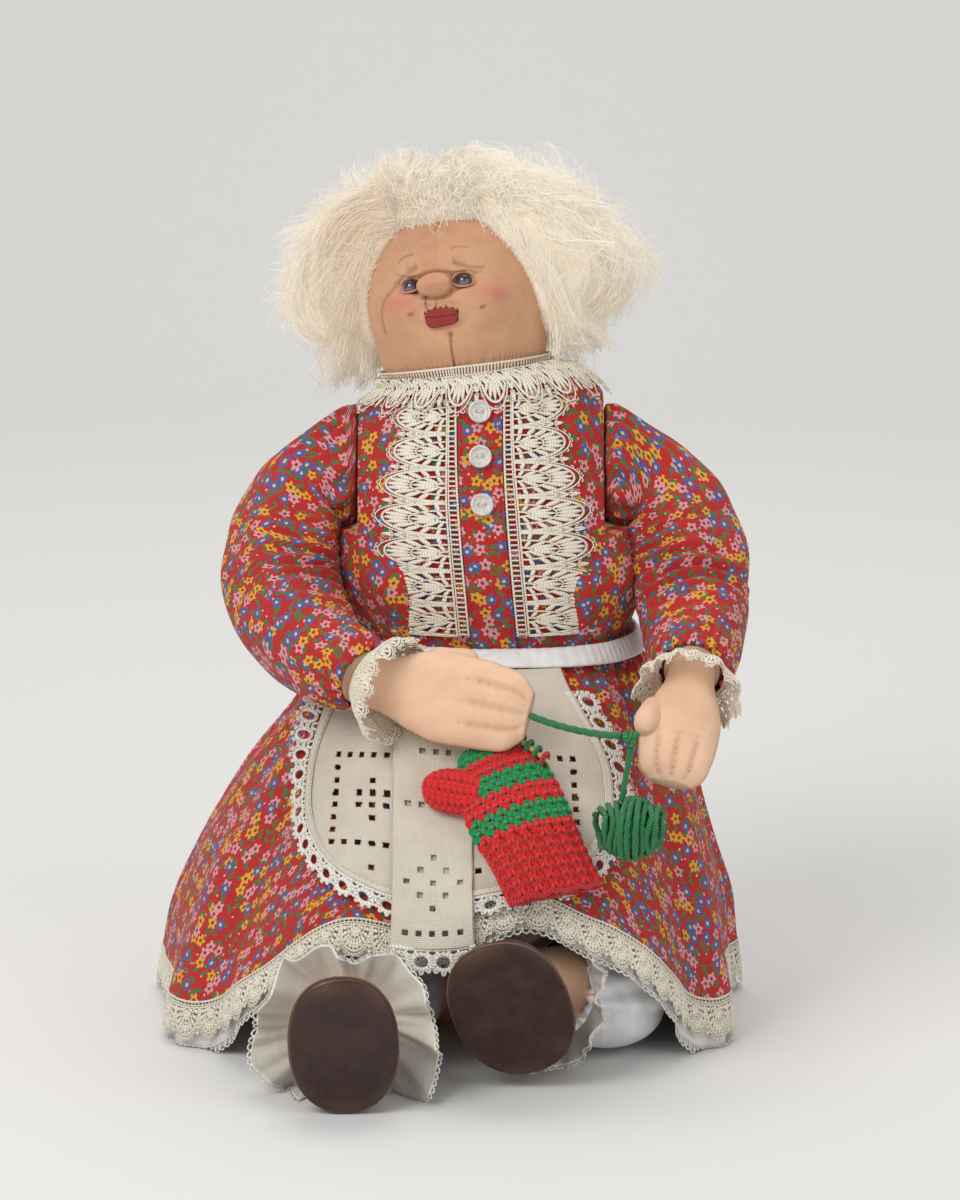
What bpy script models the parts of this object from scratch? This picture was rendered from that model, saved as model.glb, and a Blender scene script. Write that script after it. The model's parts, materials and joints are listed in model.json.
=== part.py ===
"""Seated cloth grandmother doll with her knitting, made of separate sewn pieces.

All sizes are in metres. The doll faces -Y and sits on the XY plane, and +X is on the right
of someone who looks at her. The origin is the middle of the underside of her seat.
"""
import math

import bpy
import bmesh
from mathutils import Vector

# Cloth, lace and the clearance between pieces that touch
GAP = 0.0003
COTTON = 0.0011
LACE = 0.0009
LINEN = 0.0010
KNIFE_OVERRUN = 0.010
NORMAL_STEP_SHARE = 0.002

# Torso
TORSO_HEIGHT = 0.257
TORSO_HALF_WIDTH = 0.0585
TORSO_FRONT = 0.050
TORSO_BACK = 0.046
TORSO_LEAN_BACK = 0.017
TORSO_SWAY = 0.008
SEAT_CUT = 0.0005
SHOULDER_HALF_WIDTH = 0.049
SHOULDER_FROM_SHARE = 0.77
BODY_POWER = 2.3
# Rows of height share, half width share, front share and back share
TORSO_SHARES = (
    (0.000, 0.78, 0.80, 0.80),
    (0.040, 0.87, 0.86, 0.92),
    (0.136, 0.92, 0.88, 1.00),
    (0.291, 0.93, 0.90, 1.00),
    (0.446, 0.91, 0.92, 0.98),
    (0.591, 0.88, 0.92, 0.96),
    (0.678, 0.99, 1.00, 0.99),
    (0.765, 1.00, 0.98, 0.97),
    (0.843, 0.97, 0.88, 0.91),
    (0.905, 0.91, 0.80, 0.82),
    (0.950, 0.81, 0.73, 0.75),
    (0.980, 0.69, 0.67, 0.69),
    (1.000, 0.60, 0.64, 0.66),
)
WAIST_ROW_SHARES = (0.0, 0.012, 0.05, 0.14, 0.28, 0.44)
BODICE_ROW_SHARES = (0.596, 0.65, 0.707, 0.775, 0.838, 0.892, 0.935, 0.962, 0.985)
WAIST_SHARE = 0.596
NECKLINE_TILT_SHARE = 0.86

# Neck and head
NECK_RADIUS = 0.033
NECK_PIVOT_RISE = 0.005
NECK_SEAM_DROP = 0.008
NECK_SIDESTEP = 0.0060
HEAD_TILT_SIDE = 0.12
HEAD_TILT_BACK = 0.13
HEAD_TURN_DEG = -9.5
HEAD_HEIGHT = 0.0715
HEAD_HALF_WIDTH = 0.0360
HEAD_FRONT = 0.036
HEAD_BACK = 0.0365
HEAD_POWER = 2.25
# Rows of height share above the neck seam and of width share
HEAD_SHARES = (
    (0.00, 0.855),
    (0.10, 0.905),
    (0.24, 0.965),
    (0.38, 1.00),
    (0.52, 0.995),
    (0.66, 0.93),
    (0.79, 0.80),
    (0.89, 0.62),
    (0.96, 0.40),
    (1.00, 0.14),
)
NOSE_RADIUS = 0.0060
NOSE_HEIGHT_SHARE = 0.565
NOSE_SINK = 0.0025
NOSE_TURN_DEG = -3.0
EYE_RADIUS = 0.0031
EYE_DEPTH = 0.0017
EYE_TURN_DEG = 16.0
EYE_HEIGHT_SHARE = 0.575
LIP_HALF_WIDTH = 0.0066
LIP_HALF_HEIGHT = 0.0036
LIP_DEPTH = 0.0024
LIP_HEIGHT_SHARE = 0.385
LIP_TURN_DEG = -2.0
# Soft forms of the face: turn and height share of each, its spread in both, and its depth
FACE_FORMS = (
    (-31.0, 0.45, 19.0, 0.12, 0.0030),
    (26.0, 0.45, 19.0, 0.12, 0.0030),
    (-2.0, 0.20, 17.0, 0.10, 0.0032),
    (-19.0, 0.60, 9.0, 0.06, -0.0016),
    (13.0, 0.60, 9.0, 0.06, -0.0016),
    (-3.0, 0.72, 26.0, 0.07, 0.0012),
    (-2.0, 0.39, 9.0, 0.05, 0.0010),
)

# Wig: how far the fleece stands off the head
WIG_STAND_OFF = 0.0020
WIG_THICKNESS = 0.0075
WIG_SIDE = 0.024
WIG_TOP = 0.002
WIG_RIM = 0.0035
HAIRLINE_TOP_SHARE = 0.90
HAIRLINE_SIDE_SHARE = 0.22
HAIRLINE_TURN_DEG = 66.0
HAIRLINE_BLEND_DEG = 26.0

# Front of the bodice
PLACKET_WIDTH = 0.0172
PLACKET_THICKNESS = 0.0012
PLACKET_TOP_SHARE = 0.973
PANEL_WIDTH = 0.0295
PANEL_TOP_SHARE = 0.968
PANEL_BOTTOM_SHARE = 0.625
PANEL_SCALLOP = 0.0022
PANEL_SCALLOPS = 6
BUTTON_RADIUS = 0.0046
BUTTON_THICKNESS = 0.0022
BUTTON_RIM = 0.0006
BUTTON_HOLE_RADIUS = 0.0006
BUTTON_HOLE_SPACING = 0.0022
BUTTON_SHARES = (0.949, 0.893, 0.823)
COLLAR_HEIGHT = 0.0055
COLLAR_STAND_OFF = 0.0019
COLLAR_ROW_SHARES = (0.981, 0.988, 1.0)

# Skirt, with the reach of its hem from the seat
SKIRT_REACH_RIGHT = 0.139
SKIRT_REACH_LEFT = 0.096
SKIRT_REACH_FRONT = 0.126
SKIRT_REACH_BACK = 0.062
SKIRT_LAP_HEIGHT = 0.0445
# Where the hem climbs over each instep: across, half width and rise
INSTEPS = ((0.010, 0.026, 0.0190), (-0.060, 0.024, 0.0070))
SKIRT_HEM_HEIGHT = 0.0022
SKIRT_LAP_TURN_DEG = 40.0
SKIRT_LAP_BLEND_DEG = 42.0
SKIRT_POWER = 2.5
SKIRT_FOLDS = 11
SKIRT_FOLD_DEPTH = 0.0042
SKIRT_FRONT_BULGE = 1.47
SKIRT_BACK_BULGE = 1.30
SKIRT_SIDE_BULGE = 1.85
HEM_LACE_HEIGHT = 0.019
PETTICOAT_DROP = 0.006
PETTICOAT_LIFT_OFF = 0.0012
PETTICOAT_TOP_SHARE = 0.74

# Apron on the lap
WAISTBAND_HEIGHT = 0.0085
WAISTBAND_THICKNESS = 0.0014
APRON_TOP_HALF_WIDTH = 0.030
APRON_HALF_WIDTH = 0.065
APRON_LENGTH = 0.108
APRON_SIDESTEP = 0.013
APRON_STAND_OFF = 0.0026
APRON_LACE_GAP = 0.0017
APRON_LACE_WIDTH = 0.0100
APRON_LACE_SCALLOP = 0.0014
APRON_LACE_SCALLOPS = 12
SASH_WIDTH = 0.034
SASH_LAYER = 0.0013
SASH_START = 0.026
SASH_OFFSET = 0.026
SASH_PAST_APRON = 0.018
SASH_LACE_LENGTH = 0.0115

# Arms, from the shoulder seam
SHOULDER_SHARE = 0.857
SHOULDER_FORWARD = 0.002
ARM_RADIUS = 0.0165
SLEEVE_PUFF = 0.0026
# Places of the arms, hands and knitting: across, back, and rise above the waist seam
RIGHT_ARM_ROUTE = (
    (-0.0770, 0.009, 0.0558),
    (-0.0860, -0.003, 0.0368),
    (-0.0860, -0.022, 0.0178),
    (-0.0740, -0.047, 0.0048),
)
LEFT_ARM_ROUTE = (
    (0.0630, 0.010, 0.0568),
    (0.0745, 0.001, 0.0368),
    (0.0775, -0.017, 0.0158),
    (0.0775, -0.040, 0.0038),
)
CUFF_LENGTH = 0.014
CUFF_FLARE = 0.0048

ARM_ROW_SHARES = (0, 0.11, 0.23, 0.35, 0.47, 0.59, 0.71, 0.85, 1.0)
SLEEVE_EASE = 0.0010

# Hands
HAND_WIDTH = 0.036
HAND_THICKNESS = 0.017
FINGER_GROOVE_SHARE = 0.30
THUMB_RADIUS = 0.0052
THUMB_LENGTH = 0.020
RIGHT_WRIST = (-0.0530, -0.0710, -0.0027)
RIGHT_TIP = (0.0110, -0.0930, -0.0122)
LEFT_WRIST = (0.0755, -0.0620, -0.0022)
LEFT_TIP = (0.0655, -0.1025, -0.0372)
LEFT_HAND_WIDTH = 0.031

# Legs
HIP_SPACING = 0.060
HIP_FORWARD = 0.034
HIP_HEIGHT = 0.0265
LEG_RADIUS = 0.0215
LEG_SWELL = 0.0015
ANKLE_RADIUS = 0.0125
HIP_CLEARANCE = 0.0011
HIP_FLARE = 0.0060
BLOOMER_PUFF = 0.0022
SATIN = 0.0009
RUFFLE_RADII = (0.034, 0.028)
RUFFLE_DEPTHS = (0.011, 0.008)
RUFFLE_PLACE_SHARES = (0.90, 0.80)
RUFFLE_FOLDS = 9
RUFFLE_FOLD_DEPTH = 0.0022
RUFFLE_FLOOR = 0.0008
RUFFLE_LEAN_SHARE = 0.30
RUFFLE_OPENING_SHARES = (1.12, 1.19)
BLOOMER_EASE = 0.0009
LEG_ROW_SHARES = (0, 0.15, 0.31, 0.46, 0.60, 0.70, 0.77)
GAUZE = 0.0012

# Feet and shoes
FOOT_DEPTH = 0.025
HEEL_SHARE = 0.28
# Depth share behind the sole and how far the foot has narrowed there
FOOT_SHARES = ((0.0, 1.0), (0.24, 0.97), (0.52, 0.83), (0.78, 0.64))
SHOE_WALL = 0.0013
SOLE_THICKNESS = 0.0024
SOLE_EDGE = 0.0010
RIGHT_FOOT = (-0.060, -0.1605, 0.0285)
RIGHT_TOE_LEAN = (-0.03, -0.14, 1.0)
RIGHT_SOLE_HALF_WIDTH = 0.0195
RIGHT_SOLE_HALF_LENGTH = 0.0268
LEFT_FOOT = (0.004, -0.1360, 0.0355)
LEFT_TOE_LEAN = (-0.30, -0.34, 0.90)
LEFT_SOLE_HALF_WIDTH = 0.0215
LEFT_SOLE_HALF_LENGTH = 0.0300
LEFT_KNEE = (0.043, -0.072, 0.0265)
RIGHT_KNEE = (-0.050, -0.088, 0.0255)

# Knitting
NEEDLE_RADIUS = 0.0010
NEEDLE_TIP = 0.005
NEEDLE_UP = 0.013
NEEDLE_DOWN = 0.012
MITTEN_PIVOT = (0.0030, -0.0880, -0.0162)
MITTEN_START = 0.0455
MITTEN_ACROSS = -0.004
MITTEN_SLANT = 0.024
MITTEN_LENGTH = 0.064
MITTEN_HALF_WIDTH = 0.0160
MITTEN_HALF_THICKNESS = 0.0037
MITTEN_CUFF_SHARE = 0.30
MITTEN_RIBS = 6
MITTEN_RIB_DEPTH = 0.0006
MITTEN_THUMB_RADIUS = 0.0085
MITTEN_THUMB_LENGTH = 0.018
YARN_DIAMETER = 0.0030
KNOT_RADIUS = 0.0034
KNOT_PLACE = (0.0500, -0.1190, -0.0147)
STRAND_SAG = 0.0016
BALL_HALF_LENGTH = 0.0140
BALL_RADIUS = 0.0112
BALL_LOOPS = 7
BALL_DROP = 0.0215
YARN_TO_YARN = 0.00045

# Sides and rows of the round pieces
TORSO_SIDES = 24
HEAD_SIDES = 32
WIG_SIDES = 24
SKIRT_SIDES = 36
ARM_SIDES = 14
LEG_SIDES = 18
BUTTON_SIDES = 16
HOLLOW_SIDES = 18
FACET_ALLOWANCE = 0.0009

SIDES = (("right", -1), ("left", 1))
UP = Vector((0, 0, 1))


# Materials
PALETTE = {
    "muslin": ("D9A98A", 0.85, 0.0),
    "face_cloth": ("C98E68", 0.80, 0.0),
    "calico": ("B3242B", 0.80, 0.0),
    "ecru_lace": ("E6DCC6", 0.85, 0.0),
    "white_lace": ("F0EEE8", 0.85, 0.0),
    "linen": ("DAD5C6", 0.85, 0.0),
    "satin": ("ECEBEA", 0.45, 0.0),
    "fleece": ("EFE6CF", 0.95, 0.0),
    "shoe_leather": ("3A211C", 0.50, 0.0),
    "pearl_plastic": ("D8D6D4", 0.20, 0.0),
    "eye_bead": ("3E3140", 0.08, 0.0),
    "lip_felt": ("9C2F2A", 0.80, 0.0),
    "red_yarn": ("C3201F", 0.90, 0.0),
    "green_yarn": ("0C7A3C", 0.90, 0.0),
    "birch": ("C9A06A", 0.60, 0.0),
}


def linear(channel):
    """Turn one sRGB channel to a linear one."""
    if channel <= 0.04045:
        return channel / 12.92
    return ((channel + 0.055) / 1.055) ** 2.4


def material(name):
    """Return the named finish, made on its first use."""
    found = bpy.data.materials.get(name)
    if found is not None:
        return found
    hex_colour, roughness, metallic = PALETTE[name]
    made = bpy.data.materials.new(name)
    made.use_nodes = True
    shader = made.node_tree.nodes["Principled BSDF"]
    channels = [int(hex_colour[i:i + 2], 16) / 255 for i in (0, 2, 4)]
    shader.inputs["Base Color"].default_value = [linear(c) for c in channels] + [1]
    shader.inputs["Roughness"].default_value = roughness
    shader.inputs["Metallic"].default_value = metallic
    return made


# Small tools
def smooth_step(value):
    """Ease from 0 to 1."""
    value = min(max(value, 0), 1)
    return value * value * (3 - 2 * value)


def read_table(table, place):
    """Read a table of shares at a place, smoothly between its rows."""
    place = min(max(place, table[0][0]), table[-1][0])
    for index in range(len(table) - 1):
        if place <= table[index + 1][0]:
            break
    low, high = table[index], table[index + 1]
    before = table[max(index - 1, 0)]
    after = table[min(index + 2, len(table) - 1)]
    span = high[0] - low[0]
    part = (place - low[0]) / span
    values = []
    for column in range(1, len(low)):
        slope_in = (high[column] - before[column]) / (high[0] - before[0])
        slope_out = (after[column] - low[column]) / (after[0] - low[0])
        values.append(
            (2 * part ** 3 - 3 * part ** 2 + 1) * low[column]
            + (part ** 3 - 2 * part ** 2 + part) * span * slope_in
            + (3 * part ** 2 - 2 * part ** 3) * high[column]
            + (part ** 3 - part ** 2) * span * slope_out)
    return values


def outline(turn, half_width, front, back, power):
    """Point of a rounded outline: turn 0 faces the front and grows toward +X."""
    sine, cosine = math.sin(turn), math.cos(turn)
    x = half_width * math.copysign(abs(sine) ** (2 / power), sine)
    depth = front if cosine > 0 else back
    y = -depth * math.copysign(abs(cosine) ** (2 / power), cosine)
    return x, y


def turns(count, start=0.0, end=2 * math.pi, closed=True):
    """Even turns round an outline."""
    steps = count if closed else count - 1
    return [start + (end - start) * i / steps for i in range(count)]


def steps(count, start=0.0, end=1.0):
    """Even shares from start to end."""
    return [start + (end - start) * i / (count - 1) for i in range(count)]


def lifted(surface, turn, share, offset):
    """Point that stands off a surface along its outward normal."""
    point = surface(turn, share)
    low, high = max(share - NORMAL_STEP_SHARE, 0), min(share + NORMAL_STEP_SHARE, 1)
    across = surface(turn + NORMAL_STEP_SHARE, share) - surface(turn - NORMAL_STEP_SHARE, share)
    along = surface(turn, high) - surface(turn, low)
    return point + across.cross(along).normalized() * offset


def normal_at(surface, turn, share):
    """Outward normal of a surface."""
    return (lifted(surface, turn, share, 1) - surface(turn, share)).normalized()


def spine_point(points, share):
    """Point of a smooth curve through hand-chosen points."""
    scaled = share * (len(points) - 1)
    index = min(int(scaled), len(points) - 2)
    part = scaled - index
    low, high = points[index], points[index + 1]
    before = points[index - 1] if index > 0 else low - (high - low)
    after = points[index + 2] if index + 2 < len(points) else high + (high - low)
    return 0.5 * (
        2 * low + (high - before) * part
        + (2 * before - 5 * low + 4 * high - after) * part ** 2
        + (3 * low - before - 3 * high + after) * part ** 3)


def spine_direction(points, share):
    """Direction of that curve."""
    low = max(share - NORMAL_STEP_SHARE, 0)
    high = min(share + NORMAL_STEP_SHARE, 1)
    return (spine_point(points, high) - spine_point(points, low)).normalized()


# Meshes
def add_object(name, vertices, faces, finish, pivot, smooth_angle_deg=50.0):
    """Make a named object from points in the doll's frame, hung on its body's empty."""
    origin = pivot.location.copy() if pivot else Vector()
    mesh = bpy.data.meshes.new(name)
    mesh.from_pydata([tuple(v - origin) for v in vertices], [], faces)
    mesh.validate()
    mesh.materials.append(material(finish))
    mesh.shade_smooth()
    mesh.set_sharp_from_angle(angle=math.radians(smooth_angle_deg))
    made = bpy.data.objects.new(name, mesh)
    bpy.context.collection.objects.link(made)
    made.parent = pivot
    return made


def grid_faces(rows, columns, wrap, start, flip):
    """Triangles over a grid of points, so that two layers of cloth fold alike."""
    faces = []
    for row in range(rows - 1):
        for column in range(columns if wrap else columns - 1):
            low, high = start + row * columns, start + (row + 1) * columns
            following = (column + 1) % columns
            for face in ([low + column, low + following, high + following],
                         [low + column, high + following, high + column]):
                faces.append(face[::-1] if flip else face)
    return faces


def shell(name, outer, inner, wrap, finish, pivot):
    """Closed sheet between an outer and an inner grid of points, rows running upward."""
    rows, columns = len(outer), len(outer[0])
    count = rows * columns
    vertices = [p for row in outer for p in row] + [p for row in inner for p in row]
    faces = grid_faces(rows, columns, wrap, 0, False) + grid_faces(rows, columns, wrap, count, True)
    top = (rows - 1) * columns
    for column in range(columns if wrap else columns - 1):
        following = (column + 1) % columns
        faces.append([following, column, count + column, count + following])
        faces.append([top + column, top + following, count + top + following, count + top + column])
    if not wrap:
        last = columns - 1
        for row in range(rows - 1):
            low, high = row * columns, (row + 1) * columns
            faces.append([low, high, count + high, count + low])
            faces.append([high + last, low + last, count + low + last, count + high + last])
    return add_object(name, vertices, faces, finish, pivot)


def loft(name, rings, finish, pivot, start_cap="flat", end_cap="flat"):
    """Closed skin over rings; a cap is flat or comes to a point."""
    columns = len(rings[0])
    vertices = [p for ring in rings for p in ring]
    faces = grid_faces(len(rings), columns, True, 0, False)
    for cap, ring_index in ((start_cap, 0), (end_cap, len(rings) - 1)):
        ring = [ring_index * columns + column for column in range(columns)]
        if cap == "flat":
            faces.append(ring[::-1] if ring_index == 0 else ring)
            continue
        vertices.append(cap)
        tip = len(vertices) - 1
        for column in range(columns):
            pair = [ring[column], ring[(column + 1) % columns]]
            faces.append([tip] + (pair[::-1] if ring_index == 0 else pair))
    return add_object(name, vertices, faces, finish, pivot)


def outward(made):
    """Turn a mesh's faces so that they all point out."""
    mesh = bmesh.new()
    mesh.from_mesh(made.data)
    bmesh.ops.recalc_face_normals(mesh, faces=mesh.faces)
    mesh.to_mesh(made.data)
    mesh.free()
    return made


def body_empty(name, place, parent=None):
    """Empty on a joint's axis that carries the pieces of one moving body."""
    made = bpy.data.objects.new(name, None)
    bpy.context.collection.objects.link(made)
    made.location = place
    made.empty_display_size = NECK_RADIUS
    return made


def combine(made, helper, operation):
    """Cut a helper out of a piece or join it on."""
    helper.hide_render = True
    helper.display_type = "WIRE"
    step = made.modifiers.new(helper.name, "BOOLEAN")
    step.operation = operation
    step.solver = "EXACT"
    step.object = helper
    return made


def ball(name, centre, radius, sides=24, finish="muslin"):
    """Round helper."""
    mesh = bmesh.new()
    bmesh.ops.create_uvsphere(mesh, u_segments=sides, v_segments=sides // 2, radius=radius)
    bmesh.ops.translate(mesh, vec=centre, verts=mesh.verts)
    data = bpy.data.meshes.new(name)
    mesh.to_mesh(data)
    mesh.free()
    data.materials.append(material(finish))
    made = bpy.data.objects.new(name, data)
    bpy.context.collection.objects.link(made)
    return made


def frame_from(forward, side_hint):
    """Right-handed frame whose third axis runs forward."""
    forward = forward.normalized()
    side = (side_hint - forward * side_hint.dot(forward)).normalized()
    return side, forward.cross(side), forward


def ring_at(centre, side, rise, half_width, half_height, sides, power=2.0, floor=None):
    """Ring of points round a centre, counter-clockwise seen against side x rise."""
    points = []
    for turn in turns(sides):
        sine, cosine = math.sin(turn), math.cos(turn)
        across = half_width * math.copysign(abs(cosine) ** (2 / power), cosine)
        upward = half_height * math.copysign(abs(sine) ** (2 / power), sine)
        point = centre + side * across + rise * upward
        if floor is not None:
            point.z = max(point.z, floor)
        points.append(point)
    return points


# Torso, bodice and neck
def torso_centre(share):
    """Middle of the torso at a height."""
    sway = -TORSO_SWAY * smooth_step((share - 0.44) / 0.48)
    return Vector((sway, TORSO_LEAN_BACK * share, TORSO_HEIGHT * share))


def torso_surface(turn, share):
    """Skin of the stuffed torso, flattened at the shoulder seams."""
    width, front, back = read_table(TORSO_SHARES, share)
    x, y = outline(turn, width * TORSO_HALF_WIDTH, front * TORSO_FRONT, back * TORSO_BACK,
                   BODY_POWER)
    lean = smooth_step((share - NECKLINE_TILT_SHARE) / (1 - NECKLINE_TILT_SHARE))
    rise = lean * (HEAD_TILT_SIDE * x - HEAD_TILT_BACK * y)
    return torso_centre(share) + Vector((x, y, rise))


def shoulder_limit(point, share, inset):
    """Keep a point on the body's side of the shoulder seams."""
    middle = torso_centre(SHOULDER_SHARE).x
    reach = SHOULDER_HALF_WIDTH - inset
    if share > SHOULDER_FROM_SHARE:
        point.x = min(max(point.x, middle - reach), middle + reach)
    return point


def shoulder_place(sign):
    """Middle of a shoulder seam."""
    centre = torso_centre(SHOULDER_SHARE)
    return centre + Vector((sign * SHOULDER_HALF_WIDTH, -SHOULDER_FORWARD, 0))


def neck_pivot():
    """Centre of the round stuffed neck."""
    return torso_centre(1) + Vector((-NECK_SIDESTEP, 0, NECK_PIVOT_RISE))


def head_axis():
    """Direction from the neck to the crown."""
    return Vector((-HEAD_TILT_SIDE, HEAD_TILT_BACK, 1)).normalized()


def build_torso():
    """Stuffed torso with a bowl for the neck and hollows for the hips."""
    rings = []
    for share in WAIST_ROW_SHARES + BODICE_ROW_SHARES[:-1]:
        ring = [torso_surface(turn, share) for turn in turns(TORSO_SIDES)]
        rings.append([shoulder_limit(p, share, COTTON + GAP) for p in ring])
    made = loft("torso", rings, "muslin", None)
    combine(made, ball("neck_bowl", neck_pivot(), NECK_RADIUS + FACET_ALLOWANCE), "DIFFERENCE")
    for word, sign in SIDES:
        combine(made, hip_hollow(word, sign), "DIFFERENCE")
    return made


def bodice_grid(offset, rows):
    """Grid of points that stand off the torso."""
    grid = []
    for share in rows:
        row = [lifted(torso_surface, turn, share, offset) for turn in turns(TORSO_SIDES)]
        grid.append([shoulder_limit(p, share, COTTON + GAP - offset) for p in row])
    return grid


def build_bodice():
    """Dress bodice from the waist to the neckline."""
    outer = bodice_grid(GAP + COTTON, BODICE_ROW_SHARES)
    inner = bodice_grid(GAP, BODICE_ROW_SHARES)
    made = shell("dress_bodice", outer, inner, True, "calico", None)
    combine(made, ball("neckline", neck_pivot(), NECK_RADIUS + FACET_ALLOWANCE), "DIFFERENCE")
    return made


def front_turn(share, across):
    """Turn on the torso's front that lies a distance across its middle."""
    width = read_table(TORSO_SHARES, share)[0] * TORSO_HALF_WIDTH
    sine = min(abs(across) / width, 1) ** (BODY_POWER / 2)
    return math.copysign(math.asin(sine), across)


def front_patch(name, rows, left, right, columns, standoff, thickness, finish):
    """Strip sewn on the bodice's front between two edges given as functions of height."""
    outer, inner = [], []
    for share in rows:
        edge_turns = [front_turn(share, left(share) + (right(share) - left(share)) * part)
                      for part in steps(columns)]
        outer.append([lifted(torso_surface, t, share, standoff + thickness) for t in edge_turns])
        inner.append([lifted(torso_surface, t, share, standoff) for t in edge_turns])
    return shell(name, outer, inner, False, finish, None)


def build_front():
    """Placket, its three buttons and the lace panels on both sides of it."""
    cloth = GAP + COTTON + FACET_ALLOWANCE
    half = PLACKET_WIDTH / 2
    rows = steps(11, WAIST_SHARE + 0.01, PLACKET_TOP_SHARE)
    front_patch("dress_placket", rows, lambda s: -half, lambda s: half, 3, cloth,
                PLACKET_THICKNESS, "calico")
    start = half + 2 * GAP
    for word, sign in SIDES:
        def wavy(share):
            span = (share - PANEL_BOTTOM_SHARE) / (PANEL_TOP_SHARE - PANEL_BOTTOM_SHARE)
            wave = abs(math.sin(span * math.pi * PANEL_SCALLOPS))
            narrow = 1 - 0.25 * smooth_step((share - 0.80) / 0.14)
            return start + PANEL_WIDTH * narrow - PANEL_SCALLOP * (1 - wave)
        rows = steps(2 * PANEL_SCALLOPS + 1, PANEL_BOTTOM_SHARE, PANEL_TOP_SHARE)
        if sign < 0:
            edges = (lambda s: -wavy(s), lambda s: -start)
        else:
            edges = (lambda s: start, wavy)
        front_patch(word + "_lace_panel", rows, *edges, 5, cloth, LACE, "ecru_lace")
    for word, share in zip(("top", "middle", "bottom"), BUTTON_SHARES):
        build_button("button_" + word, share, cloth + PLACKET_THICKNESS + GAP)


def build_button(name, share, standoff):
    """Two-hole shirt button with a raised rim, lying on the placket."""
    normal = normal_at(torso_surface, 0, share)
    flatness = BUTTON_RADIUS ** 2 / (2 * TORSO_FRONT)
    base = torso_surface(0, share) + normal * (standoff + flatness / 2)
    side, rise, normal = frame_from(normal, Vector((1, 0, 0)))
    profile = ((0.82, 0.0), (1.0, 0.35), (1.0, 0.75), (0.90, 1.0), (0.76, 0.98), (0.66, 0.62))
    rings = []
    for radius_share, height_share in profile:
        centre = base + normal * BUTTON_THICKNESS * height_share
        radius = BUTTON_RADIUS * radius_share
        rings.append(ring_at(centre, side, rise, radius, radius, BUTTON_SIDES))
    made = loft(name, rings, "pearl_plastic", None)
    for word, sign in SIDES:
        hole = base + side * sign * BUTTON_HOLE_SPACING / 2
        ends = (hole - normal * BUTTON_THICKNESS, hole + normal * BUTTON_THICKNESS * 2)
        rings = [ring_at(end, side, rise, BUTTON_HOLE_RADIUS, BUTTON_HOLE_RADIUS, 8)
                 for end in ends]
        combine(made, loft(name + "_hole_" + word, rings, "pearl_plastic", None), "DIFFERENCE")
    return made


def build_collar(pivot_empty):
    """Standing lace collar that spreads from the neck over the bodice's neckline."""
    grids = ([], [])
    for grid, standoff in zip(grids, (COLLAR_STAND_OFF + LACE, COLLAR_STAND_OFF)):
        for share in COLLAR_ROW_SHARES:
            row = [lifted(torso_surface, turn, share, GAP + standoff) for turn in turns(TORSO_SIDES)]
            grid.append([p + Vector((-NECK_SIDESTEP * smooth_step((share - 0.985) / 0.015), 0, 0))
                         for p in row])
        for share in (0.5, 1):
            head_share = max(COLLAR_HEIGHT * share - GAP, 0) / HEAD_HEIGHT
            grid.append([lifted(head_base_surface, turn, head_share, standoff)
                         for turn in turns(TORSO_SIDES)])
    return shell("collar_lace", *grids, True, "ecru_lace", pivot_empty)


# Head
def head_frame():
    """Side, back and up directions of the head."""
    axis = head_axis()
    side = Vector((math.cos(math.radians(HEAD_TURN_DEG)), math.sin(math.radians(HEAD_TURN_DEG)), 0))
    side = (side - axis * side.dot(axis)).normalized()
    return side, axis.cross(side), axis


def head_base_surface(turn, share):
    """Plain form of the stuffed head above the neck seam."""
    side, back, axis = head_frame()
    width = read_table(HEAD_SHARES, share)[0]
    round_off = 2 + (HEAD_POWER - 2) * smooth_step(share / 0.3)
    x, y = outline(turn, width * HEAD_HALF_WIDTH, width * HEAD_FRONT, width * HEAD_BACK, round_off)
    base = neck_pivot() + axis * (GAP - NECK_SEAM_DROP)
    return base + side * x + back * y + axis * HEAD_HEIGHT * share


def head_surface(turn, share):
    """Skin of the head with the cheeks, chin, brow and eye hollows stitched into it."""
    side, back, axis = head_frame()
    point = head_base_surface(turn, share)
    away = side * math.sin(turn) - back * math.cos(turn)
    degrees = (math.degrees(turn) + 180) % 360 - 180
    for form_turn, form_share, spread, rise, depth in FACE_FORMS:
        near = ((degrees - form_turn) / spread) ** 2 + ((share - form_share) / rise) ** 2
        point += away * depth * math.exp(-near)
    return point


def build_neck(pivot_empty):
    """Stuffed neck: a round cap that nods in the torso's bowl under a flat head seam."""
    pivot = neck_pivot()
    side, back, axis = head_frame()
    rings = []
    low = math.radians(82)
    high = math.asin(NECK_SEAM_DROP / NECK_RADIUS)
    for angle in steps(6, low, high):
        radius = NECK_RADIUS * math.cos(angle)
        centre = pivot - axis * NECK_RADIUS * math.sin(angle)
        rings.append(ring_at(centre, side, back, radius, radius, TORSO_SIDES))
    return loft("neck", rings, "face_cloth", pivot_empty)


def build_head(pivot_empty):
    """Stuffed head with its gathered round nose."""
    rows = [0, 0.08, 0.17, 0.26, 0.34, 0.42, 0.50, 0.58, 0.66, 0.75, 0.83, 0.90, 0.955, 0.99]
    rings = [[head_surface(turn, share) for turn in turns(HEAD_SIDES)] for share in rows]
    made = loft("head", rings, "face_cloth", pivot_empty, end_cap=crown_point())
    turn = math.radians(NOSE_TURN_DEG)
    normal = normal_at(head_surface, turn, NOSE_HEIGHT_SHARE)
    place = head_surface(turn, NOSE_HEIGHT_SHARE) + normal * (NOSE_RADIUS / 2 - NOSE_SINK)
    combine(made, ball("nose_form", place, NOSE_RADIUS, 16, "face_cloth"), "UNION")
    return made


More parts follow.
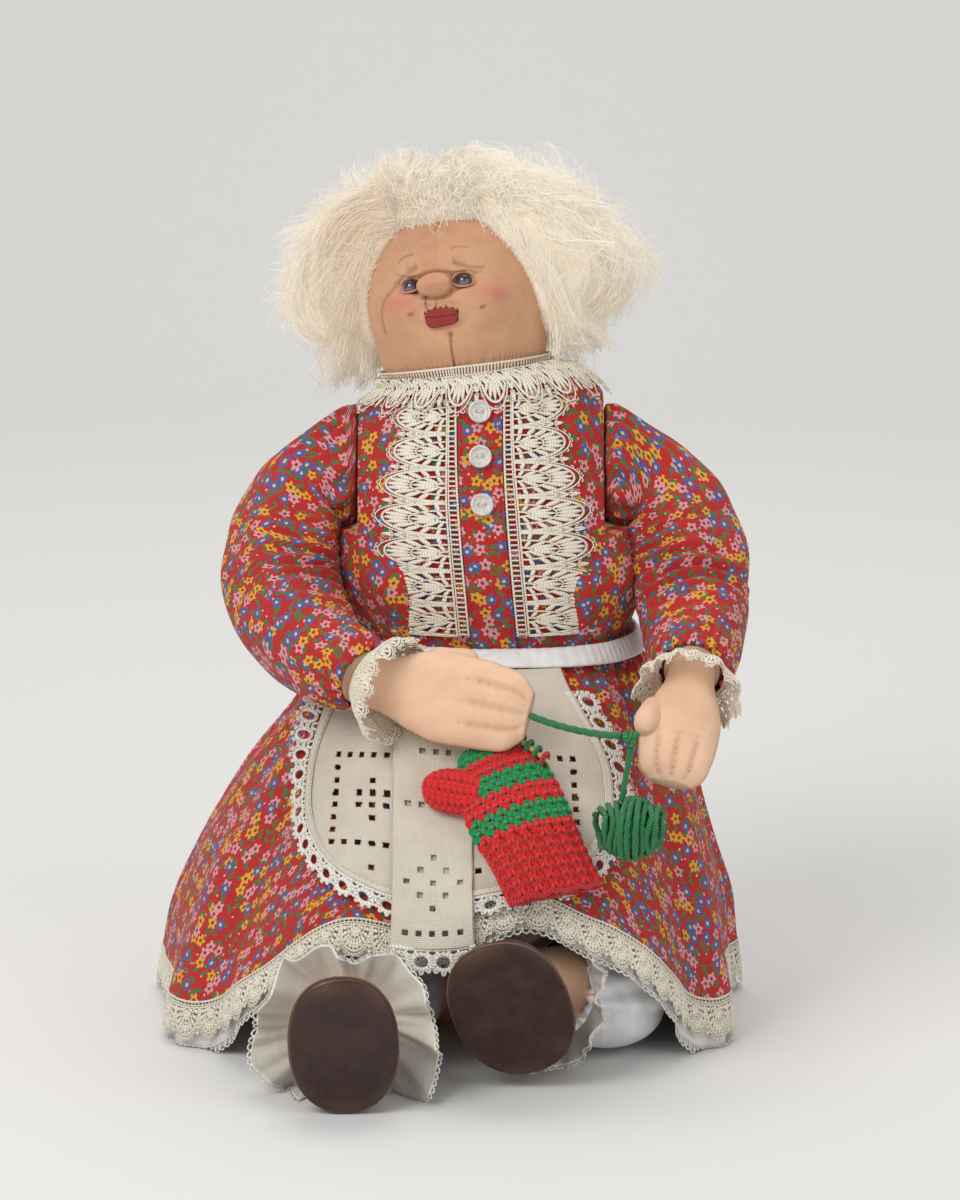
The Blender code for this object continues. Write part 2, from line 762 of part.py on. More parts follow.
def crown_point():
    """Top of the head."""
    return neck_pivot() + head_axis() * (HEAD_HEIGHT * 1.004 + GAP - NECK_SEAM_DROP)


def rest_height(surface, turn, share, normal, half_width, half_height):
    """How far a flat back must stand off to clear the surface under it."""
    place = surface(turn, share)
    wide = half_width / HEAD_FRONT
    high = half_height / HEAD_HEIGHT
    around = [surface(turn + wide * i / 2, share + high * j / 2)
              for i in range(-2, 3) for j in range(-2, 3)]
    return max((point - place).dot(normal) for point in around)


def dome(name, surface, turn, share, half_width, half_height, depth, finish, pivot, sides=14):
    """Low rounded piece that lies on a surface with a flat back."""
    normal = normal_at(surface, turn, share)
    rest = rest_height(surface, turn, share, normal, half_width, half_height)
    base = surface(turn, share) + normal * (GAP * 2 + rest)
    side, rise, normal = frame_from(normal, Vector((1, 0, 0)))
    rings = []
    for angle in steps(4, 0, math.radians(68)):
        spread, lift = math.cos(angle), math.sin(angle)
        rings.append(ring_at(base + normal * depth * lift, side, rise, half_width * spread,
                             half_height * spread, sides))
    return loft(name, rings, finish, pivot, end_cap=base + normal * depth)


def build_face(pivot_empty):
    """Glossy eyes and felt lips."""
    middle = math.radians(NOSE_TURN_DEG)
    for word, sign in SIDES:
        dome(word + "_eye", head_surface, middle + sign * math.radians(EYE_TURN_DEG),
             EYE_HEIGHT_SHARE, EYE_RADIUS, EYE_RADIUS, EYE_DEPTH, "eye_bead", pivot_empty)
    dome("lips", head_surface, math.radians(LIP_TURN_DEG), LIP_HEIGHT_SHARE, LIP_HALF_WIDTH,
         LIP_HALF_HEIGHT, LIP_DEPTH, "lip_felt", pivot_empty)


def hairline(turn):
    """Share of the head's height where the fleece starts."""
    away = abs((math.degrees(turn) + 180) % 360 - 180 - NOSE_TURN_DEG)
    back = smooth_step((away - HAIRLINE_TURN_DEG + HAIRLINE_BLEND_DEG) / (2 * HAIRLINE_BLEND_DEG))
    return HAIRLINE_TOP_SHARE + (HAIRLINE_SIDE_SHARE - HAIRLINE_TOP_SHARE) * back


def build_wig(pivot_empty):
    """Fleece wig round the back and sides of the head."""
    rows = steps(8, 0, 0.97)
    outer, inner = [], []
    for part in rows:
        outer_row, inner_row = [], []
        for turn in turns(WIG_SIDES):
            low = hairline(turn)
            share = low + (1 - low) * part
            sideways = abs(math.sin(turn)) ** 1.5
            height_bell = math.sin(math.pi * (0.25 + 0.75 * share))
            thick = WIG_THICKNESS + WIG_SIDE * sideways * height_bell + WIG_TOP * share ** 3
            rim = smooth_step(part / 0.35)
            thick = WIG_RIM + (thick - WIG_RIM) * rim
            inner_row.append(lifted(head_base_surface, turn, share, WIG_STAND_OFF))
            outer_row.append(lifted(head_base_surface, turn, share, WIG_STAND_OFF + thick))
        outer.append(outer_row)
        inner.append(inner_row)
    return close_crown("wig", outer, inner, "fleece", pivot_empty)


def close_crown(name, outer, inner, finish, pivot):
    """Bowl between two grids whose upper ends come to a point."""
    rows, columns = len(outer), len(outer[0])
    count = rows * columns
    vertices = [p for row in outer for p in row] + [p for row in inner for p in row]
    faces = grid_faces(rows, columns, True, 0, False) + grid_faces(rows, columns, True, count, True)
    top = (rows - 1) * columns
    for grid, start in ((outer, 0), (inner, count)):
        middle = sum(grid[-1], Vector()) / columns
        vertices.append(middle + head_axis() * GAP)
        tip = len(vertices) - 1
        for column in range(columns):
            pair = [start + top + column, start + top + (column + 1) % columns]
            faces.append([tip] + (pair if start == 0 else pair[::-1]))
    for column in range(columns):
        following = (column + 1) % columns
        faces.append([following, column, count + column, count + following])
    return add_object(name, vertices, faces, finish, pivot)


# Skirt, petticoat and apron
def skirt_surface(turn, share):
    """Outside of the skirt: share 1 is the waist and 0 the bottom of the hem lace."""
    fall = 1 - share
    facing = math.cos(turn)
    waist = lifted(torso_surface, turn, WAIST_SHARE, COTTON + GAP + FACET_ALLOWANCE)
    reach_x = SKIRT_REACH_LEFT if math.sin(turn) > 0 else SKIRT_REACH_RIGHT
    x, y = outline(turn, reach_x, SKIRT_REACH_FRONT, SKIRT_REACH_BACK, SKIRT_POWER)
    off_front = abs((math.degrees(turn) + 180) % 360 - 180)
    side = smooth_step((off_front - SKIRT_LAP_TURN_DEG + SKIRT_LAP_BLEND_DEG / 2)
                       / SKIRT_LAP_BLEND_DEG)
    hem_z = SKIRT_LAP_HEIGHT + (SKIRT_HEM_HEIGHT - SKIRT_LAP_HEIGHT) * side
    for across, half_width, rise in INSTEPS:
        hem_z += rise * math.exp(-((x - across) / half_width) ** 2) * max(facing, 0)
    bulge = SKIRT_SIDE_BULGE + (SKIRT_FRONT_BULGE - SKIRT_SIDE_BULGE) * max(facing, 0)
    if facing < 0:
        bulge = SKIRT_SIDE_BULGE + (SKIRT_BACK_BULGE - SKIRT_SIDE_BULGE) * abs(facing)
    spread = 1 - share ** bulge
    fold = math.cos(SKIRT_FOLDS * turn) * SKIRT_FOLD_DEPTH * fall * side
    away = Vector((math.sin(turn), -math.cos(turn), 0))
    top_z = TORSO_HEIGHT * WAIST_SHARE - GAP
    z = top_z + (hem_z - top_z) * fall
    point = Vector((waist.x + (x - waist.x) * spread, waist.y + (y - waist.y) * spread, z))
    return point + away * fold


def skirt_length(turn):
    """Length along the skirt from waist to hem at a turn."""
    places = [skirt_surface(turn, share) for share in steps(24)]
    return sum((b - a).length for a, b in zip(places, places[1:]))


def skirt_share(turn, distance):
    """Share on the skirt at a distance down from the waist."""
    return max(1 - distance / skirt_length(turn), 0)


def skirt_grid(offset, rows_of_share, sides=SKIRT_SIDES):
    """Grid that stands off the skirt, kept above the floor."""
    grid = []
    for share_of in rows_of_share:
        row = []
        for turn in turns(sides):
            point = lifted(skirt_surface, turn, share_of(turn), offset)
            point.z = max(point.z, SKIRT_HEM_HEIGHT / 2)
            row.append(point)
        grid.append(row)
    return grid


def skirt_band(low, high, count):
    """Rows between two lines on the skirt that are given as shares at a turn."""
    return [lambda turn, part=part: low(turn) + (high(turn) - low(turn)) * part
            for part in steps(count)]


def build_skirt():
    """Skirt with its folds, hem lace and the petticoat under it."""
    def cloth_end(turn):
        return HEM_LACE_HEIGHT / skirt_length(turn)

    def lace_top(turn):
        return cloth_end(turn) - 2 * GAP / skirt_length(turn)

    rows = skirt_band(cloth_end, lambda turn: 1.0, 8)
    shell("dress_skirt", skirt_grid(0, rows), skirt_grid(-COTTON, rows), True, "calico", None)
    rows = skirt_band(lambda turn: 0.0, lace_top, 2)
    shell("hem_lace", skirt_grid(0, rows), skirt_grid(-LACE, rows), True, "ecru_lace", None)
    under = -(COTTON + PETTICOAT_LIFT_OFF)
    rows = skirt_band(lambda turn: 0.0, lambda turn: PETTICOAT_TOP_SHARE, 5)
    outer = skirt_grid(under, rows)
    inner = skirt_grid(under - LINEN, rows)
    for grid in (outer, inner):
        for point in grid[0]:
            low = 1 - smooth_step(point.z / (SKIRT_LAP_HEIGHT / 2))
            point.z = max(point.z - PETTICOAT_DROP * low, GAP * 2)
    shell("petticoat", outer, inner, True, "white_lace", None)


def apron_turn(distance, across):
    """Turn on the skirt's front that lies a distance across its middle."""
    share = skirt_share(0, distance)
    reach = SKIRT_REACH_RIGHT if across < 0 else SKIRT_REACH_LEFT
    half = TORSO_HALF_WIDTH + (reach - TORSO_HALF_WIDTH) * (1 - share ** SKIRT_FRONT_BULGE)
    sine = min(abs(across) / half, 0.98) ** (SKIRT_POWER / 2)
    return math.copysign(math.asin(sine), across)


def lap_patch(name, rows, left, right, columns, standoff, thickness, finish):
    """Piece that lies on the lap between two edges given by the distance from the waist."""
    outer, inner = [], []
    for distance in rows:
        row_out, row_in = [], []
        for part in steps(columns):
            across = left(distance) + (right(distance) - left(distance)) * part
            row_out.append(lap_point(distance, across, standoff + thickness))
            row_in.append(lap_point(distance, across, standoff))
        outer.append(row_out)
        inner.append(row_in)
    return shell(name, outer, inner, False, finish, None)


def lap_point(distance, across, standoff):
    """Point above the lap at a distance below the waist and across its middle."""
    turn = apron_turn(distance, across)
    return lifted(skirt_surface, turn, skirt_share(turn, distance), standoff)


def apron_half_width(distance):
    """Half width of the apron at a distance below the waist, with round lower corners."""
    share = min(max(distance / APRON_LENGTH, 0), 1)
    flare = APRON_TOP_HALF_WIDTH + (APRON_HALF_WIDTH - APRON_TOP_HALF_WIDTH) * smooth_step(share * 1.9)
    rounding = math.sqrt(max(1 - max(share - 0.55, 0) ** 2 / 0.45 ** 2, 0))
    return flare * (0.30 + 0.70 * rounding)


def build_apron():
    """Apron waistband, panel, crochet edging and the sash that hangs over it."""
    start = WAISTBAND_HEIGHT + GAP
    rows = steps(10, APRON_LENGTH, start)
    lap_patch("apron", rows, lambda d: -apron_half_width(d) - APRON_SIDESTEP,
              lambda d: apron_half_width(d) - APRON_SIDESTEP, 11, APRON_STAND_OFF, LINEN, "linen")
    build_apron_lace()
    sash_layer = APRON_STAND_OFF + LINEN + GAP * 3
    left = lambda d: -SASH_OFFSET - SASH_WIDTH / 2
    right = lambda d: SASH_WIDTH / 2 - SASH_OFFSET
    foot = APRON_LENGTH + SASH_PAST_APRON
    end = foot - SASH_LACE_LENGTH
    lap_patch("apron_sash", steps(9, end, SASH_START), left, right, 5, sash_layer, LINEN, "linen")
    lap_patch("sash_lace", steps(3, foot, end + GAP), left, right, 5, sash_layer, LACE,
              "white_lace")
    build_waistband()


def build_apron_lace():
    """Scalloped edging round the apron's sides and foot."""
    count = APRON_LACE_SCALLOPS * 3 + 1
    path = []
    for part in steps(count, -1, 1):
        angle = part * math.pi / 2
        foot = math.cos(angle)
        distance = WAISTBAND_HEIGHT * 2.2 + (APRON_LENGTH - WAISTBAND_HEIGHT * 2.2) * foot
        path.append((math.copysign(1, part), distance, part))
    outer, inner = [], []
    for step in range(3):
        row_out, row_in = [], []
        for index, (sign, distance, part) in enumerate(path):
            wave = APRON_LACE_SCALLOP * abs(math.sin(index * math.pi / 3)) * step / 2
            out = APRON_LACE_GAP + (APRON_LACE_WIDTH * step / 2) + wave
            lean = math.cos(part * math.pi / 2)
            edge = apron_half_width(distance) * (1 if abs(part) > 0.06 else abs(part) / 0.06)
            across = sign * (edge + out * (1 - lean ** 3)) - APRON_SIDESTEP
            down = distance + out * lean
            row_out.append(lap_point(down, across, APRON_STAND_OFF + LACE))
            row_in.append(lap_point(down, across, APRON_STAND_OFF))
        outer.append(row_out)
        inner.append(row_in)
    return outward(shell("apron_lace", outer[::-1], inner[::-1], False, "white_lace", None))


def build_waistband():
    """Apron waistband and ties round the skirt's top."""
    outer, inner = [], []
    for distance in (WAISTBAND_HEIGHT, GAP):
        row_out, row_in = [], []
        for turn in turns(SKIRT_SIDES):
            share = skirt_share(turn, distance)
            row_in.append(lifted(skirt_surface, turn, share, APRON_STAND_OFF))
            row_out.append(lifted(skirt_surface, turn, share, APRON_STAND_OFF + WAISTBAND_THICKNESS))
        outer.append(row_out)
        inner.append(row_in)
    return shell("apron_waistband", outer, inner, True, "linen", None)


# Arms and hands
def above_waist(place):
    """Point of the doll from a place whose height counts from the waist seam."""
    return Vector(place) + UP * TORSO_HEIGHT * WAIST_SHARE


def wrist_place(sign):
    """Where the hand leaves the sleeve."""
    return above_waist(RIGHT_WRIST if sign < 0 else LEFT_WRIST)


def tip_place(sign):
    """Where the fingertips end."""
    return above_waist(RIGHT_TIP if sign < 0 else LEFT_TIP)


def frames_along(points, shares, seam=None):
    """Frames that turn as little as they can along a curve; the first lies in a seam's plane."""
    frames = []
    side = None
    for share in shares:
        along = spine_direction(points, share)
        if seam is not None:
            along = seam.lerp(along, smooth_step(share / 0.3)).normalized()
        hint = Vector((0, 1, 0)) if side is None else side
        side, rise, along = frame_from(along, hint)
        frames.append((spine_point(points, share), side, rise, along))
    return frames


def arm_frames(sign):
    """Frames from the shoulder seam round the elbow to the wrist."""
    route = RIGHT_ARM_ROUTE if sign < 0 else LEFT_ARM_ROUTE
    start = shoulder_place(sign) + Vector((sign * 2 * GAP, 0, 0))
    points = [start] + [above_waist(place) for place in route] + [wrist_place(sign)]
    return frames_along(points, ARM_ROW_SHARES, Vector((sign, 0, 0)))


def arm_rings(sign, offset, puff=0.0):
    """Rings round the arm."""
    rings = []
    for share, (centre, side, rise, along) in zip(ARM_ROW_SHARES, arm_frames(sign)):
        swell = 0.14 * math.sin(math.pi * min(share * 1.1, 1)) - 0.10 * share ** 2
        radius = ARM_RADIUS * (0.92 + swell) + offset + puff * math.sin(math.pi * share)
        rings.append(ring_at(centre, side, rise, radius, radius, ARM_SIDES))
    return rings


def build_arm(word, sign, pivot):
    """Stuffed arm inside its puffed sleeve, with the lace cuff and the hand."""
    outward(loft(word + "_arm", arm_rings(sign, 0), "muslin", pivot))
    inner = arm_rings(sign, SLEEVE_EASE, 0)
    outer = arm_rings(sign, SLEEVE_EASE + COTTON, SLEEVE_PUFF)
    outward(shell(word + "_sleeve", outer, inner, True, "calico", pivot))
    build_cuff(word, sign, pivot)
    build_hand(word, sign, pivot)


def build_cuff(word, sign, pivot):
    """Lace ring that flares over the wrist."""
    end, side, rise, arm_way = arm_frames(sign)[-1]
    along = (arm_way + (tip_place(sign) - end).normalized()).normalized()
    side, rise, along = frame_from(along, side)
    radius = ARM_RADIUS * 0.82 + SLEEVE_EASE
    start = end + along * (GAP * 2 + radius * math.sin(along.angle(arm_way)))
    grids = ([], [])
    for share in steps(3):
        grow = radius + CUFF_FLARE * math.sin(share * math.pi * 0.62)
        centre = start + along * CUFF_LENGTH * share
        for grid, extra in zip(grids, (LACE, 0)):
            grid.append(ring_at(centre, side, rise, grow + extra, grow + extra, ARM_SIDES + 2))
    return outward(shell(word + "_cuff_lace", *grids, True, "ecru_lace", pivot))


# Rows of length share, width share and thickness share of a hand
HAND_SHARES = (
    (0.00, 0.60, 0.98),
    (0.14, 0.64, 1.00),
    (0.30, 0.86, 1.00),
    (0.46, 1.00, 0.92),
    (0.62, 0.99, 0.78),
    (0.78, 0.94, 0.68),
    (0.92, 0.82, 0.58),
    (1.00, 0.52, 0.30),
)
FINGER_SHARES = (-1.0, -0.88, -0.65, -0.5, -0.35, -0.12, 0.0, 0.12, 0.35, 0.5, 0.65, 0.88, 1.0)


def build_hand(word, sign, pivot):
    """Muslin hand with its fingers divided by stitched grooves, and a thumb."""
    wrist, side, rise, arm_way = arm_frames(sign)[-1]
    start = wrist + arm_way * GAP * 2
    along = (tip_place(sign) - start).normalized()
    length = (tip_place(sign) - start).length
    width = HAND_WIDTH if sign < 0 else LEFT_HAND_WIDTH
    hint = Vector((0, 0.35, 1)) if sign < 0 else Vector((1, 0.25, 0.1))
    rings = []
    for share in steps(10):
        way = arm_way.lerp(along, smooth_step(share / 0.25))
        across, lift, way = frame_from(way, hint)
        wide, thick = read_table(HAND_SHARES, share)
        groove = FINGER_GROOVE_SHARE * smooth_step((share - 0.42) / 0.2)
        ring = []
        for face in (1, -1):
            for place in FINGER_SHARES[:-1]:
                place = -place if face < 0 else place
                edge = math.sqrt(max(1 - abs(place) ** 2.6, 0))
                valley = abs(math.cos(place * math.pi * 2)) if abs(place) < 0.8 else 0
                bump = 1 - groove * valley ** 3
                ring.append(start + along * length * share + across * place * width / 2 * wide
                            + lift * face * HAND_THICKNESS / 2 * thick * edge * bump)
        rings.append(ring)
    made = outward(loft(word + "_hand", rings, "muslin", pivot))
    across, lift, along = frame_from(along, hint)
    build_thumb(made, word, sign, start, along, across, lift, length, width)
    return made


def build_thumb(hand, word, sign, start, along, side, rise, length, width):
    """Thumb that lies along the palm."""
    edge = 1 if sign < 0 else -1
    root = start + along * length * 0.34 + side * edge * width * 0.36
    lean = (along + side * edge * 0.20 + rise * (0.40 if sign > 0 else -0.30)).normalized()
    across, lift, lean = frame_from(lean, side)
    rings = []
    for share, size in ((0.0, 0.55), (0.12, 0.9), (0.4, 1.0), (0.72, 0.92), (0.93, 0.6)):
        radius = THUMB_RADIUS * size
        rings.append(ring_at(root + lean * THUMB_LENGTH * share, across, lift, radius, radius, 8))
    helper = loft(word + "_thumb_form", rings, "muslin", None, end_cap=root + lean * THUMB_LENGTH)
    return combine(hand, outward(helper), "UNION")


# Legs, bloomers and shoes
def foot_frame(sign):
    """Middle of a sole with its side, toe and outward directions."""
    place = Vector(RIGHT_FOOT if sign < 0 else LEFT_FOOT)
    toe = Vector(RIGHT_TOE_LEAN if sign < 0 else LEFT_TOE_LEAN).normalized()
    side = Vector((1, 0, 0)) - toe * toe.x
    side.normalize()
    return place, side, toe, side.cross(toe)


def hip_place(sign):
    """Centre of a hip's round end."""
    return Vector((sign * HIP_SPACING / 2, -HIP_FORWARD, HIP_HEIGHT))


def ankle_place(sign):
    """Where the leg enters the shoe."""
    place, side, toe, out = foot_frame(sign)
    return place - out * FOOT_DEPTH - toe * sole_half_length(sign) * HEEL_SHARE


def sole_half_width(sign):
    """Half width of a sole."""
    return RIGHT_SOLE_HALF_WIDTH if sign < 0 else LEFT_SOLE_HALF_WIDTH


def sole_half_length(sign):
    """Half length of a sole."""
    return RIGHT_SOLE_HALF_LENGTH if sign < 0 else LEFT_SOLE_HALF_LENGTH


def sole_ring(sign, depth, grow, shrink, sides=LEG_SIDES):
    """Outline of the foot at a depth behind the sole, nearer the heel as it goes back."""
    place, side, toe, out = foot_frame(sign)
    half_width = (sole_half_width(sign) - SHOE_WALL) * shrink + grow
    half_length = (sole_half_length(sign) - SHOE_WALL) * shrink + grow
    heelward = sole_half_length(sign) * HEEL_SHARE * smooth_step(depth / FOOT_DEPTH)
    centre = place - out * depth - toe * heelward
    return ring_at(centre, side, toe, half_width, half_length, sides, 2.3)


def leg_points(sign):
    """Hand-chosen points of a leg."""
    return [hip_place(sign), Vector(RIGHT_KNEE if sign < 0 else LEFT_KNEE), ankle_place(sign)]


def leg_rings(sign, shares, offset, puff=0.0):
    """Rings round the leg from the hip to the ankle."""
    rings = []
    side = Vector((1, 0, 0))
    for share in shares:
        centre = spine_point(leg_points(sign), share)
        side, rise, along = frame_from(spine_direction(leg_points(sign), share), side)
        radius = LEG_RADIUS + (ANKLE_RADIUS - LEG_RADIUS) * share ** 1.6
        radius += LEG_SWELL * math.sin(math.pi * share) + offset
        span = min(max((share - LEG_ROW_SHARES[2]) / (LEG_ROW_SHARES[-1] - LEG_ROW_SHARES[2]), 0), 1)
        radius += puff * math.sin(math.pi * span)
        rings.append(ring_at(centre, side, rise, radius, radius, LEG_SIDES))
    return rings


def hip_rings(sign, reach, angles, sides):
    """Rings of the round end of a hip, from its back to its widest place."""
    hip = hip_place(sign)
    side, rise, along = frame_from(spine_direction(leg_points(sign), 0), Vector((1, 0, 0)))
    return [ring_at(hip - along * reach * math.sin(angle), side, rise, reach * math.cos(angle),
                    reach * math.cos(angle), sides) for angle in angles]


def build_leg(word, sign, pivot):
    """Stuffed leg whose foot fills the shoe, with bloomers, ruffle, upper and sole."""
    rings = hip_rings(sign, LEG_RADIUS, steps(4, math.radians(72), math.radians(18)), LEG_SIDES)
    rings += leg_rings(sign, LEG_ROW_SHARES, 0)
    for depth_share, shrink in FOOT_SHARES[::-1]:
        rings.append(sole_ring(sign, FOOT_DEPTH * depth_share + GAP, 0, shrink))
    outward(loft(word + "_leg", rings, "muslin", pivot))
    shares = LEG_ROW_SHARES[2:]
    inner = leg_rings(sign, shares, BLOOMER_EASE)
    outer = leg_rings(sign, shares, BLOOMER_EASE + SATIN, BLOOMER_PUFF)
    for point in (point for row in outer + inner for point in row):
        point.z = max(point.z, RUFFLE_FLOOR)
    outward(shell(word + "_bloomer", outer, inner, True, "satin", pivot))
    build_ruffle(word, sign, pivot)
    build_shoe(word, sign, pivot)


def hip_hollow(word, sign):
    """Hollow in the torso in which a hip turns."""
    reach = LEG_RADIUS + HIP_CLEARANCE
    angles = steps(5, math.radians(80), math.radians(16))
    rings = hip_rings(sign, reach, angles, HOLLOW_SIDES)
    side, rise, along = frame_from(spine_direction(leg_points(sign), 0), Vector((1, 0, 0)))
    for share in (0, 0.5, 1):
        radius = reach + HIP_FLARE * share
        centre = hip_place(sign) + along * LEG_RADIUS * 1.4 * share
        rings.append(ring_at(centre, side, rise, radius, radius, HOLLOW_SIDES))
    return outward(loft(word + "_hip_hollow", rings, "muslin", None))


def build_ruffle(word, sign, pivot):
    """Gathered gauze ruffle that flares from the end of the bloomer."""
    points = leg_points(sign)
    place = RUFFLE_PLACE_SHARES[sign > 0]
    centre = spine_point(points, place)
    along = spine_direction(points, place)
    out = foot_frame(sign)[3]
    side, rise, along = frame_from(along + out * RUFFLE_LEAN_SHARE, Vector((1, 0, 0)))
    radius = (leg_rings(sign, [place], 0)[0][0] - centre).length
    start = radius * RUFFLE_OPENING_SHARES[sign > 0] + BLOOMER_EASE
    width, depth = RUFFLE_RADII[sign > 0], RUFFLE_DEPTHS[sign > 0]
    grids = ([], [])
    for share in steps(3):
        for grid, back in zip(grids, (0, GAUZE)):
            row = []
            for turn in turns(3 * RUFFLE_FOLDS):
                away = side * math.cos(turn) + rise * math.sin(turn)
                reach = start + (width - start) * share ** 0.8
                wave = RUFFLE_FOLD_DEPTH * share * math.cos(turn * RUFFLE_FOLDS)
                point = centre + away * reach + along * (wave - back + depth * share)
                point.z = max(point.z, RUFFLE_FLOOR)
                row.append(point)
            grid.append(row)
    return outward(shell(word + "_ruffle", *grids, True, "white_lace", pivot))


def build_shoe(word, sign, pivot):
    """Soft shoe: an upper open at the ankle, and its sole."""
    inner, outer = [], []
    for depth_share, shrink in FOOT_SHARES:
        depth = FOOT_DEPTH * depth_share + GAP
        inner.append(sole_ring(sign, depth, GAP * 2, shrink))
        outer.append(sole_ring(sign, depth, GAP * 2 + SHOE_WALL, shrink))
    outward(shell(word + "_shoe_upper", outer, inner, True, "shoe_leather", pivot))
    rings = []
    for depth, grow in ((0, SOLE_EDGE), (-SOLE_THICKNESS * 0.6, SOLE_EDGE),
                        (-SOLE_THICKNESS, SOLE_EDGE / 3)):
        rings.append(sole_ring(sign, depth, SHOE_WALL + grow, 1.0, LEG_SIDES + 8))
    return outward(loft(word + "_shoe_sole", rings, "shoe_leather", pivot))


# Knitting
# Rows of length share, half width share and thickness share of the mitten
MITTEN_SHARES = (
    (0.00, 0.64, 0.60),
    (0.10, 0.88, 0.92),
    (0.25, 1.00, 1.00),
    (0.50, 1.02, 1.00),
    (0.68, 0.95, 1.00),
    (0.82, 0.95, 1.05),
    (1.00, 1.00, 1.00),
)


def mitten_point(share, across, lift_share):
    """Point of the mitten, which hugs the apron on the lap."""
    standoff = APRON_STAND_OFF + LINEN + SASH_LAYER + GAP * 2
    distance = MITTEN_START + MITTEN_LENGTH * share
    middle = MITTEN_ACROSS + MITTEN_SLANT * share
    down = distance - across * MITTEN_SLANT / MITTEN_LENGTH
    return lap_point(down, middle + across, standoff + MITTEN_HALF_THICKNESS * lift_share)


def build_needle(pivot):
    """Wooden needle with pointed ends, that carries the mitten's live stitches."""
    wide = MITTEN_HALF_WIDTH
    top_lift = 1.74 + (NEEDLE_RADIUS + GAP) / MITTEN_HALF_THICKNESS
    middle = mitten_point(0.13, wide * 0.76, top_lift)
    lean = mitten_point(0.26, wide * 0.98, 2) - mitten_point(0.0, wide * 0.56, 2)
    side, rise, lean = frame_from(lean, UP)
    rings = []
    for place, size in ((-NEEDLE_UP, 0.4), (NEEDLE_TIP - NEEDLE_UP, 1),
                        (NEEDLE_DOWN - NEEDLE_TIP, 1), (NEEDLE_DOWN, 0.4)):
        radius = NEEDLE_RADIUS * size
        rings.append(ring_at(middle + lean * place, side, rise, radius, radius, 8))
    return outward(loft("knitting_needle", rings, "birch", pivot))


def build_mitten(pivot):
    """Knitted mitten with a ribbed cuff and a thumb, that hangs on the needle."""
    rings = []
    count = MITTEN_RIBS * 4
    for share in steps(9):
        wide, thick = read_table(MITTEN_SHARES, share)
        rib = MITTEN_RIB_DEPTH * smooth_step((share - 1 + MITTEN_CUFF_SHARE) / 0.08)
        ring = []
        for index, turn in enumerate(turns(count)):
            ridge = rib / MITTEN_HALF_THICKNESS * (1 if index % 4 < 2 else -1)
            across = math.copysign(abs(math.cos(turn)) ** 0.8, math.cos(turn))
            upward = math.copysign(abs(math.sin(turn)) ** 0.8, math.sin(turn))
            rise = 1 + upward * (thick + ridge * abs(upward))
            ring.append(mitten_point(share, across * MITTEN_HALF_WIDTH * wide, max(rise, 0)))
        rings.append(ring)
    made = outward(loft("knitted_mitten", rings, "red_yarn", pivot))
    root = mitten_point(0.28, -MITTEN_HALF_WIDTH * 0.50, 1)
    tip = mitten_point(0.09, -MITTEN_HALF_WIDTH - MITTEN_THUMB_LENGTH * 0.68, 1)
    normal = (mitten_point(0.28, -MITTEN_HALF_WIDTH, 2) - mitten_point(0.28, -MITTEN_HALF_WIDTH, 1))
    across, lift, lean = frame_from(tip - root, normal)
    rings = []
    for share, size in ((0.0, 0.8), (0.3, 1.0), (0.7, 0.95), (0.92, 0.6)):
        radius = MITTEN_THUMB_RADIUS * size
        flat = min(radius, MITTEN_HALF_THICKNESS * 0.85)
        rings.append(ring_at(root.lerp(tip, share), across, lift, flat, radius, 10))
    helper = outward(loft("mitten_thumb_form", rings, "red_yarn", None, end_cap=tip))
    return combine(made, helper, "UNION")


def yarn_tube(name, points, count, pivot, resolution=2, diameter=YARN_DIAMETER):
    """Tube of yarn along a smooth curve through its route's points."""
    origin = pivot.location.copy() if pivot else Vector()
    data = bpy.data.curves.new(name, "CURVE")
    data.dimensions = "3D"
    data.bevel_depth = diameter / 2
    data.bevel_resolution = resolution
    data.use_fill_caps = True
    spline = data.splines.new("POLY")
    places = points if count is None else [spine_point(points, share) for share in steps(count)]
    spline.points.add(len(places) - 1)
    for target, place in zip(spline.points, places):
        target.co = (*(place - origin), 1)
    data.materials.append(material("green_yarn"))
    made = bpy.data.objects.new(name, data)
    bpy.context.collection.objects.link(made)
    made.parent = pivot
    return made


def ball_centre():
    """Middle of the ball of yarn, below the knot."""
    knot = above_waist(KNOT_PLACE)
    return knot - UP * (KNOT_RADIUS + BALL_DROP + BALL_RADIUS)


def build_yarn(arm_pivot, ball_pivot):
    """Strand from hand to hand, the knot, the drop and the wound ball."""
    knot = above_waist(KNOT_PLACE)
    start = tip_place(-1)
    away = (knot - start).normalized()
    start = start + away * GAP * 3
    end = knot - away * (KNOT_RADIUS + GAP * 2)
    sag = [0.0, 0.75, 1.0, 0.75, 0.0]
    points = [start.lerp(end, part) - UP * STRAND_SAG * low for part, low in zip(steps(5), sag)]
    yarn_tube("yarn_strand", points, 9, arm_pivot)
    helper = ball("yarn_knot", knot - arm_pivot.location, KNOT_RADIUS, 12, "green_yarn")
    helper.parent = arm_pivot
    centre = ball_centre()
    top = knot - UP * (KNOT_RADIUS + GAP * 2)
    foot = centre + UP * (BALL_RADIUS + GAP * 2)
    yarn_tube("yarn_drop", [top, top.lerp(foot, 0.5), foot], 6, ball_pivot)
    build_ball(centre, ball_pivot)


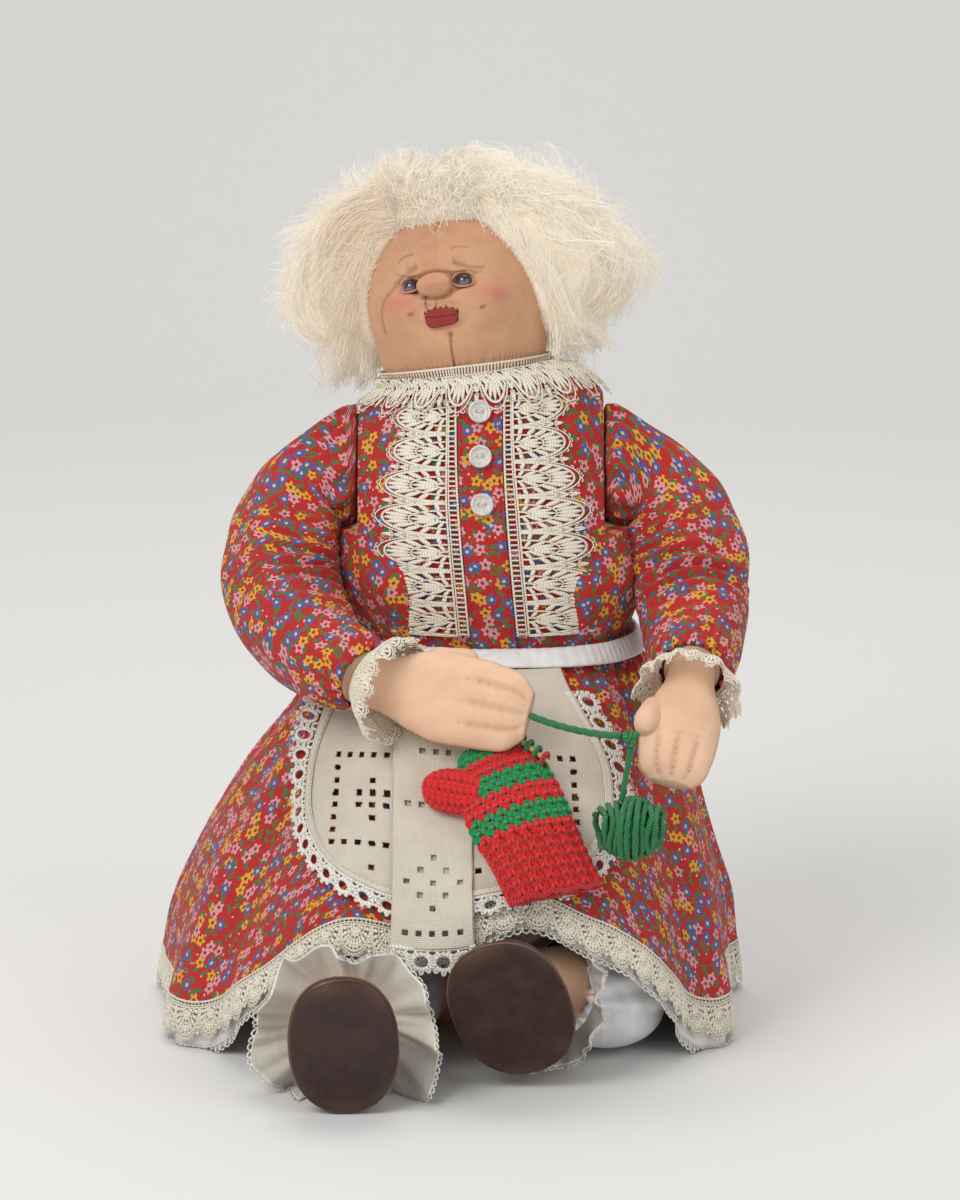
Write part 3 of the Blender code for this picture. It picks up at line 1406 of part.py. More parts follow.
def build_ball(centre, pivot):
    """Ball of yarn: a plain core under one unbroken outer winding."""
    radius = BALL_RADIUS - YARN_DIAMETER / 2
    half = BALL_HALF_LENGTH - YARN_DIAMETER / 2
    pitch = YARN_DIAMETER + YARN_TO_YARN
    half = max(half, pitch * BALL_LOOPS / 2)
    places = []
    count = BALL_LOOPS * 24
    for index in range(count + 1):
        along = -pitch * BALL_LOOPS / 2 + pitch * BALL_LOOPS * index / count
        reach = radius * max(1 - (along / (half * 1.22)) ** 2, 0) ** 0.5
        turn = 2 * math.pi * index / 24
        places.append(centre + Vector((along, reach * math.sin(turn), reach * math.cos(turn))))
    clear = min((a - b).length for i, a in enumerate(places) for b in places[i + 12:])
    print("least gap of the winding to itself (mm):", round((clear - YARN_DIAMETER) * 1000, 3))
    yarn_tube("yarn_ball", places, None, pivot, 1)
    rings = []
    side, rise, along = frame_from(Vector((1, 0, 0)), Vector((0, 1, 0)))
    for share in steps(7, -0.92, 0.92):
        place = share * half
        reach = radius * max(1 - (place / (half * 1.22)) ** 2, 0) ** 0.5
        reach -= YARN_DIAMETER / 2 + GAP * 2
        rings.append(ring_at(centre + along * place, side, rise, reach, reach, 16))
    outward(loft("yarn_ball_core", rings, "green_yarn", pivot))


def main():
    """Build every piece of the doll."""
    for old in list(bpy.data.objects):
        bpy.data.objects.remove(old, do_unlink=True)
    neck = body_empty("neck_joint", neck_pivot())
    head = body_empty("head_joint", neck_pivot())
    shoulders = {sign: body_empty(word + "_shoulder_joint", shoulder_place(sign))
                 for word, sign in SIDES}
    hips = {sign: body_empty(word + "_hip_joint", hip_place(sign)) for word, sign in SIDES}
    mitten = body_empty("mitten_joint", above_waist(MITTEN_PIVOT))
    yarn = body_empty("yarn_ball_joint", above_waist(KNOT_PLACE))
    build_torso()
    build_bodice()
    build_front()
    build_collar(None)
    build_skirt()
    build_apron()
    build_neck(neck)
    build_head(head)
    build_face(head)
    build_wig(head)
    for word, sign in SIDES:
        build_arm(word, sign, shoulders[sign])
        build_leg(word, sign, hips[sign])
    build_needle(mitten)
    build_mitten(mitten)
    build_yarn(shoulders[1], yarn)


main()
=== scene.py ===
"""Looks of the seated cloth grandmother doll with her knitting.

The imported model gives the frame. Every piece here is built in metres in that frame, with the
doll facing -Y, +X on the right of someone who looks at her, and the floor at Z = 0.
"""
import json
import logging
import math
from dataclasses import dataclass, field
from enum import Enum
from typing import Callable, Iterable, Optional, Sequence

import bpy
import numpy as np
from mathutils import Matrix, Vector

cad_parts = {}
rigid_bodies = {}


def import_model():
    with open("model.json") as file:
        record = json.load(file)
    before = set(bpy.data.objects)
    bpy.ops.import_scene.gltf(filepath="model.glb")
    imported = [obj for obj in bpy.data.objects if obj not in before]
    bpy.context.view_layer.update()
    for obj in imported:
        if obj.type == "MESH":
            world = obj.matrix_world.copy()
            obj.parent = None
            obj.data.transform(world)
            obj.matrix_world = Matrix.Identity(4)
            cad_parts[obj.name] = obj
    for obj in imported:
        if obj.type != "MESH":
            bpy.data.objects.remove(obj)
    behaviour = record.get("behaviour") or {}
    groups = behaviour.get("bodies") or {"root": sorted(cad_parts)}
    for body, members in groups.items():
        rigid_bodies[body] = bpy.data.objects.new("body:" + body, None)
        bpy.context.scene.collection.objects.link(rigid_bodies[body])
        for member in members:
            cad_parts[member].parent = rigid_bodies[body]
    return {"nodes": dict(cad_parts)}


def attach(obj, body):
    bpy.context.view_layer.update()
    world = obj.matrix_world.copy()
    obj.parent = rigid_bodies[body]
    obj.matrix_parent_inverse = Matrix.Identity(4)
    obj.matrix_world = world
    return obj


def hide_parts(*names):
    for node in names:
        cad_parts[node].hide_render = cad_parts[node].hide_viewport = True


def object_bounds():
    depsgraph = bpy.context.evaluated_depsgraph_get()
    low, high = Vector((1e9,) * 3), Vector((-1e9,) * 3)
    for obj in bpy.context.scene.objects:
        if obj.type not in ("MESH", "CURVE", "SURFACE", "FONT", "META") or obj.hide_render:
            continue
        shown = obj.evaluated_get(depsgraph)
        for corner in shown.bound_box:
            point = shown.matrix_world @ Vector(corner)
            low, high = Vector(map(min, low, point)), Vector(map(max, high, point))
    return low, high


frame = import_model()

CAD_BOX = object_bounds()
LOG = logging.getLogger("doll")
MM = 0.001
TAU = 2 * math.pi
Array = np.ndarray
Piece = bpy.types.Object
Node = bpy.types.Node
Tree = bpy.types.NodeTree
Socket = bpy.types.NodeSocket
Surface = Callable[[Array, Array], Array]
Table = Sequence[Sequence[float]]
UP = np.array((0.0, 0.0, 1.0))

# Cloth thicknesses and the clearance between pieces that touch, as in the solids
GAP = 0.0003
COTTON = 0.0011
LACE = 0.0009
LINEN = 0.0010
FACET_ALLOWANCE = 0.0009
# How far the print starts from one gore of a skirt to the next, so they don't repeat
GORE_SHIFT = 0.0317
# Share of a surface over which its direction is measured
NORMAL_STEP = 0.002
# Least height of thin cloth and of its edging over the floor
CLOTH_FLOOR = 0.0004
EDGING_FLOOR = 0.0005


class Side(Enum):
    """The doll's sides as seen by someone who looks at her."""

    RIGHT = -1
    LEFT = 1

    @property
    def word(self) -> str:
        """Word that starts the names of this side's pieces."""
        return self.name.lower()


# Numbers
def smooth_step(value: Array) -> Array:
    """Ease from 0 to 1."""
    value = np.clip(value, 0.0, 1.0)
    return value * value * (3 - 2 * value)


def bell(distance: Array) -> Array:
    """Smooth hump: 1 in its middle, fading over a distance of 1."""
    return np.exp(-distance ** 2)


def read_table(table: Table, place: Array) -> list[Array]:
    """Read the columns of a table of shares smoothly between its rows.

    Args:
        table: rows that start with their place.
        place: places to read, of any shape.

    Returns:
        One array for each column after the first.
    """
    rows = np.array(table, float)
    key = rows[:, 0]
    place = np.clip(np.asarray(place, float), key[0], key[-1])
    low = np.clip(np.searchsorted(key[1:], place, side="left"), 0, len(key) - 2)
    high, before = low + 1, np.maximum(low - 1, 0)
    after = np.minimum(low + 2, len(key) - 1)
    span = key[high] - key[low]
    part = (place - key[low]) / span
    values = []
    for column in rows.T[1:]:
        slope_in = (column[high] - column[before]) / (key[high] - key[before])
        slope_out = (column[after] - column[low]) / (key[after] - key[low])
        values.append((2 * part ** 3 - 3 * part ** 2 + 1) * column[low]
                      + (part ** 3 - 2 * part ** 2 + part) * span * slope_in
                      + (3 * part ** 2 - 2 * part ** 3) * column[high]
                      + (part ** 3 - part ** 2) * span * slope_out)
    return values


def outline(turn: Array, half_width: Array, front: Array, back: Array, power: float) -> Array:
    """Points of a rounded outline: turn 0 faces the front and grows toward +X."""
    sine, cosine = np.sin(turn), np.cos(turn)
    x = half_width * np.sign(sine) * np.abs(sine) ** (2 / power)
    depth = np.where(cosine > 0, front, back)
    y = -depth * np.sign(cosine) * np.abs(cosine) ** (2 / power)
    return np.stack([x, y, np.zeros_like(x + y)], -1)


def ring_turns(sides: int) -> Array:
    """Angles of evenly spaced points round a ring."""
    return np.arange(sides) * TAU / sides


def unit(vectors: Array) -> Array:
    """Vectors at length one."""
    return vectors / np.maximum(np.linalg.norm(vectors, axis=-1, keepdims=True), 1e-12)


def normal_at(surface: Surface, turn: Array, share: Array) -> Array:
    """Outward normals of a surface."""
    turn, share = np.broadcast_arrays(np.asarray(turn, float), np.asarray(share, float))
    low, high = np.maximum(share - NORMAL_STEP, 0), np.minimum(share + NORMAL_STEP, 1)
    across = surface(turn + NORMAL_STEP, share) - surface(turn - NORMAL_STEP, share)
    along = surface(turn, high) - surface(turn, low)
    return unit(np.cross(across, along))


def lifted(surface: Surface, turn: Array, share: Array, offset: Array) -> Array:
    """Points that stand off a surface along its outward normal."""
    turn, share = np.broadcast_arrays(np.asarray(turn, float), np.asarray(share, float))
    offset = np.broadcast_to(np.asarray(offset, float), turn.shape)
    return surface(turn, share) + normal_at(surface, turn, share) * offset[..., None]


def wobble(place: Array, seed: int, waves: int = 5, low: float = 1.0, high: float = 4.0) -> Array:
    """Smooth uneven wave between about -1 and 1, the same on every run.

    Args:
        place: positions, where 1 is one unit of the pattern.
        seed: which wave.
        waves: how many sines are added up.
        low: least number of cycles in a unit.
        high: greatest number of cycles in a unit.

    Returns:
        One height for each position.
    """
    source = np.random.default_rng(seed)
    cycles = source.uniform(low, high, waves)
    shifts = source.uniform(0, TAU, waves)
    heights = sum(np.sin(TAU * c * place + s) for c, s in zip(cycles, shifts))
    return heights / math.sqrt(waves)


def rumple(points: Array, size: float, seed: int, waves: int = 9) -> Array:
    """Soft uneven height over points in space, whose bumps are about a size across."""
    source = np.random.default_rng(seed)
    total = np.zeros(points.shape[:-1])
    for _ in range(waves):
        way = source.normal(size=3)
        way /= np.linalg.norm(way)
        total += np.sin(points @ way * TAU / (size * source.uniform(1.2, 2.6))
                        + source.uniform(0, TAU))
    return total / math.sqrt(waves)


def spine(points: Sequence[Sequence[float]], share: Array) -> Array:
    """Points of a smooth curve through given points."""
    route = np.array([tuple(p) for p in points], float)
    route = np.vstack([2 * route[0] - route[1], route, 2 * route[-1] - route[-2]])
    scaled = np.asarray(share, float) * (len(route) - 3)
    index = np.clip(scaled.astype(int), 0, len(route) - 4)
    part = (scaled - index)[..., None]
    before, low, high, after = (route[index + step] for step in range(4))
    return 0.5 * (2 * low + (high - before) * part
                  + (2 * before - 5 * low + 4 * high - after) * part ** 2
                  + (3 * low - before - 3 * high + after) * part ** 3)


def spine_way(points: Sequence[Sequence[float]], share: Array) -> Array:
    """Directions of that curve."""
    share = np.asarray(share, float)
    low, high = np.maximum(share - NORMAL_STEP, 0), np.minimum(share + NORMAL_STEP, 1)
    return unit(spine(points, high) - spine(points, low))


def frame_from(forward: Array, side_hint: Array) -> tuple[Array, Array, Array]:
    """Right-handed frame whose third axis runs forward."""
    forward = unit(np.asarray(forward, float))
    hint = np.asarray(side_hint, float)
    side = unit(hint - forward * np.sum(hint * forward, -1, keepdims=True))
    return side, np.cross(forward, side), forward


# Meshes
def lengths_along(points: Array, axis: int) -> Array:
    """Running length over a grid of points along one of its axes, from 0."""
    gaps = np.linalg.norm(np.diff(points, axis=axis), axis=-1)
    start = np.zeros_like(np.take(gaps, [0], axis=axis))
    return np.concatenate([start, np.cumsum(gaps, axis=axis)], axis=axis)


def mesh_object(name: str, points: Array, quads: Array, uv: Optional[Array] = None,
                triangles: Optional[Array] = None) -> Piece:
    """Make an object from points and faces.

    Args:
        name: the object's name.
        points: vertices, in metres.
        quads: rows of four vertex numbers.
        uv: pattern coordinates in millimetres, a pair for each corner of the quads.
        triangles: rows of three vertex numbers.

    Returns:
        The new object, shaded smooth.
    """
    triangles = np.zeros((0, 3), int) if triangles is None else np.asarray(triangles, int)
    mesh = bpy.data.meshes.new(name)
    points = np.asarray(points, np.float32).reshape(-1, 3)
    corners = np.concatenate([quads.ravel(), triangles.ravel()]).astype(np.int32)
    starts = np.concatenate([np.arange(len(quads)) * 4,
                             len(quads) * 4 + np.arange(len(triangles)) * 3]).astype(np.int32)
    mesh.vertices.add(len(points))
    mesh.vertices.foreach_set("co", points.ravel())
    mesh.loops.add(len(corners))
    mesh.loops.foreach_set("vertex_index", corners)
    mesh.polygons.add(len(starts))
    mesh.polygons.foreach_set("loop_start", starts)
    if uv is not None:
        pairs = np.zeros((len(corners), 2), np.float32)
        pairs[:len(uv)] = uv
        if len(triangles):
            known = np.zeros((len(points), 2), np.float32)
            known[corners[:len(uv)]] = uv
            pairs[len(uv):] = known[triangles.ravel()]
        mesh.uv_layers.new(name="millimetres").data.foreach_set("uv", pairs.ravel())
    mesh.update(calc_edges=True)
    mesh.validate()
    mesh.shade_smooth()
    made = bpy.data.objects.new(name, mesh)
    bpy.context.collection.objects.link(made)
    return made


@dataclass
class Grid:
    """Grid of points over a piece of cloth, with rows that run upward or outward.

    The pattern coordinates are real lengths along the rows, measured from one column, or in
    cloth of several gores from the middle of each, so a print keeps its shape where it widens.
    """

    points: Array
    wrap: bool = False
    zero_column: int = 0
    gores: int = 1

    @property
    def rows(self) -> int:
        """Number of rows."""
        return self.points.shape[0]

    @property
    def columns(self) -> int:
        """Number of columns."""
        return self.points.shape[1]

    def closed(self) -> Array:
        """Points with the first column again at the end where the rows are rings."""
        if not self.wrap:
            return self.points
        return np.concatenate([self.points, self.points[:, :1]], axis=1)

    def pattern(self) -> Array:
        """Pattern coordinates in millimetres of the four corners of each face."""
        whole = self.closed()
        u, v = lengths_along(whole, 1), lengths_along(whole, 0).mean(axis=1)
        row = np.arange(self.rows - 1)[:, None]
        column = np.arange(whole.shape[1] - 1)[None, :]
        gore = np.round((column + 0.5) * self.gores / self.columns).astype(int)
        middle = gore * self.columns // self.gores if self.gores > 1 else self.zero_column
        shift = gore % self.gores * GORE_SHIFT
        corners = [(u[row + up, column + on] - u[row + up, middle] + shift,
                    np.broadcast_to(v[row + up], (self.rows - 1, column.size)))
                   for up, on in ((0, 0), (0, 1), (1, 1), (1, 0))]
        return np.stack([np.stack(pair, -1) for pair in corners], 2).reshape(-1, 4, 2) / MM

    def flat_size(self) -> tuple[float, float]:
        """Width and length to which the cloth was cut, in metres."""
        whole = self.closed()
        return (float(lengths_along(whole, 1)[:, -1].mean()),
                float(lengths_along(whole, 0)[-1].mean()))

    def quads(self) -> Array:
        """Faces, as vertex numbers."""
        row = np.arange(self.rows - 1)[:, None]
        column = np.arange(self.columns if self.wrap else self.columns - 1)[None, :]
        following = (column + 1) % self.columns
        return np.stack([row * self.columns + column, row * self.columns + following,
                         (row + 1) * self.columns + following,
                         (row + 1) * self.columns + column], -1).reshape(-1, 4)

    def normals(self) -> Array:
        """Normals of the grid's points, which face out of the doll."""
        whole = self.points
        if self.wrap:
            whole = np.concatenate([whole[:, -1:], whole, whole[:, :1]], axis=1)
        across = np.gradient(whole, axis=1)
        along = np.gradient(whole, axis=0)
        found = unit(np.cross(across, along))
        return found[:, 1:-1] if self.wrap else found

    def shifted(self, offset: Array) -> "Grid":
        """Same grid moved along its normals."""
        offset = np.broadcast_to(np.asarray(offset, float), self.points.shape[:2])
        return Grid(self.points + self.normals() * offset[..., None], self.wrap,
                    self.zero_column, self.gores)

    def sheet(self, name: str, thickness: float, keep: Optional[Array] = None) -> Piece:
        """Closed sheet of cloth whose outer face is the grid.

        Args:
            name: the object's name.
            thickness: of the cloth, in metres.
            keep: for each face, whether it is there; the rest are holes.

        Returns:
            The object.
        """
        outer, inner = self.points, self.shifted(-thickness).points
        faces, pattern = self.quads(), self.pattern()
        if keep is not None:
            faces, pattern = faces[keep.ravel()], pattern[keep.ravel()]
        count = self.rows * self.columns
        edges = np.concatenate([faces[:, [i, (i + 1) % 4]] for i in range(4)])
        edge_pattern = np.concatenate([pattern[:, [i, (i + 1) % 4]] for i in range(4)])
        key = edges.min(1) * (2 * count) + edges.max(1)
        first, number = np.unique(key, return_index=True, return_counts=True)[1:]
        rim = first[number == 1]
        rims = np.stack([edges[rim, 1], edges[rim, 0], edges[rim, 0] + count,
                         edges[rim, 1] + count], -1)
        all_faces = np.concatenate([faces, faces[:, ::-1] + count, rims])
        uv = np.concatenate([pattern, pattern[:, ::-1], edge_pattern[rim][:, [1, 0, 0, 1]]])
        points = np.concatenate([outer.reshape(-1, 3), inner.reshape(-1, 3)])
        used = np.zeros(len(points), bool)
        used[all_faces.ravel()] = True
        renumber = np.cumsum(used) - 1
        return mesh_object(name, points[used], renumber[all_faces], uv.reshape(-1, 2))

    def skin(self, name: str, start_tip: Optional[Array] = None,
             end_tip: Optional[Array] = None) -> Piece:
        """Closed form over the grid's rings, with its ends drawn in to points."""
        points = self.points.reshape(-1, 3)
        triangles = []
        for tip, row in ((start_tip, 0), (end_tip, self.rows - 1)):
            centre = self.points[row].mean(axis=0) if tip is None else np.asarray(tip)
            points = np.concatenate([points, centre[None]])
            ring = row * self.columns + np.arange(self.columns)
            pair = np.stack([ring, np.roll(ring, -1)], -1)
            pair = pair[:, ::-1] if row == 0 else pair
            triangles.append(np.column_stack([np.full(len(pair), len(points) - 1), pair]))
        return mesh_object(name, points, self.quads(), self.pattern().reshape(-1, 2),
                           np.concatenate(triangles))


def paint(made: Piece, name: str, values: Array) -> None:
    """Store a value at each vertex, for a material to read."""
    layer = made.data.attributes.new(name, "FLOAT", "POINT")
    layer.data.foreach_set("value", np.asarray(values, np.float32).ravel())


def vertices_of(made: Piece) -> Array:
    """Vertices of an object."""
    flat = np.empty(len(made.data.vertices) * 3, np.float32)
    made.data.vertices.foreach_get("co", flat)
    return flat.reshape(-1, 3).astype(float)


def keep_above(made: Piece, height: float) -> None:
    """Move an object's vertices that lie lower than a height up to it."""
    points = vertices_of(made)
    points[:, 2] = np.maximum(points[:, 2], height)
    made.data.vertices.foreach_set("co", points.ravel())


@dataclass
class Strand:
    """One thread of a pattern: its points in millimetres on a patch, and its section.

    Width and lift may be one number or one for each point.
    """

    path: Array
    width: float | Array
    thickness: float
    lift: float | Array = 0.0


class Patch:
    """Place of a band or panel: maps millimetres along and across it onto the doll."""

    def __init__(self, grid: Grid) -> None:
        """Keep a grid whose rows run across the band, from its inner to its outer edge.

        Args:
            grid: the band's points, fine enough to be joined by straight lines.
        """
        self.grid = grid
        self.points = grid.closed()
        found = grid.normals()
        self.facing = np.concatenate([found, found[:, :1]], axis=1) if grid.wrap else found
        middle = self.points[self.points.shape[0] // 2]
        self.along = lengths_along(middle[None], 1)[0] / MM
        self.across = lengths_along(self.points, 0).mean(axis=1) / MM

    @property
    def length(self) -> float:
        """Length of the band in millimetres."""
        return float(self.along[-1])

    @property
    def width(self) -> float:
        """Width of the band in millimetres."""
        return float(self.across[-1])

    def at(self, u: Array, v: Array) -> tuple[Array, Array]:
        """Points and normals of the band.

        Args:
            u: millimetres along the band; past the end of a ring it goes on round.
            v: millimetres across the band.

        Returns:
            Points in metres, and the normals there.
        """
        u = np.mod(u, self.length) if self.grid.wrap else np.clip(u, 0, self.length)
        column = np.interp(u, self.along, np.arange(len(self.along)))
        row = np.interp(v, self.across, np.arange(len(self.across)))
        past = np.where(v > self.width, v - self.width, np.minimum(v, 0.0))
        c0 = np.clip(column.astype(int), 0, self.points.shape[1] - 2)
        r0 = np.clip(row.astype(int), 0, self.points.shape[0] - 2)
        fc, fr = (column - c0)[..., None], (row - r0)[..., None]

        def mix(values: Array) -> Array:
            """Values between the four grid points round each place."""
            low = values[r0, c0] * (1 - fc) + values[r0, c0 + 1] * fc
            high = values[r0 + 1, c0] * (1 - fc) + values[r0 + 1, c0 + 1] * fc
            return low * (1 - fr) + high * fr

        outward = unit(self.points[r0 + 1, c0] - self.points[r0, c0])
        return mix(self.points) + outward * past[..., None] * MM, unit(mix(self.facing))

    def weave(self, name: str, strands: Iterable[Strand], sides: int = 6) -> Piece:
        """Thread tubes over the patch, as one mesh.

        Args:
            name: the object's name.
            strands: the threads.
            sides: facets round each thread.

        Returns:
            The object, whose pattern coordinates run along and round each thread.
        """
        points, faces, uv, start = [], [], [], 0
        turns = ring_turns(sides)
        for strand in strands:
            path = np.asarray(strand.path, float)
            place, facing = self.at(path[:, 0], path[:, 1])
            facing = np.asarray(facing)
            place = place + facing * (np.asarray(strand.lift) * MM * np.ones(len(path)))[:, None]
            way = unit(np.gradient(place, axis=0))
            sideways = unit(np.cross(way, facing))
            lift = np.cross(sideways, way)
            half = (np.asarray(strand.width) * MM / 2 * np.ones(len(path)))[:, None, None]
            ring = (place[:, None] + sideways[:, None] * np.cos(turns)[None, :, None] * half
                    + lift[:, None] * np.sin(turns)[None, :, None] * strand.thickness * MM / 2)
            grid = Grid(ring, True)
            count = len(path)
            faces.append(grid.quads() + start)
            run = lengths_along(place[None], 1)[0] / MM
            row = np.arange(count - 1)[:, None]
            column = np.arange(sides)[None, :]
            u = np.stack([run[row + 0 * column], run[row + 0 * column],
                          run[row + 1 + 0 * column], run[row + 1 + 0 * column]], -1)
            v = np.stack([column + 0 * row, column + 1 + 0 * row, column + 1 + 0 * row,
                          column + 0 * row], -1) / sides
            uv.append(np.stack([u, v], -1).reshape(-1, 2))
            points.append(ring.reshape(-1, 3))
            for end_row, flip in ((0, True), (count - 1, False)):
                ring_numbers = start + end_row * sides + np.arange(sides)
                if sides % 2 == 0:
                    half_sides = sides // 2
                    strip = [[ring_numbers[i], ring_numbers[i + 1],
                              ring_numbers[(-i - 2) % sides], ring_numbers[(-i - 1) % sides]]
                             for i in range(half_sides - 1)]
                    strip = np.array(strip)
                    faces.append(strip[:, ::-1] if flip else strip)
                    uv.append(np.zeros((strip.size, 2)))
            start += count * sides
        return mesh_object(name, np.concatenate(points), np.concatenate(faces),
                           np.concatenate(uv))


# Finishes
MATH = "ShaderNodeMath"
VECTOR = "ShaderNodeVectorMath"
NOISE = "ShaderNodeTexNoise"
VORONOI = "ShaderNodeTexVoronoi"
MIX = "ShaderNodeMix"
RANGE = "ShaderNodeMapRange"
ATTRIBUTE = "ShaderNodeAttribute"
BUMP = "ShaderNodeBump"
SOCKET_A, SOCKET_B = 6, 7


def linear(hex_colour: str) -> tuple[float, float, float, float]:
    """Turn an sRGB hex colour to linear light with full alpha."""
    channels = [int(hex_colour[i:i + 2], 16) / 255 for i in (1, 3, 5)]
    return tuple(c / 12.92 if c <= 0.04045 else ((c + 0.055) / 1.055) ** 2.4
                 for c in channels) + (1.0,)


def add_node(tree: Tree, kind: str, inputs: Optional[dict] = None,
             **settings: object) -> Node:
    """Add a node.

    Args:
        tree: where it goes.
        kind: the node's type.
        inputs: by socket name or number, a value or the socket that feeds it.
        settings: the node's own properties.

    Returns:
        The node.
    """
    node = tree.nodes.new(kind)
    for name, value in settings.items():
        setattr(node, name, value)
    for socket, value in (inputs or {}).items():
        if isinstance(value, Socket):
            tree.links.new(value, node.inputs[socket])
        else:
            node.inputs[socket].default_value = value
    return node


def blend_colours(tree: Tree, share: Socket, low: object,
                  high: object, mode: str = "MIX") -> Socket:
    """Colour that goes from one to another as a share goes from 0 to 1."""
    low = linear(low) if isinstance(low, str) else low
    high = linear(high) if isinstance(high, str) else high
    mixed = add_node(tree, MIX, {0: share, SOCKET_A: low, SOCKET_B: high}, data_type="RGBA",
                     blend_type=mode)
    return mixed.outputs[2]


def thread_relief(tree: Tree, place: Socket,
                  spacing_mm: float) -> Socket:
    """Height of a plain weave whose threads lie a spacing apart."""
    split = add_node(tree, "ShaderNodeSeparateXYZ", {0: place})
    waves = []
    for axis in (0, 1):
        turned = add_node(tree, MATH, {0: split.outputs[axis], 1: math.pi / spacing_mm},
                          operation="MULTIPLY")
        wave = add_node(tree, MATH, {0: turned.outputs[0]}, operation="SINE")
        waves.append(add_node(tree, MATH, {0: wave.outputs[0]}, operation="ABSOLUTE").outputs[0])
    return add_node(tree, MATH, {0: waves[0], 1: waves[1]}, operation="MULTIPLY").outputs[0]


def slub_relief(tree: Tree, place: Socket, spacing_mm: float,
                length_mm: float) -> Socket:
    """Uneven thick and thin threads of hand-spun cloth, running both ways."""
    streaks = []
    for scales in ((1 / length_mm, 1 / spacing_mm, 1), (1 / spacing_mm, 1 / length_mm, 1)):
        stretched = add_node(tree, VECTOR, {0: place, 1: scales}, operation="MULTIPLY")
        streaks.append(add_node(tree, NOISE, {"Vector": stretched.outputs[0], "Scale": 1.0,
                                              "Detail": 2.0}).outputs[0])
    return add_node(tree, MATH, {0: streaks[0], 1: streaks[1]}, operation="ADD").outputs[0]


@dataclass(frozen=True)
class Finish:
    """A material: its colour, how it shines, and the slot of the record it stands for."""

    name: str
    slot: str
    colour: str
    roughness: float = 0.85
    ior: float = 1.5
    sheen: float = 0.0
    subsurface: float = 0.0
    bump_mm: float = 0.12

    def material(self) -> bpy.types.Material:
        """The material, made on its first use."""
        found = bpy.data.materials.get(self.name)
        if found is not None:
            return found
        made = bpy.data.materials.new(self.name)
        made.use_nodes = True
        tree = made.node_tree
        shader = tree.nodes["Principled BSDF"]
        shader.inputs["Base Color"].default_value = linear(self.colour)
        shader.inputs["Roughness"].default_value = self.roughness
        shader.inputs["IOR"].default_value = self.ior
        shader.inputs["Sheen Weight"].default_value = self.sheen
        shader.inputs["Sheen Roughness"].default_value = 0.5
        if self.subsurface:
            shader.inputs["Subsurface Weight"].default_value = self.subsurface
            shader.inputs["Subsurface Scale"].default_value = 1.5 * MM
        self.dress(tree, shader)
        return made

    def dress(self, tree: Tree, shader: Node) -> None:
        """Add what makes this finish more than one flat colour."""
        raise NotImplementedError

    def place(self, tree: Tree) -> Socket:
        """Pattern coordinates in millimetres."""
        return add_node(tree, "ShaderNodeUVMap", uv_map="millimetres").outputs[0]

    def relief(self, tree: Tree, shader: Node,
               height: Socket, strength: float = 1.0) -> None:
        """Feed a height between 0 and 1 to the shader as a bump of this finish's depth."""
        bump = add_node(tree, BUMP, {"Strength": strength, "Distance": self.bump_mm * MM,
                                     "Height": height})
        tree.links.new(bump.outputs[0], shader.inputs["Normal"])

    def give(self, *pieces: Piece) -> None:
        """Put the finish on pieces."""
        for piece in pieces:
            piece.data.materials.clear()
            piece.data.materials.append(self.material())


@dataclass(frozen=True)
class PlainWeave(Finish):
    """Plain-woven cloth: a grid of crossing threads, some thicker, with soft shade changes."""

    thread_mm: float = 0.55
    slub: float = 0.5
    slub_length_mm: float = 9.0
    shade: str = "#B08060"
    shade_share: float = 0.35
    # colour of the painted shade in creases and where parts meet, read from the vertices
    soil: str = ""

    def dress(self, tree: Tree, shader: Node) -> None:
        """Weave relief, thread-by-thread colour, cloudy shade, and painted shade read from the
        vertices.
        """
        place = self.place(tree)
        weave = thread_relief(tree, place, self.thread_mm)
        slubs = slub_relief(tree, place, self.thread_mm * 1.6, self.slub_length_mm)
        height = add_node(tree, MATH, {0: slubs, 1: self.slub, 2: weave},
                          operation="MULTIPLY_ADD").outputs[0]
        self.relief(tree, shader, height)
        cloud = add_node(tree, NOISE, {"Vector": place, "Scale": 0.09, "Detail": 4.0})
        share = add_node(tree, RANGE, {0: cloud.outputs[0], 1: 0.35, 2: 0.75, 3: 0.0,
                                       4: self.shade_share})
        colour = blend_colours(tree, share.outputs[0], self.colour, self.shade)
        threads = add_node(tree, RANGE, {0: slubs, 1: 0.7, 2: 1.35, 3: 0.16, 4: 0.0})
        colour = blend_colours(tree, threads.outputs[0], colour, self.shade)
        # painted shade: where a piece's vertices carry a share of it, the colour darkens toward
        # this shade colour
        if self.soil:
            painted_shade_share = add_node(tree, ATTRIBUTE, attribute_name="soil")
            colour = blend_colours(tree, painted_shade_share.outputs["Fac"], colour, self.soil)
        tree.links.new(colour, shader.inputs["Base Color"])


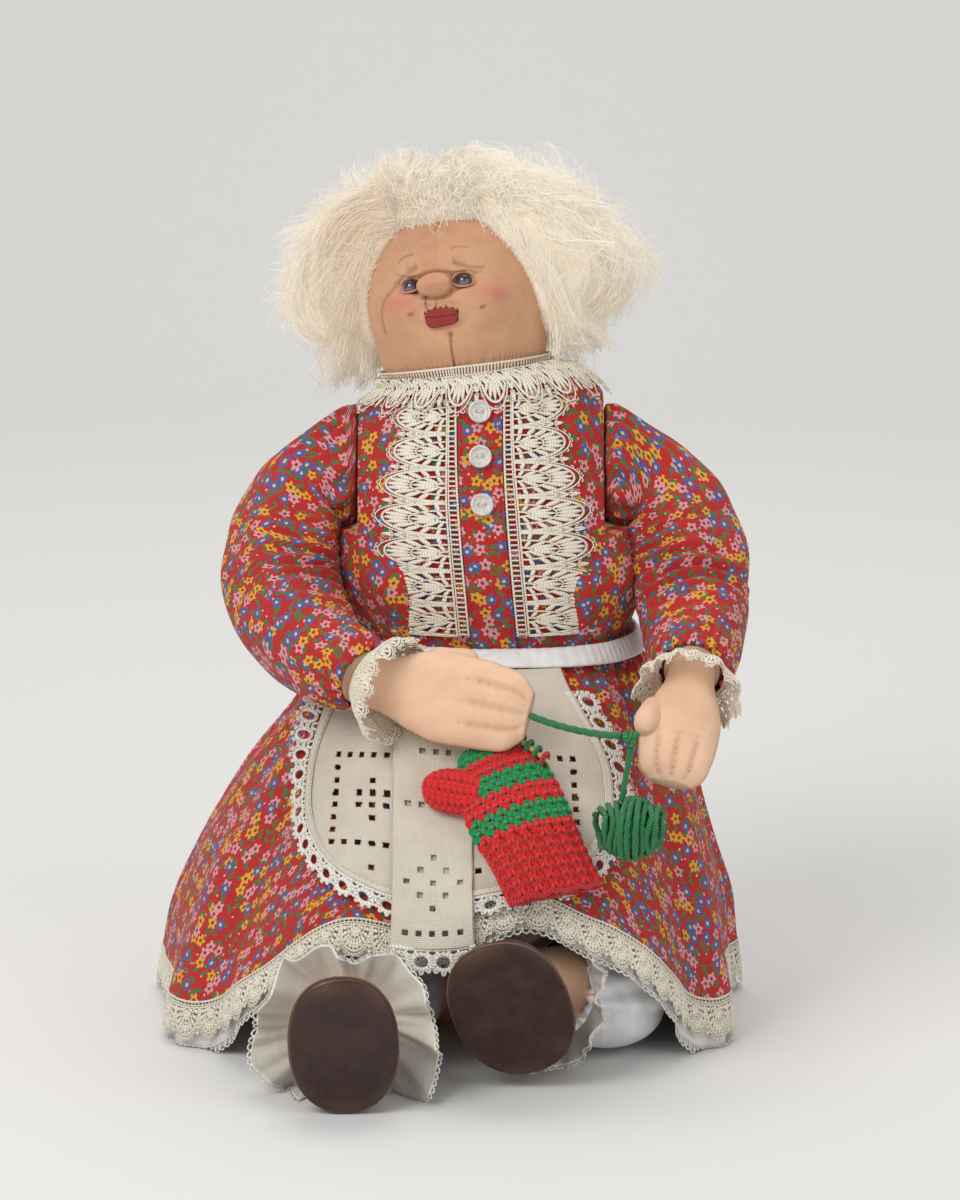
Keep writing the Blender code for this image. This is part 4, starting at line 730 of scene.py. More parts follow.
@dataclass(frozen=True)
class PrintedCalico(Finish):
    """Red cotton calico with a ditsy print of small flowers, leaves and dots.

    The print sits in the cloth, so the weave's relief runs through flowers and ground alike.
    """

    flower_mm: float = 2.5
    flower_spacing_mm: float = 6.9
    leaf_spacing_mm: float = 4.3
    dot_spacing_mm: float = 3.6
    thread_mm: float = 0.5
    petals: tuple = ("#E9A3A9", "#3C66B2", "#EFB138")
    hearts: tuple = ("#8E2036", "#F0D060", "#8A3A1C")
    colour_limits: tuple = (0.38, 0.68)
    leaf: str = "#2F8448"
    dot: str = "#E8D3C0"

    def motif(self, tree: Tree, place: Socket,
              spacing: float, randomness: float) -> tuple:
        """Scatter of places: the vector from the nearest one, and its random colour."""
        cells = add_node(tree, VORONOI, {"Vector": place, "Scale": 1 / spacing,
                                         "Randomness": randomness}, voronoi_dimensions="2D")
        away = add_node(tree, VECTOR, {0: place, 1: cells.outputs["Position"]},
                        operation="SUBTRACT")
        split = add_node(tree, "ShaderNodeSeparateColor", {0: cells.outputs["Color"]})
        return away.outputs[0], split.outputs

    def flower(self, tree: Tree, away: Socket,
               chance: Socket) -> tuple:
        """Masks of a five-petalled flower and of its heart."""
        axes = add_node(tree, "ShaderNodeSeparateXYZ", {0: away})
        angle = add_node(tree, MATH, {0: axes.outputs[1], 1: axes.outputs[0]},
                         operation="ARCTAN2")
        spun = add_node(tree, MATH, {0: chance, 1: TAU, 2: angle.outputs[0]},
                        operation="MULTIPLY_ADD")
        fifth = add_node(tree, MATH, {0: spun.outputs[0], 1: 5.0}, operation="MULTIPLY")
        lobes = add_node(tree, MATH, {0: fifth.outputs[0]}, operation="COSINE")
        edge = add_node(tree, MATH, {0: lobes.outputs[0], 1: self.flower_mm * 0.20,
                                     2: self.flower_mm * 0.78}, operation="MULTIPLY_ADD")
        radius = add_node(tree, VECTOR, {0: away}, operation="LENGTH")
        inside = add_node(tree, MATH, {0: edge.outputs[0], 1: radius.outputs["Value"]},
                          operation="SUBTRACT")
        petals = add_node(tree, RANGE, {0: inside.outputs[0], 1: -0.15, 2: 0.15})
        heart = add_node(tree, RANGE, {0: radius.outputs["Value"], 1: self.flower_mm * 0.34,
                                       2: self.flower_mm * 0.22})
        return petals.outputs[0], heart.outputs[0]

    def dress(self, tree: Tree, shader: Node) -> None:
        """Dots under leaves under flowers, over the red ground, and the weave, with painted shade
        in its hollows and painted highlight on its crowns.
        """
        place = self.place(tree)
        jitter = add_node(tree, NOISE, {"Vector": place, "Scale": 0.6, "Detail": 1.0})
        bent = add_node(tree, VECTOR, {0: jitter.outputs["Color"], 1: (0.9, 0.9, 0.0), 2: place},
                        operation="MULTIPLY_ADD").outputs[0]
        cloud = add_node(tree, NOISE, {"Vector": place, "Scale": 0.07, "Detail": 5.0})
        share = add_node(tree, RANGE, {0: cloud.outputs[0], 1: 0.3, 2: 0.75, 3: 0.0, 4: 0.35})
        colour = blend_colours(tree, share.outputs[0], self.colour, "#8C1B24")
        away, chance = self.motif(tree, bent, self.dot_spacing_mm, 0.9)
        radius = add_node(tree, VECTOR, {0: away}, operation="LENGTH")
        dot = add_node(tree, RANGE, {0: radius.outputs["Value"], 1: 0.52, 2: 0.30})
        some = add_node(tree, MATH, {0: chance[1], 1: 0.3}, operation="LESS_THAN")
        dot = add_node(tree, MATH, {0: dot.outputs[0], 1: some.outputs[0]}, operation="MULTIPLY")
        colour = blend_colours(tree, dot.outputs[0], colour, self.dot)
        colour = self.leaves(tree, bent, colour)
        shifted = add_node(tree, VECTOR, {0: bent, 1: (37.0, 91.0, 0.0)}, operation="ADD")
        for layer in (bent, shifted.outputs[0]):
            away, chance = self.motif(tree, layer, self.flower_spacing_mm, 0.85)
            petals, heart = self.flower(tree, away, chance[2])
            tint = blend_colours(tree, heart, self.picked(tree, chance[0], self.petals),
                                 self.picked(tree, chance[0], self.hearts))
            shown = add_node(tree, MATH, {0: chance[1], 1: 0.70}, operation="LESS_THAN")
            mask = add_node(tree, MATH, {0: petals, 1: shown.outputs[0]}, operation="MULTIPLY")
            colour = blend_colours(tree, mask.outputs[0], colour, tint)
        weave = thread_relief(tree, place, self.thread_mm)
        self.relief(tree, shader, weave)
        # painted shade and highlight: the colour darkens in the weave's hollows and lightens on its
        # crowns
        weave_shade_and_highlight = add_node(tree, RANGE, {0: weave, 1: 0.0, 2: 1.0, 3: 0.80, 4: 1.06})
        lit = add_node(tree, VECTOR, {0: colour, 1: weave_shade_and_highlight.outputs[0]}, operation="MULTIPLY")
        tree.links.new(lit.outputs[0], shader.inputs["Base Color"])

    def picked(self, tree: Tree, chance: Socket,
               colours: tuple) -> Socket:
        """One of the printed colours, by chance."""
        colour = colours[0]
        for limit, following in zip(self.colour_limits, colours[1:]):
            past = add_node(tree, MATH, {0: chance, 1: limit}, operation="GREATER_THAN")
            colour = blend_colours(tree, past.outputs[0], colour, following)
        return colour

    def leaves(self, tree: Tree, place: Socket,
               colour: Socket) -> Socket:
        """Curved green leaf dashes, each turned its own way."""
        away, chance = self.motif(tree, place, self.leaf_spacing_mm, 1.0)
        angle = add_node(tree, MATH, {0: chance[0], 1: TAU}, operation="MULTIPLY")
        spun = add_node(tree, "ShaderNodeVectorRotate", {0: away, "Angle": angle.outputs[0]},
                        rotation_type="Z_AXIS")
        axes = add_node(tree, "ShaderNodeSeparateXYZ", {0: spun.outputs[0]})
        square = add_node(tree, MATH, {0: axes.outputs[0], 1: axes.outputs[0]},
                          operation="MULTIPLY")
        curved = add_node(tree, MATH, {0: square.outputs[0], 1: 0.22, 2: axes.outputs[1]},
                          operation="MULTIPLY_ADD")
        thin = add_node(tree, MATH, {0: curved.outputs[0], 1: 2.9}, operation="MULTIPLY")
        form = add_node(tree, "ShaderNodeCombineXYZ", {0: axes.outputs[0], 1: thin.outputs[0]})
        reach = add_node(tree, VECTOR, {0: form.outputs[0]}, operation="LENGTH")
        leaf = add_node(tree, RANGE, {0: reach.outputs["Value"], 1: 2.1, 2: 1.75})
        some = add_node(tree, MATH, {0: chance[1], 1: 0.85}, operation="LESS_THAN")
        leaf = add_node(tree, MATH, {0: leaf.outputs[0], 1: some.outputs[0]},
                        operation="MULTIPLY")
        return blend_colours(tree, leaf.outputs[0], colour, self.leaf)


@dataclass(frozen=True)
class SpunThread(Finish):
    """Cotton or wool thread: a twisted strand, lighter on its crowns, with painted shade dark in
    its twist.

    Twist lines run slantwise round the thread, at a pitch drawn coarse enough to show.
    """

    twist_mm: float = 1.0
    # colour of the painted shade in the twist
    dark: str = "#B9AB8E"
    fuzz: float = 0.35

    def dress(self, tree: Tree, shader: Node) -> None:
        """Twist relief, with painted shade in the twist and in the hollows of the fuzz."""
        place = self.place(tree)
        axes = add_node(tree, "ShaderNodeSeparateXYZ", {0: place})
        along = add_node(tree, MATH, {0: axes.outputs[0], 1: 1 / self.twist_mm},
                         operation="MULTIPLY")
        slant = add_node(tree, MATH, {0: axes.outputs[1], 1: 1.0, 2: along.outputs[0]},
                         operation="MULTIPLY_ADD")
        turned = add_node(tree, MATH, {0: slant.outputs[0], 1: TAU}, operation="MULTIPLY")
        twist = add_node(tree, MATH, {0: turned.outputs[0]}, operation="SINE")
        noise = add_node(tree, NOISE, {"Vector": add_node(
            tree, "ShaderNodeTexCoord").outputs["Object"], "Scale": 900.0, "Detail": 2.0})
        height = add_node(tree, MATH, {0: noise.outputs[0], 1: self.fuzz, 2: twist.outputs[0]},
                          operation="MULTIPLY_ADD")
        self.relief(tree, shader, height.outputs[0])
        # painted shade: the colour darkens where the twist and fuzz relief is low
        share = add_node(tree, RANGE, {0: height.outputs[0], 1: -1.0, 2: 0.9, 3: 0.75, 4: 0.0})
        colour = blend_colours(tree, share.outputs[0], self.colour, self.dark)
        tree.links.new(colour, shader.inputs["Base Color"])


@dataclass(frozen=True)
class FaceKnit(Finish):
    """Stretch nylon knit over stuffing: fine ribs of stitches, rouged cheeks, and painted shade in
    its drawn creases.
    """

    rouge: str = "#CC6560"
    # colour of the painted shade in the creases, round the eyes and the nose, and under the nose
    crease: str = "#8A5238"
    brow: str = "#4A2F22"
    pale: str = "#E0B795"

    def dress(self, tree: Tree, shader: Node) -> None:
        """Mottled skin, painted colours and painted shade read from the vertices, and the knit's
        relief.
        """
        place = add_node(tree, "ShaderNodeTexCoord").outputs["Object"]
        mottle = add_node(tree, NOISE, {"Vector": place, "Scale": 120.0, "Detail": 5.0,
                                        "Roughness": 0.6})
        share = add_node(tree, RANGE, {0: mottle.outputs[0], 1: 0.35, 2: 0.7, 3: 0.0, 4: 0.45})
        colour = blend_colours(tree, share.outputs[0], self.colour, self.pale)
        # rouge and brows are painted colour; the crease share is painted shade in the creases and
        # under the nose
        for name, tint in (("rouge", self.rouge), ("crease", self.crease), ("brow", self.brow)):
            painted = add_node(tree, ATTRIBUTE, attribute_name=name)
            colour = blend_colours(tree, painted.outputs["Fac"], colour, tint)
        tree.links.new(colour, shader.inputs["Base Color"])
        knit = thread_relief(tree, self.place(tree), 0.62)
        grain = add_node(tree, NOISE, {"Vector": place, "Scale": 1500.0, "Detail": 2.0})
        height = add_node(tree, MATH, {0: grain.outputs[0], 1: 0.6, 2: knit},
                          operation="MULTIPLY_ADD")
        self.relief(tree, shader, height.outputs[0])


@dataclass(frozen=True)
class HairFleece(Finish):
    """Wool fleece locks: pale tips, golden roots, each lock its own shade."""

    root: str = "#D0A05C"
    shadow: str = "#DFCFB0"
    # strength of the painted light that the fleece gives off
    glow: float = 0.15

    def dress(self, tree: Tree, shader: Node) -> None:
        """Colour from each lock's own shade and from its root to its tip, and painted light given
        off by emission.
        """
        lock = add_node(tree, ATTRIBUTE, attribute_name="lock")
        golden = add_node(tree, ATTRIBUTE, attribute_name="golden")
        colour = blend_colours(tree, lock.outputs["Fac"], self.colour, self.shadow)
        colour = blend_colours(tree, golden.outputs["Fac"], colour, self.root)
        tree.links.new(colour, shader.inputs["Base Color"])
        # painted light: emission in the fleece's own colour stands in for the light that fine wool
        # passes on from fibre to fibre, which keeps its depth pale
        tree.links.new(colour, shader.inputs["Emission Color"])
        shader.inputs["Emission Strength"].default_value = self.glow
        place = add_node(tree, "ShaderNodeTexCoord").outputs["Object"]
        fibres = add_node(tree, NOISE, {"Vector": place, "Scale": 1100.0, "Detail": 1.0})
        self.relief(tree, shader, fibres.outputs[0])


@dataclass(frozen=True)
class SoftSatin(Finish):
    """Satin-faced cloth: long glossy floats one way, so its folds catch broad highlights."""

    shade: str = "#B9B6BC"

    def dress(self, tree: Tree, shader: Node) -> None:
        """Fine float lines and a faint cloudy tint."""
        place = self.place(tree)
        stretched = add_node(tree, VECTOR, {0: place, 1: (0.25, 3.2, 1.0)}, operation="MULTIPLY")
        floats = add_node(tree, NOISE, {"Vector": stretched.outputs[0], "Scale": 1.0,
                                        "Detail": 3.0})
        self.relief(tree, shader, floats.outputs[0])
        cloud = add_node(tree, NOISE, {"Vector": place, "Scale": 0.12, "Detail": 3.0})
        share = add_node(tree, RANGE, {0: cloud.outputs[0], 1: 0.35, 2: 0.8, 3: 0.0, 4: 0.5})
        colour = blend_colours(tree, share.outputs[0], self.colour, self.shade)
        tree.links.new(colour, shader.inputs["Base Color"])


@dataclass(frozen=True)
class BrushedLeather(Finish):
    """Thin leather or felt with a rubbed nap: mottled, darker in its grain, paler at edges."""

    grain_mm: float = 1.4
    rubbed: str = "#7A5240"

    def dress(self, tree: Tree, shader: Node) -> None:
        """Grain relief, rubbed patches and edge wear."""
        place = add_node(tree, "ShaderNodeTexCoord").outputs["Object"]
        grain = add_node(tree, VORONOI, {"Vector": place, "Scale": 1 / (self.grain_mm * MM)},
                         feature="SMOOTH_F1")
        nap = add_node(tree, NOISE, {"Vector": place, "Scale": 700.0, "Detail": 4.0})
        height = add_node(tree, MATH, {0: grain.outputs[0], 1: 0.6, 2: nap.outputs[0]},
                          operation="MULTIPLY_ADD")
        self.relief(tree, shader, height.outputs[0])
        patches = add_node(tree, NOISE, {"Vector": place, "Scale": 95.0, "Detail": 5.0,
                                         "Roughness": 0.65})
        share = add_node(tree, RANGE, {0: patches.outputs[0], 1: 0.42, 2: 0.72, 3: 0.0, 4: 0.7})
        colour = blend_colours(tree, share.outputs[0], self.colour, self.rubbed)
        edge = add_node(tree, ATTRIBUTE, attribute_name="wear")
        colour = blend_colours(tree, edge.outputs["Fac"], colour, "#B99A78")
        tree.links.new(colour, shader.inputs["Base Color"])
        gloss = add_node(tree, RANGE, {0: patches.outputs[0], 1: 0.3, 2: 0.7,
                                       3: self.roughness, 4: self.roughness - 0.18})
        tree.links.new(gloss.outputs[0], shader.inputs["Roughness"])


@dataclass(frozen=True)
class PearlPlastic(Finish):
    """Moulded clear polyester with a pearl filler: cloudy swirls under a glossy face."""

    swirl: str = "#FFFBF7"

    def dress(self, tree: Tree, shader: Node) -> None:
        """Swirled pearl clouds and partial transparency."""
        shader.inputs["Transmission Weight"].default_value = 0.3
        shader.inputs["Coat Weight"].default_value = 0.4
        place = add_node(tree, "ShaderNodeTexCoord").outputs["Object"]
        swirl = add_node(tree, NOISE, {"Vector": place, "Scale": 260.0, "Detail": 2.0,
                                       "Distortion": 2.5})
        share = add_node(tree, RANGE, {0: swirl.outputs[0], 1: 0.35, 2: 0.65})
        colour = blend_colours(tree, share.outputs[0], self.colour, self.swirl)
        tree.links.new(colour, shader.inputs["Base Color"])
        self.relief(tree, shader, swirl.outputs[0], 0.3)


@dataclass(frozen=True)
class GlassBead(Finish):
    """Dark glass bead: brown violet above, with paler grey painted light low in the glass, where
    light that passes through it comes out.
    """

    # colour of the painted light low in the bead
    glow: str = "#7A6C78"

    def dress(self, tree: Tree, shader: Node) -> None:
        """Paler painted light low in the bead, read from the vertices, under a clear coat."""
        shader.inputs["Coat Weight"].default_value = 1.0
        shader.inputs["Coat Roughness"].default_value = 0.04
        glow = add_node(tree, ATTRIBUTE, attribute_name="glow")
        colour = blend_colours(tree, glow.outputs["Fac"], self.colour, self.glow)
        tree.links.new(colour, shader.inputs["Base Color"])


@dataclass(frozen=True)
class SplitBirch(Finish):
    """Lathe-turned birch splint: straight pale grain with darker pores along it."""

    grain: str = "#8E6234"

    def dress(self, tree: Tree, shader: Node) -> None:
        """Grain stretched along the splint."""
        place = self.place(tree)
        stretched = add_node(tree, VECTOR, {0: place, 1: (9.0, 0.35, 1.0)},
                             operation="MULTIPLY")
        grain = add_node(tree, NOISE, {"Vector": stretched.outputs[0], "Scale": 1.0,
                                       "Detail": 4.0})
        share = add_node(tree, RANGE, {0: grain.outputs[0], 1: 0.4, 2: 0.7, 3: 0.0, 4: 0.7})
        colour = blend_colours(tree, share.outputs[0], self.colour, self.grain)
        tree.links.new(colour, shader.inputs["Base Color"])
        self.relief(tree, shader, grain.outputs[0])


CALICO = PrintedCalico("printed_cotton_calico", "calico", "#CB2A24", 0.88, sheen=0.06,
                       bump_mm=0.10)
MUSLIN = PlainWeave("plain_woven_muslin", "muslin", "#EDC3A0", 0.9, sheen=0.05,
                    shade="#D79E7C", soil="#B98160", bump_mm=0.10, thread_mm=0.62)
SKIN_MUSLIN = PlainWeave("dyed_muslin_hands", "skin_muslin", "#F6CFAE", 0.88, sheen=0.08,
                         shade="#DDA27E", soil="#B4775A", bump_mm=0.10, thread_mm=0.62,
                         subsurface=0.08)
LINEN_CLOTH = PlainWeave("hand_spun_linen", "linen", "#E6DCCB", 0.88, sheen=0.05,
                         shade="#BDB19B", shade_share=0.30, soil="#A99E86", bump_mm=0.22,
                         thread_mm=0.80, slub=0.9, slub_length_mm=14.0)
LINEN_HEM = PlainWeave("stitched_linen_hem", "linen", "#F2EBDA", 0.88, shade="#D8CDB2",
                       bump_mm=0.20, thread_mm=0.75, slub=0.6)
VOILE = PlainWeave("white_cotton_voile", "white_lace", "#F4F2EE", 0.85, shade="#D6D2CC",
                   bump_mm=0.10, thread_mm=0.6, slub=0.4)
GAUZE_CLOTH = PlainWeave("gathered_cream_gauze", "white_lace", "#FFFBF0", 0.85,
                         shade="#E6DCC6", bump_mm=0.16, thread_mm=0.8, slub=0.5)
ECRU_THREAD = SpunThread("mercerised_ecru_thread", "ecru_lace", "#FBF4E4", 0.75,
                         dark="#D8CBB0", twist_mm=1.2, bump_mm=0.10)
WHITE_THREAD = SpunThread("crocheted_white_thread", "white_lace", "#FBF8F0", 0.75,
                          dark="#C9C3B4", twist_mm=1.4, bump_mm=0.12)
RED_WOOL = SpunThread("plied_red_wool", "red_yarn", "#E2201F", 0.92, dark="#A31414",
                      sheen=0.25, twist_mm=2.6, bump_mm=0.30, fuzz=0.8)
GREEN_WOOL = SpunThread("plied_green_wool", "green_yarn", "#0C9A4C", 0.92, dark="#05673A",
                        sheen=0.25, twist_mm=2.4, bump_mm=0.40, fuzz=0.8)
SATIN_CLOTH = SoftSatin("woven_white_satin", "satin", "#F2F1F3", 0.42, sheen=0.1, bump_mm=0.08)
FACE_CLOTH = FaceKnit("stretch_nylon_knit", "face_cloth", "#D19B75", 0.72, sheen=0.10,
                      subsurface=0.10, bump_mm=0.07)
LIP_THREAD = SpunThread("stitched_lip_floss", "lip_felt", "#BC443C", 0.5, dark="#6A181A",
                        twist_mm=0.9, bump_mm=0.10)
FLEECE = HairFleece("wool_fleece_locks", "fleece", "#FFF7E8", 0.8, sheen=0.5, bump_mm=0.05)
SHOE_LEATHER = BrushedLeather("brushed_brown_leather", "shoe_leather", "#2B120C", 0.40,
                              bump_mm=0.14, rubbed="#4A261B")
SHOE_FELT = BrushedLeather("pressed_brown_felt", "shoe_leather", "#331911", 0.92, sheen=0.08,
                           grain_mm=0.9, bump_mm=0.26, rubbed="#4D2A1F")
PEARL = PearlPlastic("moulded_pearl_polyester", "pearl_plastic", "#E9E2DC", 0.12, ior=1.55,
                     bump_mm=0.03)
EYE_GLASS = GlassBead("dark_glass_bead", "eye_bead", "#2A1820", 0.06, ior=1.52)
BIRCH = SplitBirch("split_birch", "birch", "#D9B684", 0.6, bump_mm=0.06)


# Forms that several pieces share, the same as in the solids
@dataclass(frozen=True)
class TorsoForm:
    """Stuffed torso: its sizes, its middle line and its skin."""

    height: float = 0.257
    half_width: float = 0.0585
    front: float = 0.050
    back: float = 0.046
    lean_back: float = 0.017
    sway: float = 0.008
    power: float = 2.3
    waist_share: float = 0.596
    tilt_share: float = 0.86
    shoulder_share: float = 0.857
    shoulder_half_width: float = 0.049
    shoulder_from_share: float = 0.77
    shoulder_forward: float = 0.002
    shares: tuple = ((0.000, 0.78, 0.80, 0.80), (0.040, 0.87, 0.86, 0.92),
                     (0.136, 0.92, 0.88, 1.00), (0.291, 0.93, 0.90, 1.00),
                     (0.446, 0.91, 0.92, 0.98), (0.591, 0.88, 0.92, 0.96),
                     (0.678, 0.99, 1.00, 0.99), (0.765, 1.00, 0.98, 0.97),
                     (0.843, 0.97, 0.88, 0.91), (0.905, 0.91, 0.80, 0.82),
                     (0.950, 0.81, 0.73, 0.75), (0.980, 0.69, 0.67, 0.69),
                     (1.000, 0.60, 0.64, 0.66))

    def centre(self, share: Array) -> Array:
        """Middle of the torso at a height share."""
        share = np.asarray(share, float)
        sway = -self.sway * smooth_step((share - 0.44) / 0.48)
        return np.stack([sway, self.lean_back * share, self.height * share], -1)

    def surface(self, turn: Array, share: Array) -> Array:
        """Skin of the torso, whose neckline tilts with the head."""
        turn, share = np.broadcast_arrays(np.asarray(turn, float), np.asarray(share, float))
        width, front, back = read_table(self.shares, share)
        point = outline(turn, width * self.half_width, front * self.front, back * self.back,
                        self.power)
        lean = smooth_step((share - self.tilt_share) / (1 - self.tilt_share))
        point[..., 2] += lean * (HEAD_TILT_SIDE * point[..., 0] - HEAD_TILT_BACK * point[..., 1])
        return self.centre(share) + point

    def limited(self, points: Array, share: Array, inset: float) -> Array:
        """Points kept on the body's side of the shoulder seams."""
        middle = self.centre(self.shoulder_share)[0]
        reach = self.shoulder_half_width - inset
        held = np.clip(points[..., 0], middle - reach, middle + reach)
        points[..., 0] = np.where(share > self.shoulder_from_share, held, points[..., 0])
        return points

    def shoulder(self, side: Side) -> Array:
        """Middle of a shoulder seam."""
        away = np.array((side.value * self.shoulder_half_width, -self.shoulder_forward, 0))
        return self.centre(self.shoulder_share) + away

    def front_turn(self, share: Array, across: Array) -> Array:
        """Turn on the front that lies a distance across the middle."""
        width = read_table(self.shares, share)[0] * self.half_width
        sine = np.minimum(np.abs(across) / width, 1) ** (self.power / 2)
        return np.copysign(np.arcsin(sine), across)

    def strip(self, rows: Array, left: Array, right: Array, columns: int, standoff: float,
              zero_column: int = 0) -> Grid:
        """Strip on the front of the bodice between two edges given for each row."""
        part = np.linspace(0, 1, columns)[None, :]
        across = left[:, None] + (right - left)[:, None] * part
        share = np.broadcast_to(rows[:, None], across.shape)
        turn = self.front_turn(share, across)
        return Grid(lifted(self.surface, turn, share, standoff), False, zero_column)


HEAD_TILT_SIDE = 0.12
HEAD_TILT_BACK = 0.13
TORSO = TorsoForm()


@dataclass(frozen=True)
class HeadForm:
    """Stuffed head: its sizes, its axes and its plain form above the neck seam."""

    neck_radius: float = 0.033
    pivot_rise: float = 0.005
    seam_drop: float = 0.008
    sidestep: float = 0.0060
    turn_deg: float = -9.5
    height: float = 0.0715
    half_width: float = 0.0360
    front: float = 0.036
    back: float = 0.0365
    power: float = 2.25
    shares: tuple = ((0.00, 0.855), (0.10, 0.905), (0.24, 0.965), (0.38, 1.00), (0.52, 0.995),
                     (0.66, 0.93), (0.79, 0.80), (0.89, 0.62), (0.96, 0.40), (1.00, 0.14))
    forms: tuple = ((-31.0, 0.45, 19.0, 0.12, 0.0030), (26.0, 0.45, 19.0, 0.12, 0.0030),
                    (-2.0, 0.20, 17.0, 0.10, 0.0032), (-19.0, 0.60, 9.0, 0.06, -0.0016),
                    (13.0, 0.60, 9.0, 0.06, -0.0016), (-3.0, 0.72, 26.0, 0.07, 0.0012),
                    (-2.0, 0.39, 9.0, 0.05, 0.0010))

    def pivot(self) -> Array:
        """Centre of the round stuffed neck."""
        return TORSO.centre(1.0) + np.array((-self.sidestep, 0, self.pivot_rise))

    def axes(self) -> tuple[Array, Array, Array]:
        """Side, back and up directions of the head."""
        axis = unit(np.array((-HEAD_TILT_SIDE, HEAD_TILT_BACK, 1.0)))
        angle = math.radians(self.turn_deg)
        side = np.array((math.cos(angle), math.sin(angle), 0.0))
        side = unit(side - axis * side.dot(axis))
        return side, np.cross(axis, side), axis

    def base(self, turn: Array, share: Array) -> Array:
        """Plain form of the head."""
        side, back, axis = self.axes()
        turn, share = np.broadcast_arrays(np.asarray(turn, float), np.asarray(share, float))
        width = read_table(self.shares, share)[0]
        power = 2 + (self.power - 2) * smooth_step(share / 0.3)
        flat = outline(turn, width * self.half_width, width * self.front, width * self.back,
                       power)
        start = self.pivot() + axis * (GAP - self.seam_drop)
        return (start + flat[..., :1] * side + flat[..., 1:2] * back
                + axis * (self.height * share)[..., None])

    def surface(self, turn: Array, share: Array) -> Array:
        """Form of the head with cheeks, chin, brow and eye hollows."""
        side, back = self.axes()[:2]
        turn, share = np.broadcast_arrays(np.asarray(turn, float), np.asarray(share, float))
        point = self.base(turn, share)
        away = side * np.sin(turn)[..., None] - back * np.cos(turn)[..., None]
        degrees = np.mod(np.degrees(turn) + 180, 360) - 180
        for form_turn, form_share, spread, rise, depth in self.forms:
            near = ((degrees - form_turn) / spread) ** 2 + ((share - form_share) / rise) ** 2
            point = point + away * (depth * np.exp(-near))[..., None]
        return point

    def crown(self) -> Array:
        """Top of the head."""
        return self.pivot() + self.axes()[2] * (self.height * 1.004 + GAP - self.seam_drop)


HEAD = HeadForm()


@dataclass(frozen=True)
class SkirtForm:
    """Skirt over the lap: share 1 is the waist and 0 the bottom of the hem lace."""

    reach_right: float = 0.139
    reach_left: float = 0.096
    reach_front: float = 0.126
    reach_back: float = 0.062
    lap_height: float = 0.0445
    insteps: tuple = ((0.010, 0.026, 0.0190), (-0.060, 0.024, 0.0070))
    hem_height: float = 0.0022
    lap_turn_deg: float = 40.0
    lap_blend_deg: float = 42.0
    power: float = 2.5
    folds: int = 11
    fold_depth: float = 0.0042
    front_bulge: float = 1.47
    back_bulge: float = 1.30
    side_bulge: float = 1.85
    hem_lace: float = 0.019

    def surface(self, turn: Array, share: Array) -> Array:
        """Outside of the skirt."""
        turn, share = np.broadcast_arrays(np.asarray(turn, float), np.asarray(share, float))
        fall, facing = 1 - share, np.cos(turn)
        waist = lifted(TORSO.surface, turn, np.full_like(turn, TORSO.waist_share),
                       COTTON + GAP + FACET_ALLOWANCE)
        reach_x = np.where(np.sin(turn) > 0, self.reach_left, self.reach_right)
        reach = outline(turn, reach_x, self.reach_front, self.reach_back, self.power)
        off_front = np.abs(np.mod(np.degrees(turn) + 180, 360) - 180)
        side = smooth_step((off_front - self.lap_turn_deg + self.lap_blend_deg / 2)
                           / self.lap_blend_deg)
        hem = self.lap_height + (self.hem_height - self.lap_height) * side
        for across, half_width, rise in self.insteps:
            hem = hem + rise * bell((reach[..., 0] - across) / half_width) * np.maximum(facing, 0)
        front = self.side_bulge + (self.front_bulge - self.side_bulge) * np.maximum(facing, 0)
        back = self.side_bulge + (self.back_bulge - self.side_bulge) * np.abs(facing)
        spread = 1 - np.maximum(share, 0) ** np.where(facing < 0, back, front)
        top = TORSO.height * TORSO.waist_share - GAP
        flat = waist[..., :2] + (reach[..., :2] - waist[..., :2]) * spread[..., None]
        point = np.concatenate([flat, (top + (hem - top) * fall)[..., None]], -1)
        fold = np.cos(self.folds * turn) * self.fold_depth * fall * side
        away = np.stack([np.sin(turn), -facing, np.zeros_like(turn)], -1)
        return point + away * fold[..., None]

    def length(self, turn: Array) -> Array:
        """Length from waist to hem at a turn."""
        turn = np.asarray(turn, float)
        shares = np.linspace(0, 1, 24)
        places = self.surface(turn[..., None], shares)
        return np.linalg.norm(np.diff(places, axis=-2), axis=-1).sum(-1)

    def share_at(self, turn: Array, distance: Array) -> Array:
        """Share at a distance down from the waist."""
        return np.maximum(1 - distance / self.length(turn), 0)

    def lap_turn(self, distance: Array, across: Array) -> Array:
        """Turn on the front that lies a distance across the lap's middle."""
        share = self.share_at(np.zeros_like(distance), distance)
        reach = np.where(across < 0, self.reach_right, self.reach_left)
        half = TORSO.half_width + (reach - TORSO.half_width) * (1 - share ** self.front_bulge)
        sine = np.minimum(np.abs(across) / half, 0.98) ** (self.power / 2)
        return np.copysign(np.arcsin(sine), across)

    def lap(self, distance: Array, across: Array, standoff: Array) -> Array:
        """Points above the lap at a distance below the waist and across its middle."""
        distance, across = np.broadcast_arrays(np.asarray(distance, float),
                                               np.asarray(across, float))
        turn = self.lap_turn(distance, across)
        place = lifted(self.surface, turn, self.share_at(turn, distance), standoff)
        past = np.maximum(distance - self.length(turn), 0)
        return place - past[..., None] * UP - 0.0012 * (1 - np.exp(-past / 0.002))[
            ..., None] * np.array((0, 1.0, 0))


SKIRT = SkirtForm()


@dataclass(frozen=True)
class LapLayers:
    """Heights of the pieces that lie on the lap, one over another."""

    apron: float = 0.0026
    sash: float = 0.0026 + LINEN + 3 * GAP
    mitten: float = 0.0026 + LINEN + 0.0013 + 2 * GAP


LAYERS = LapLayers()


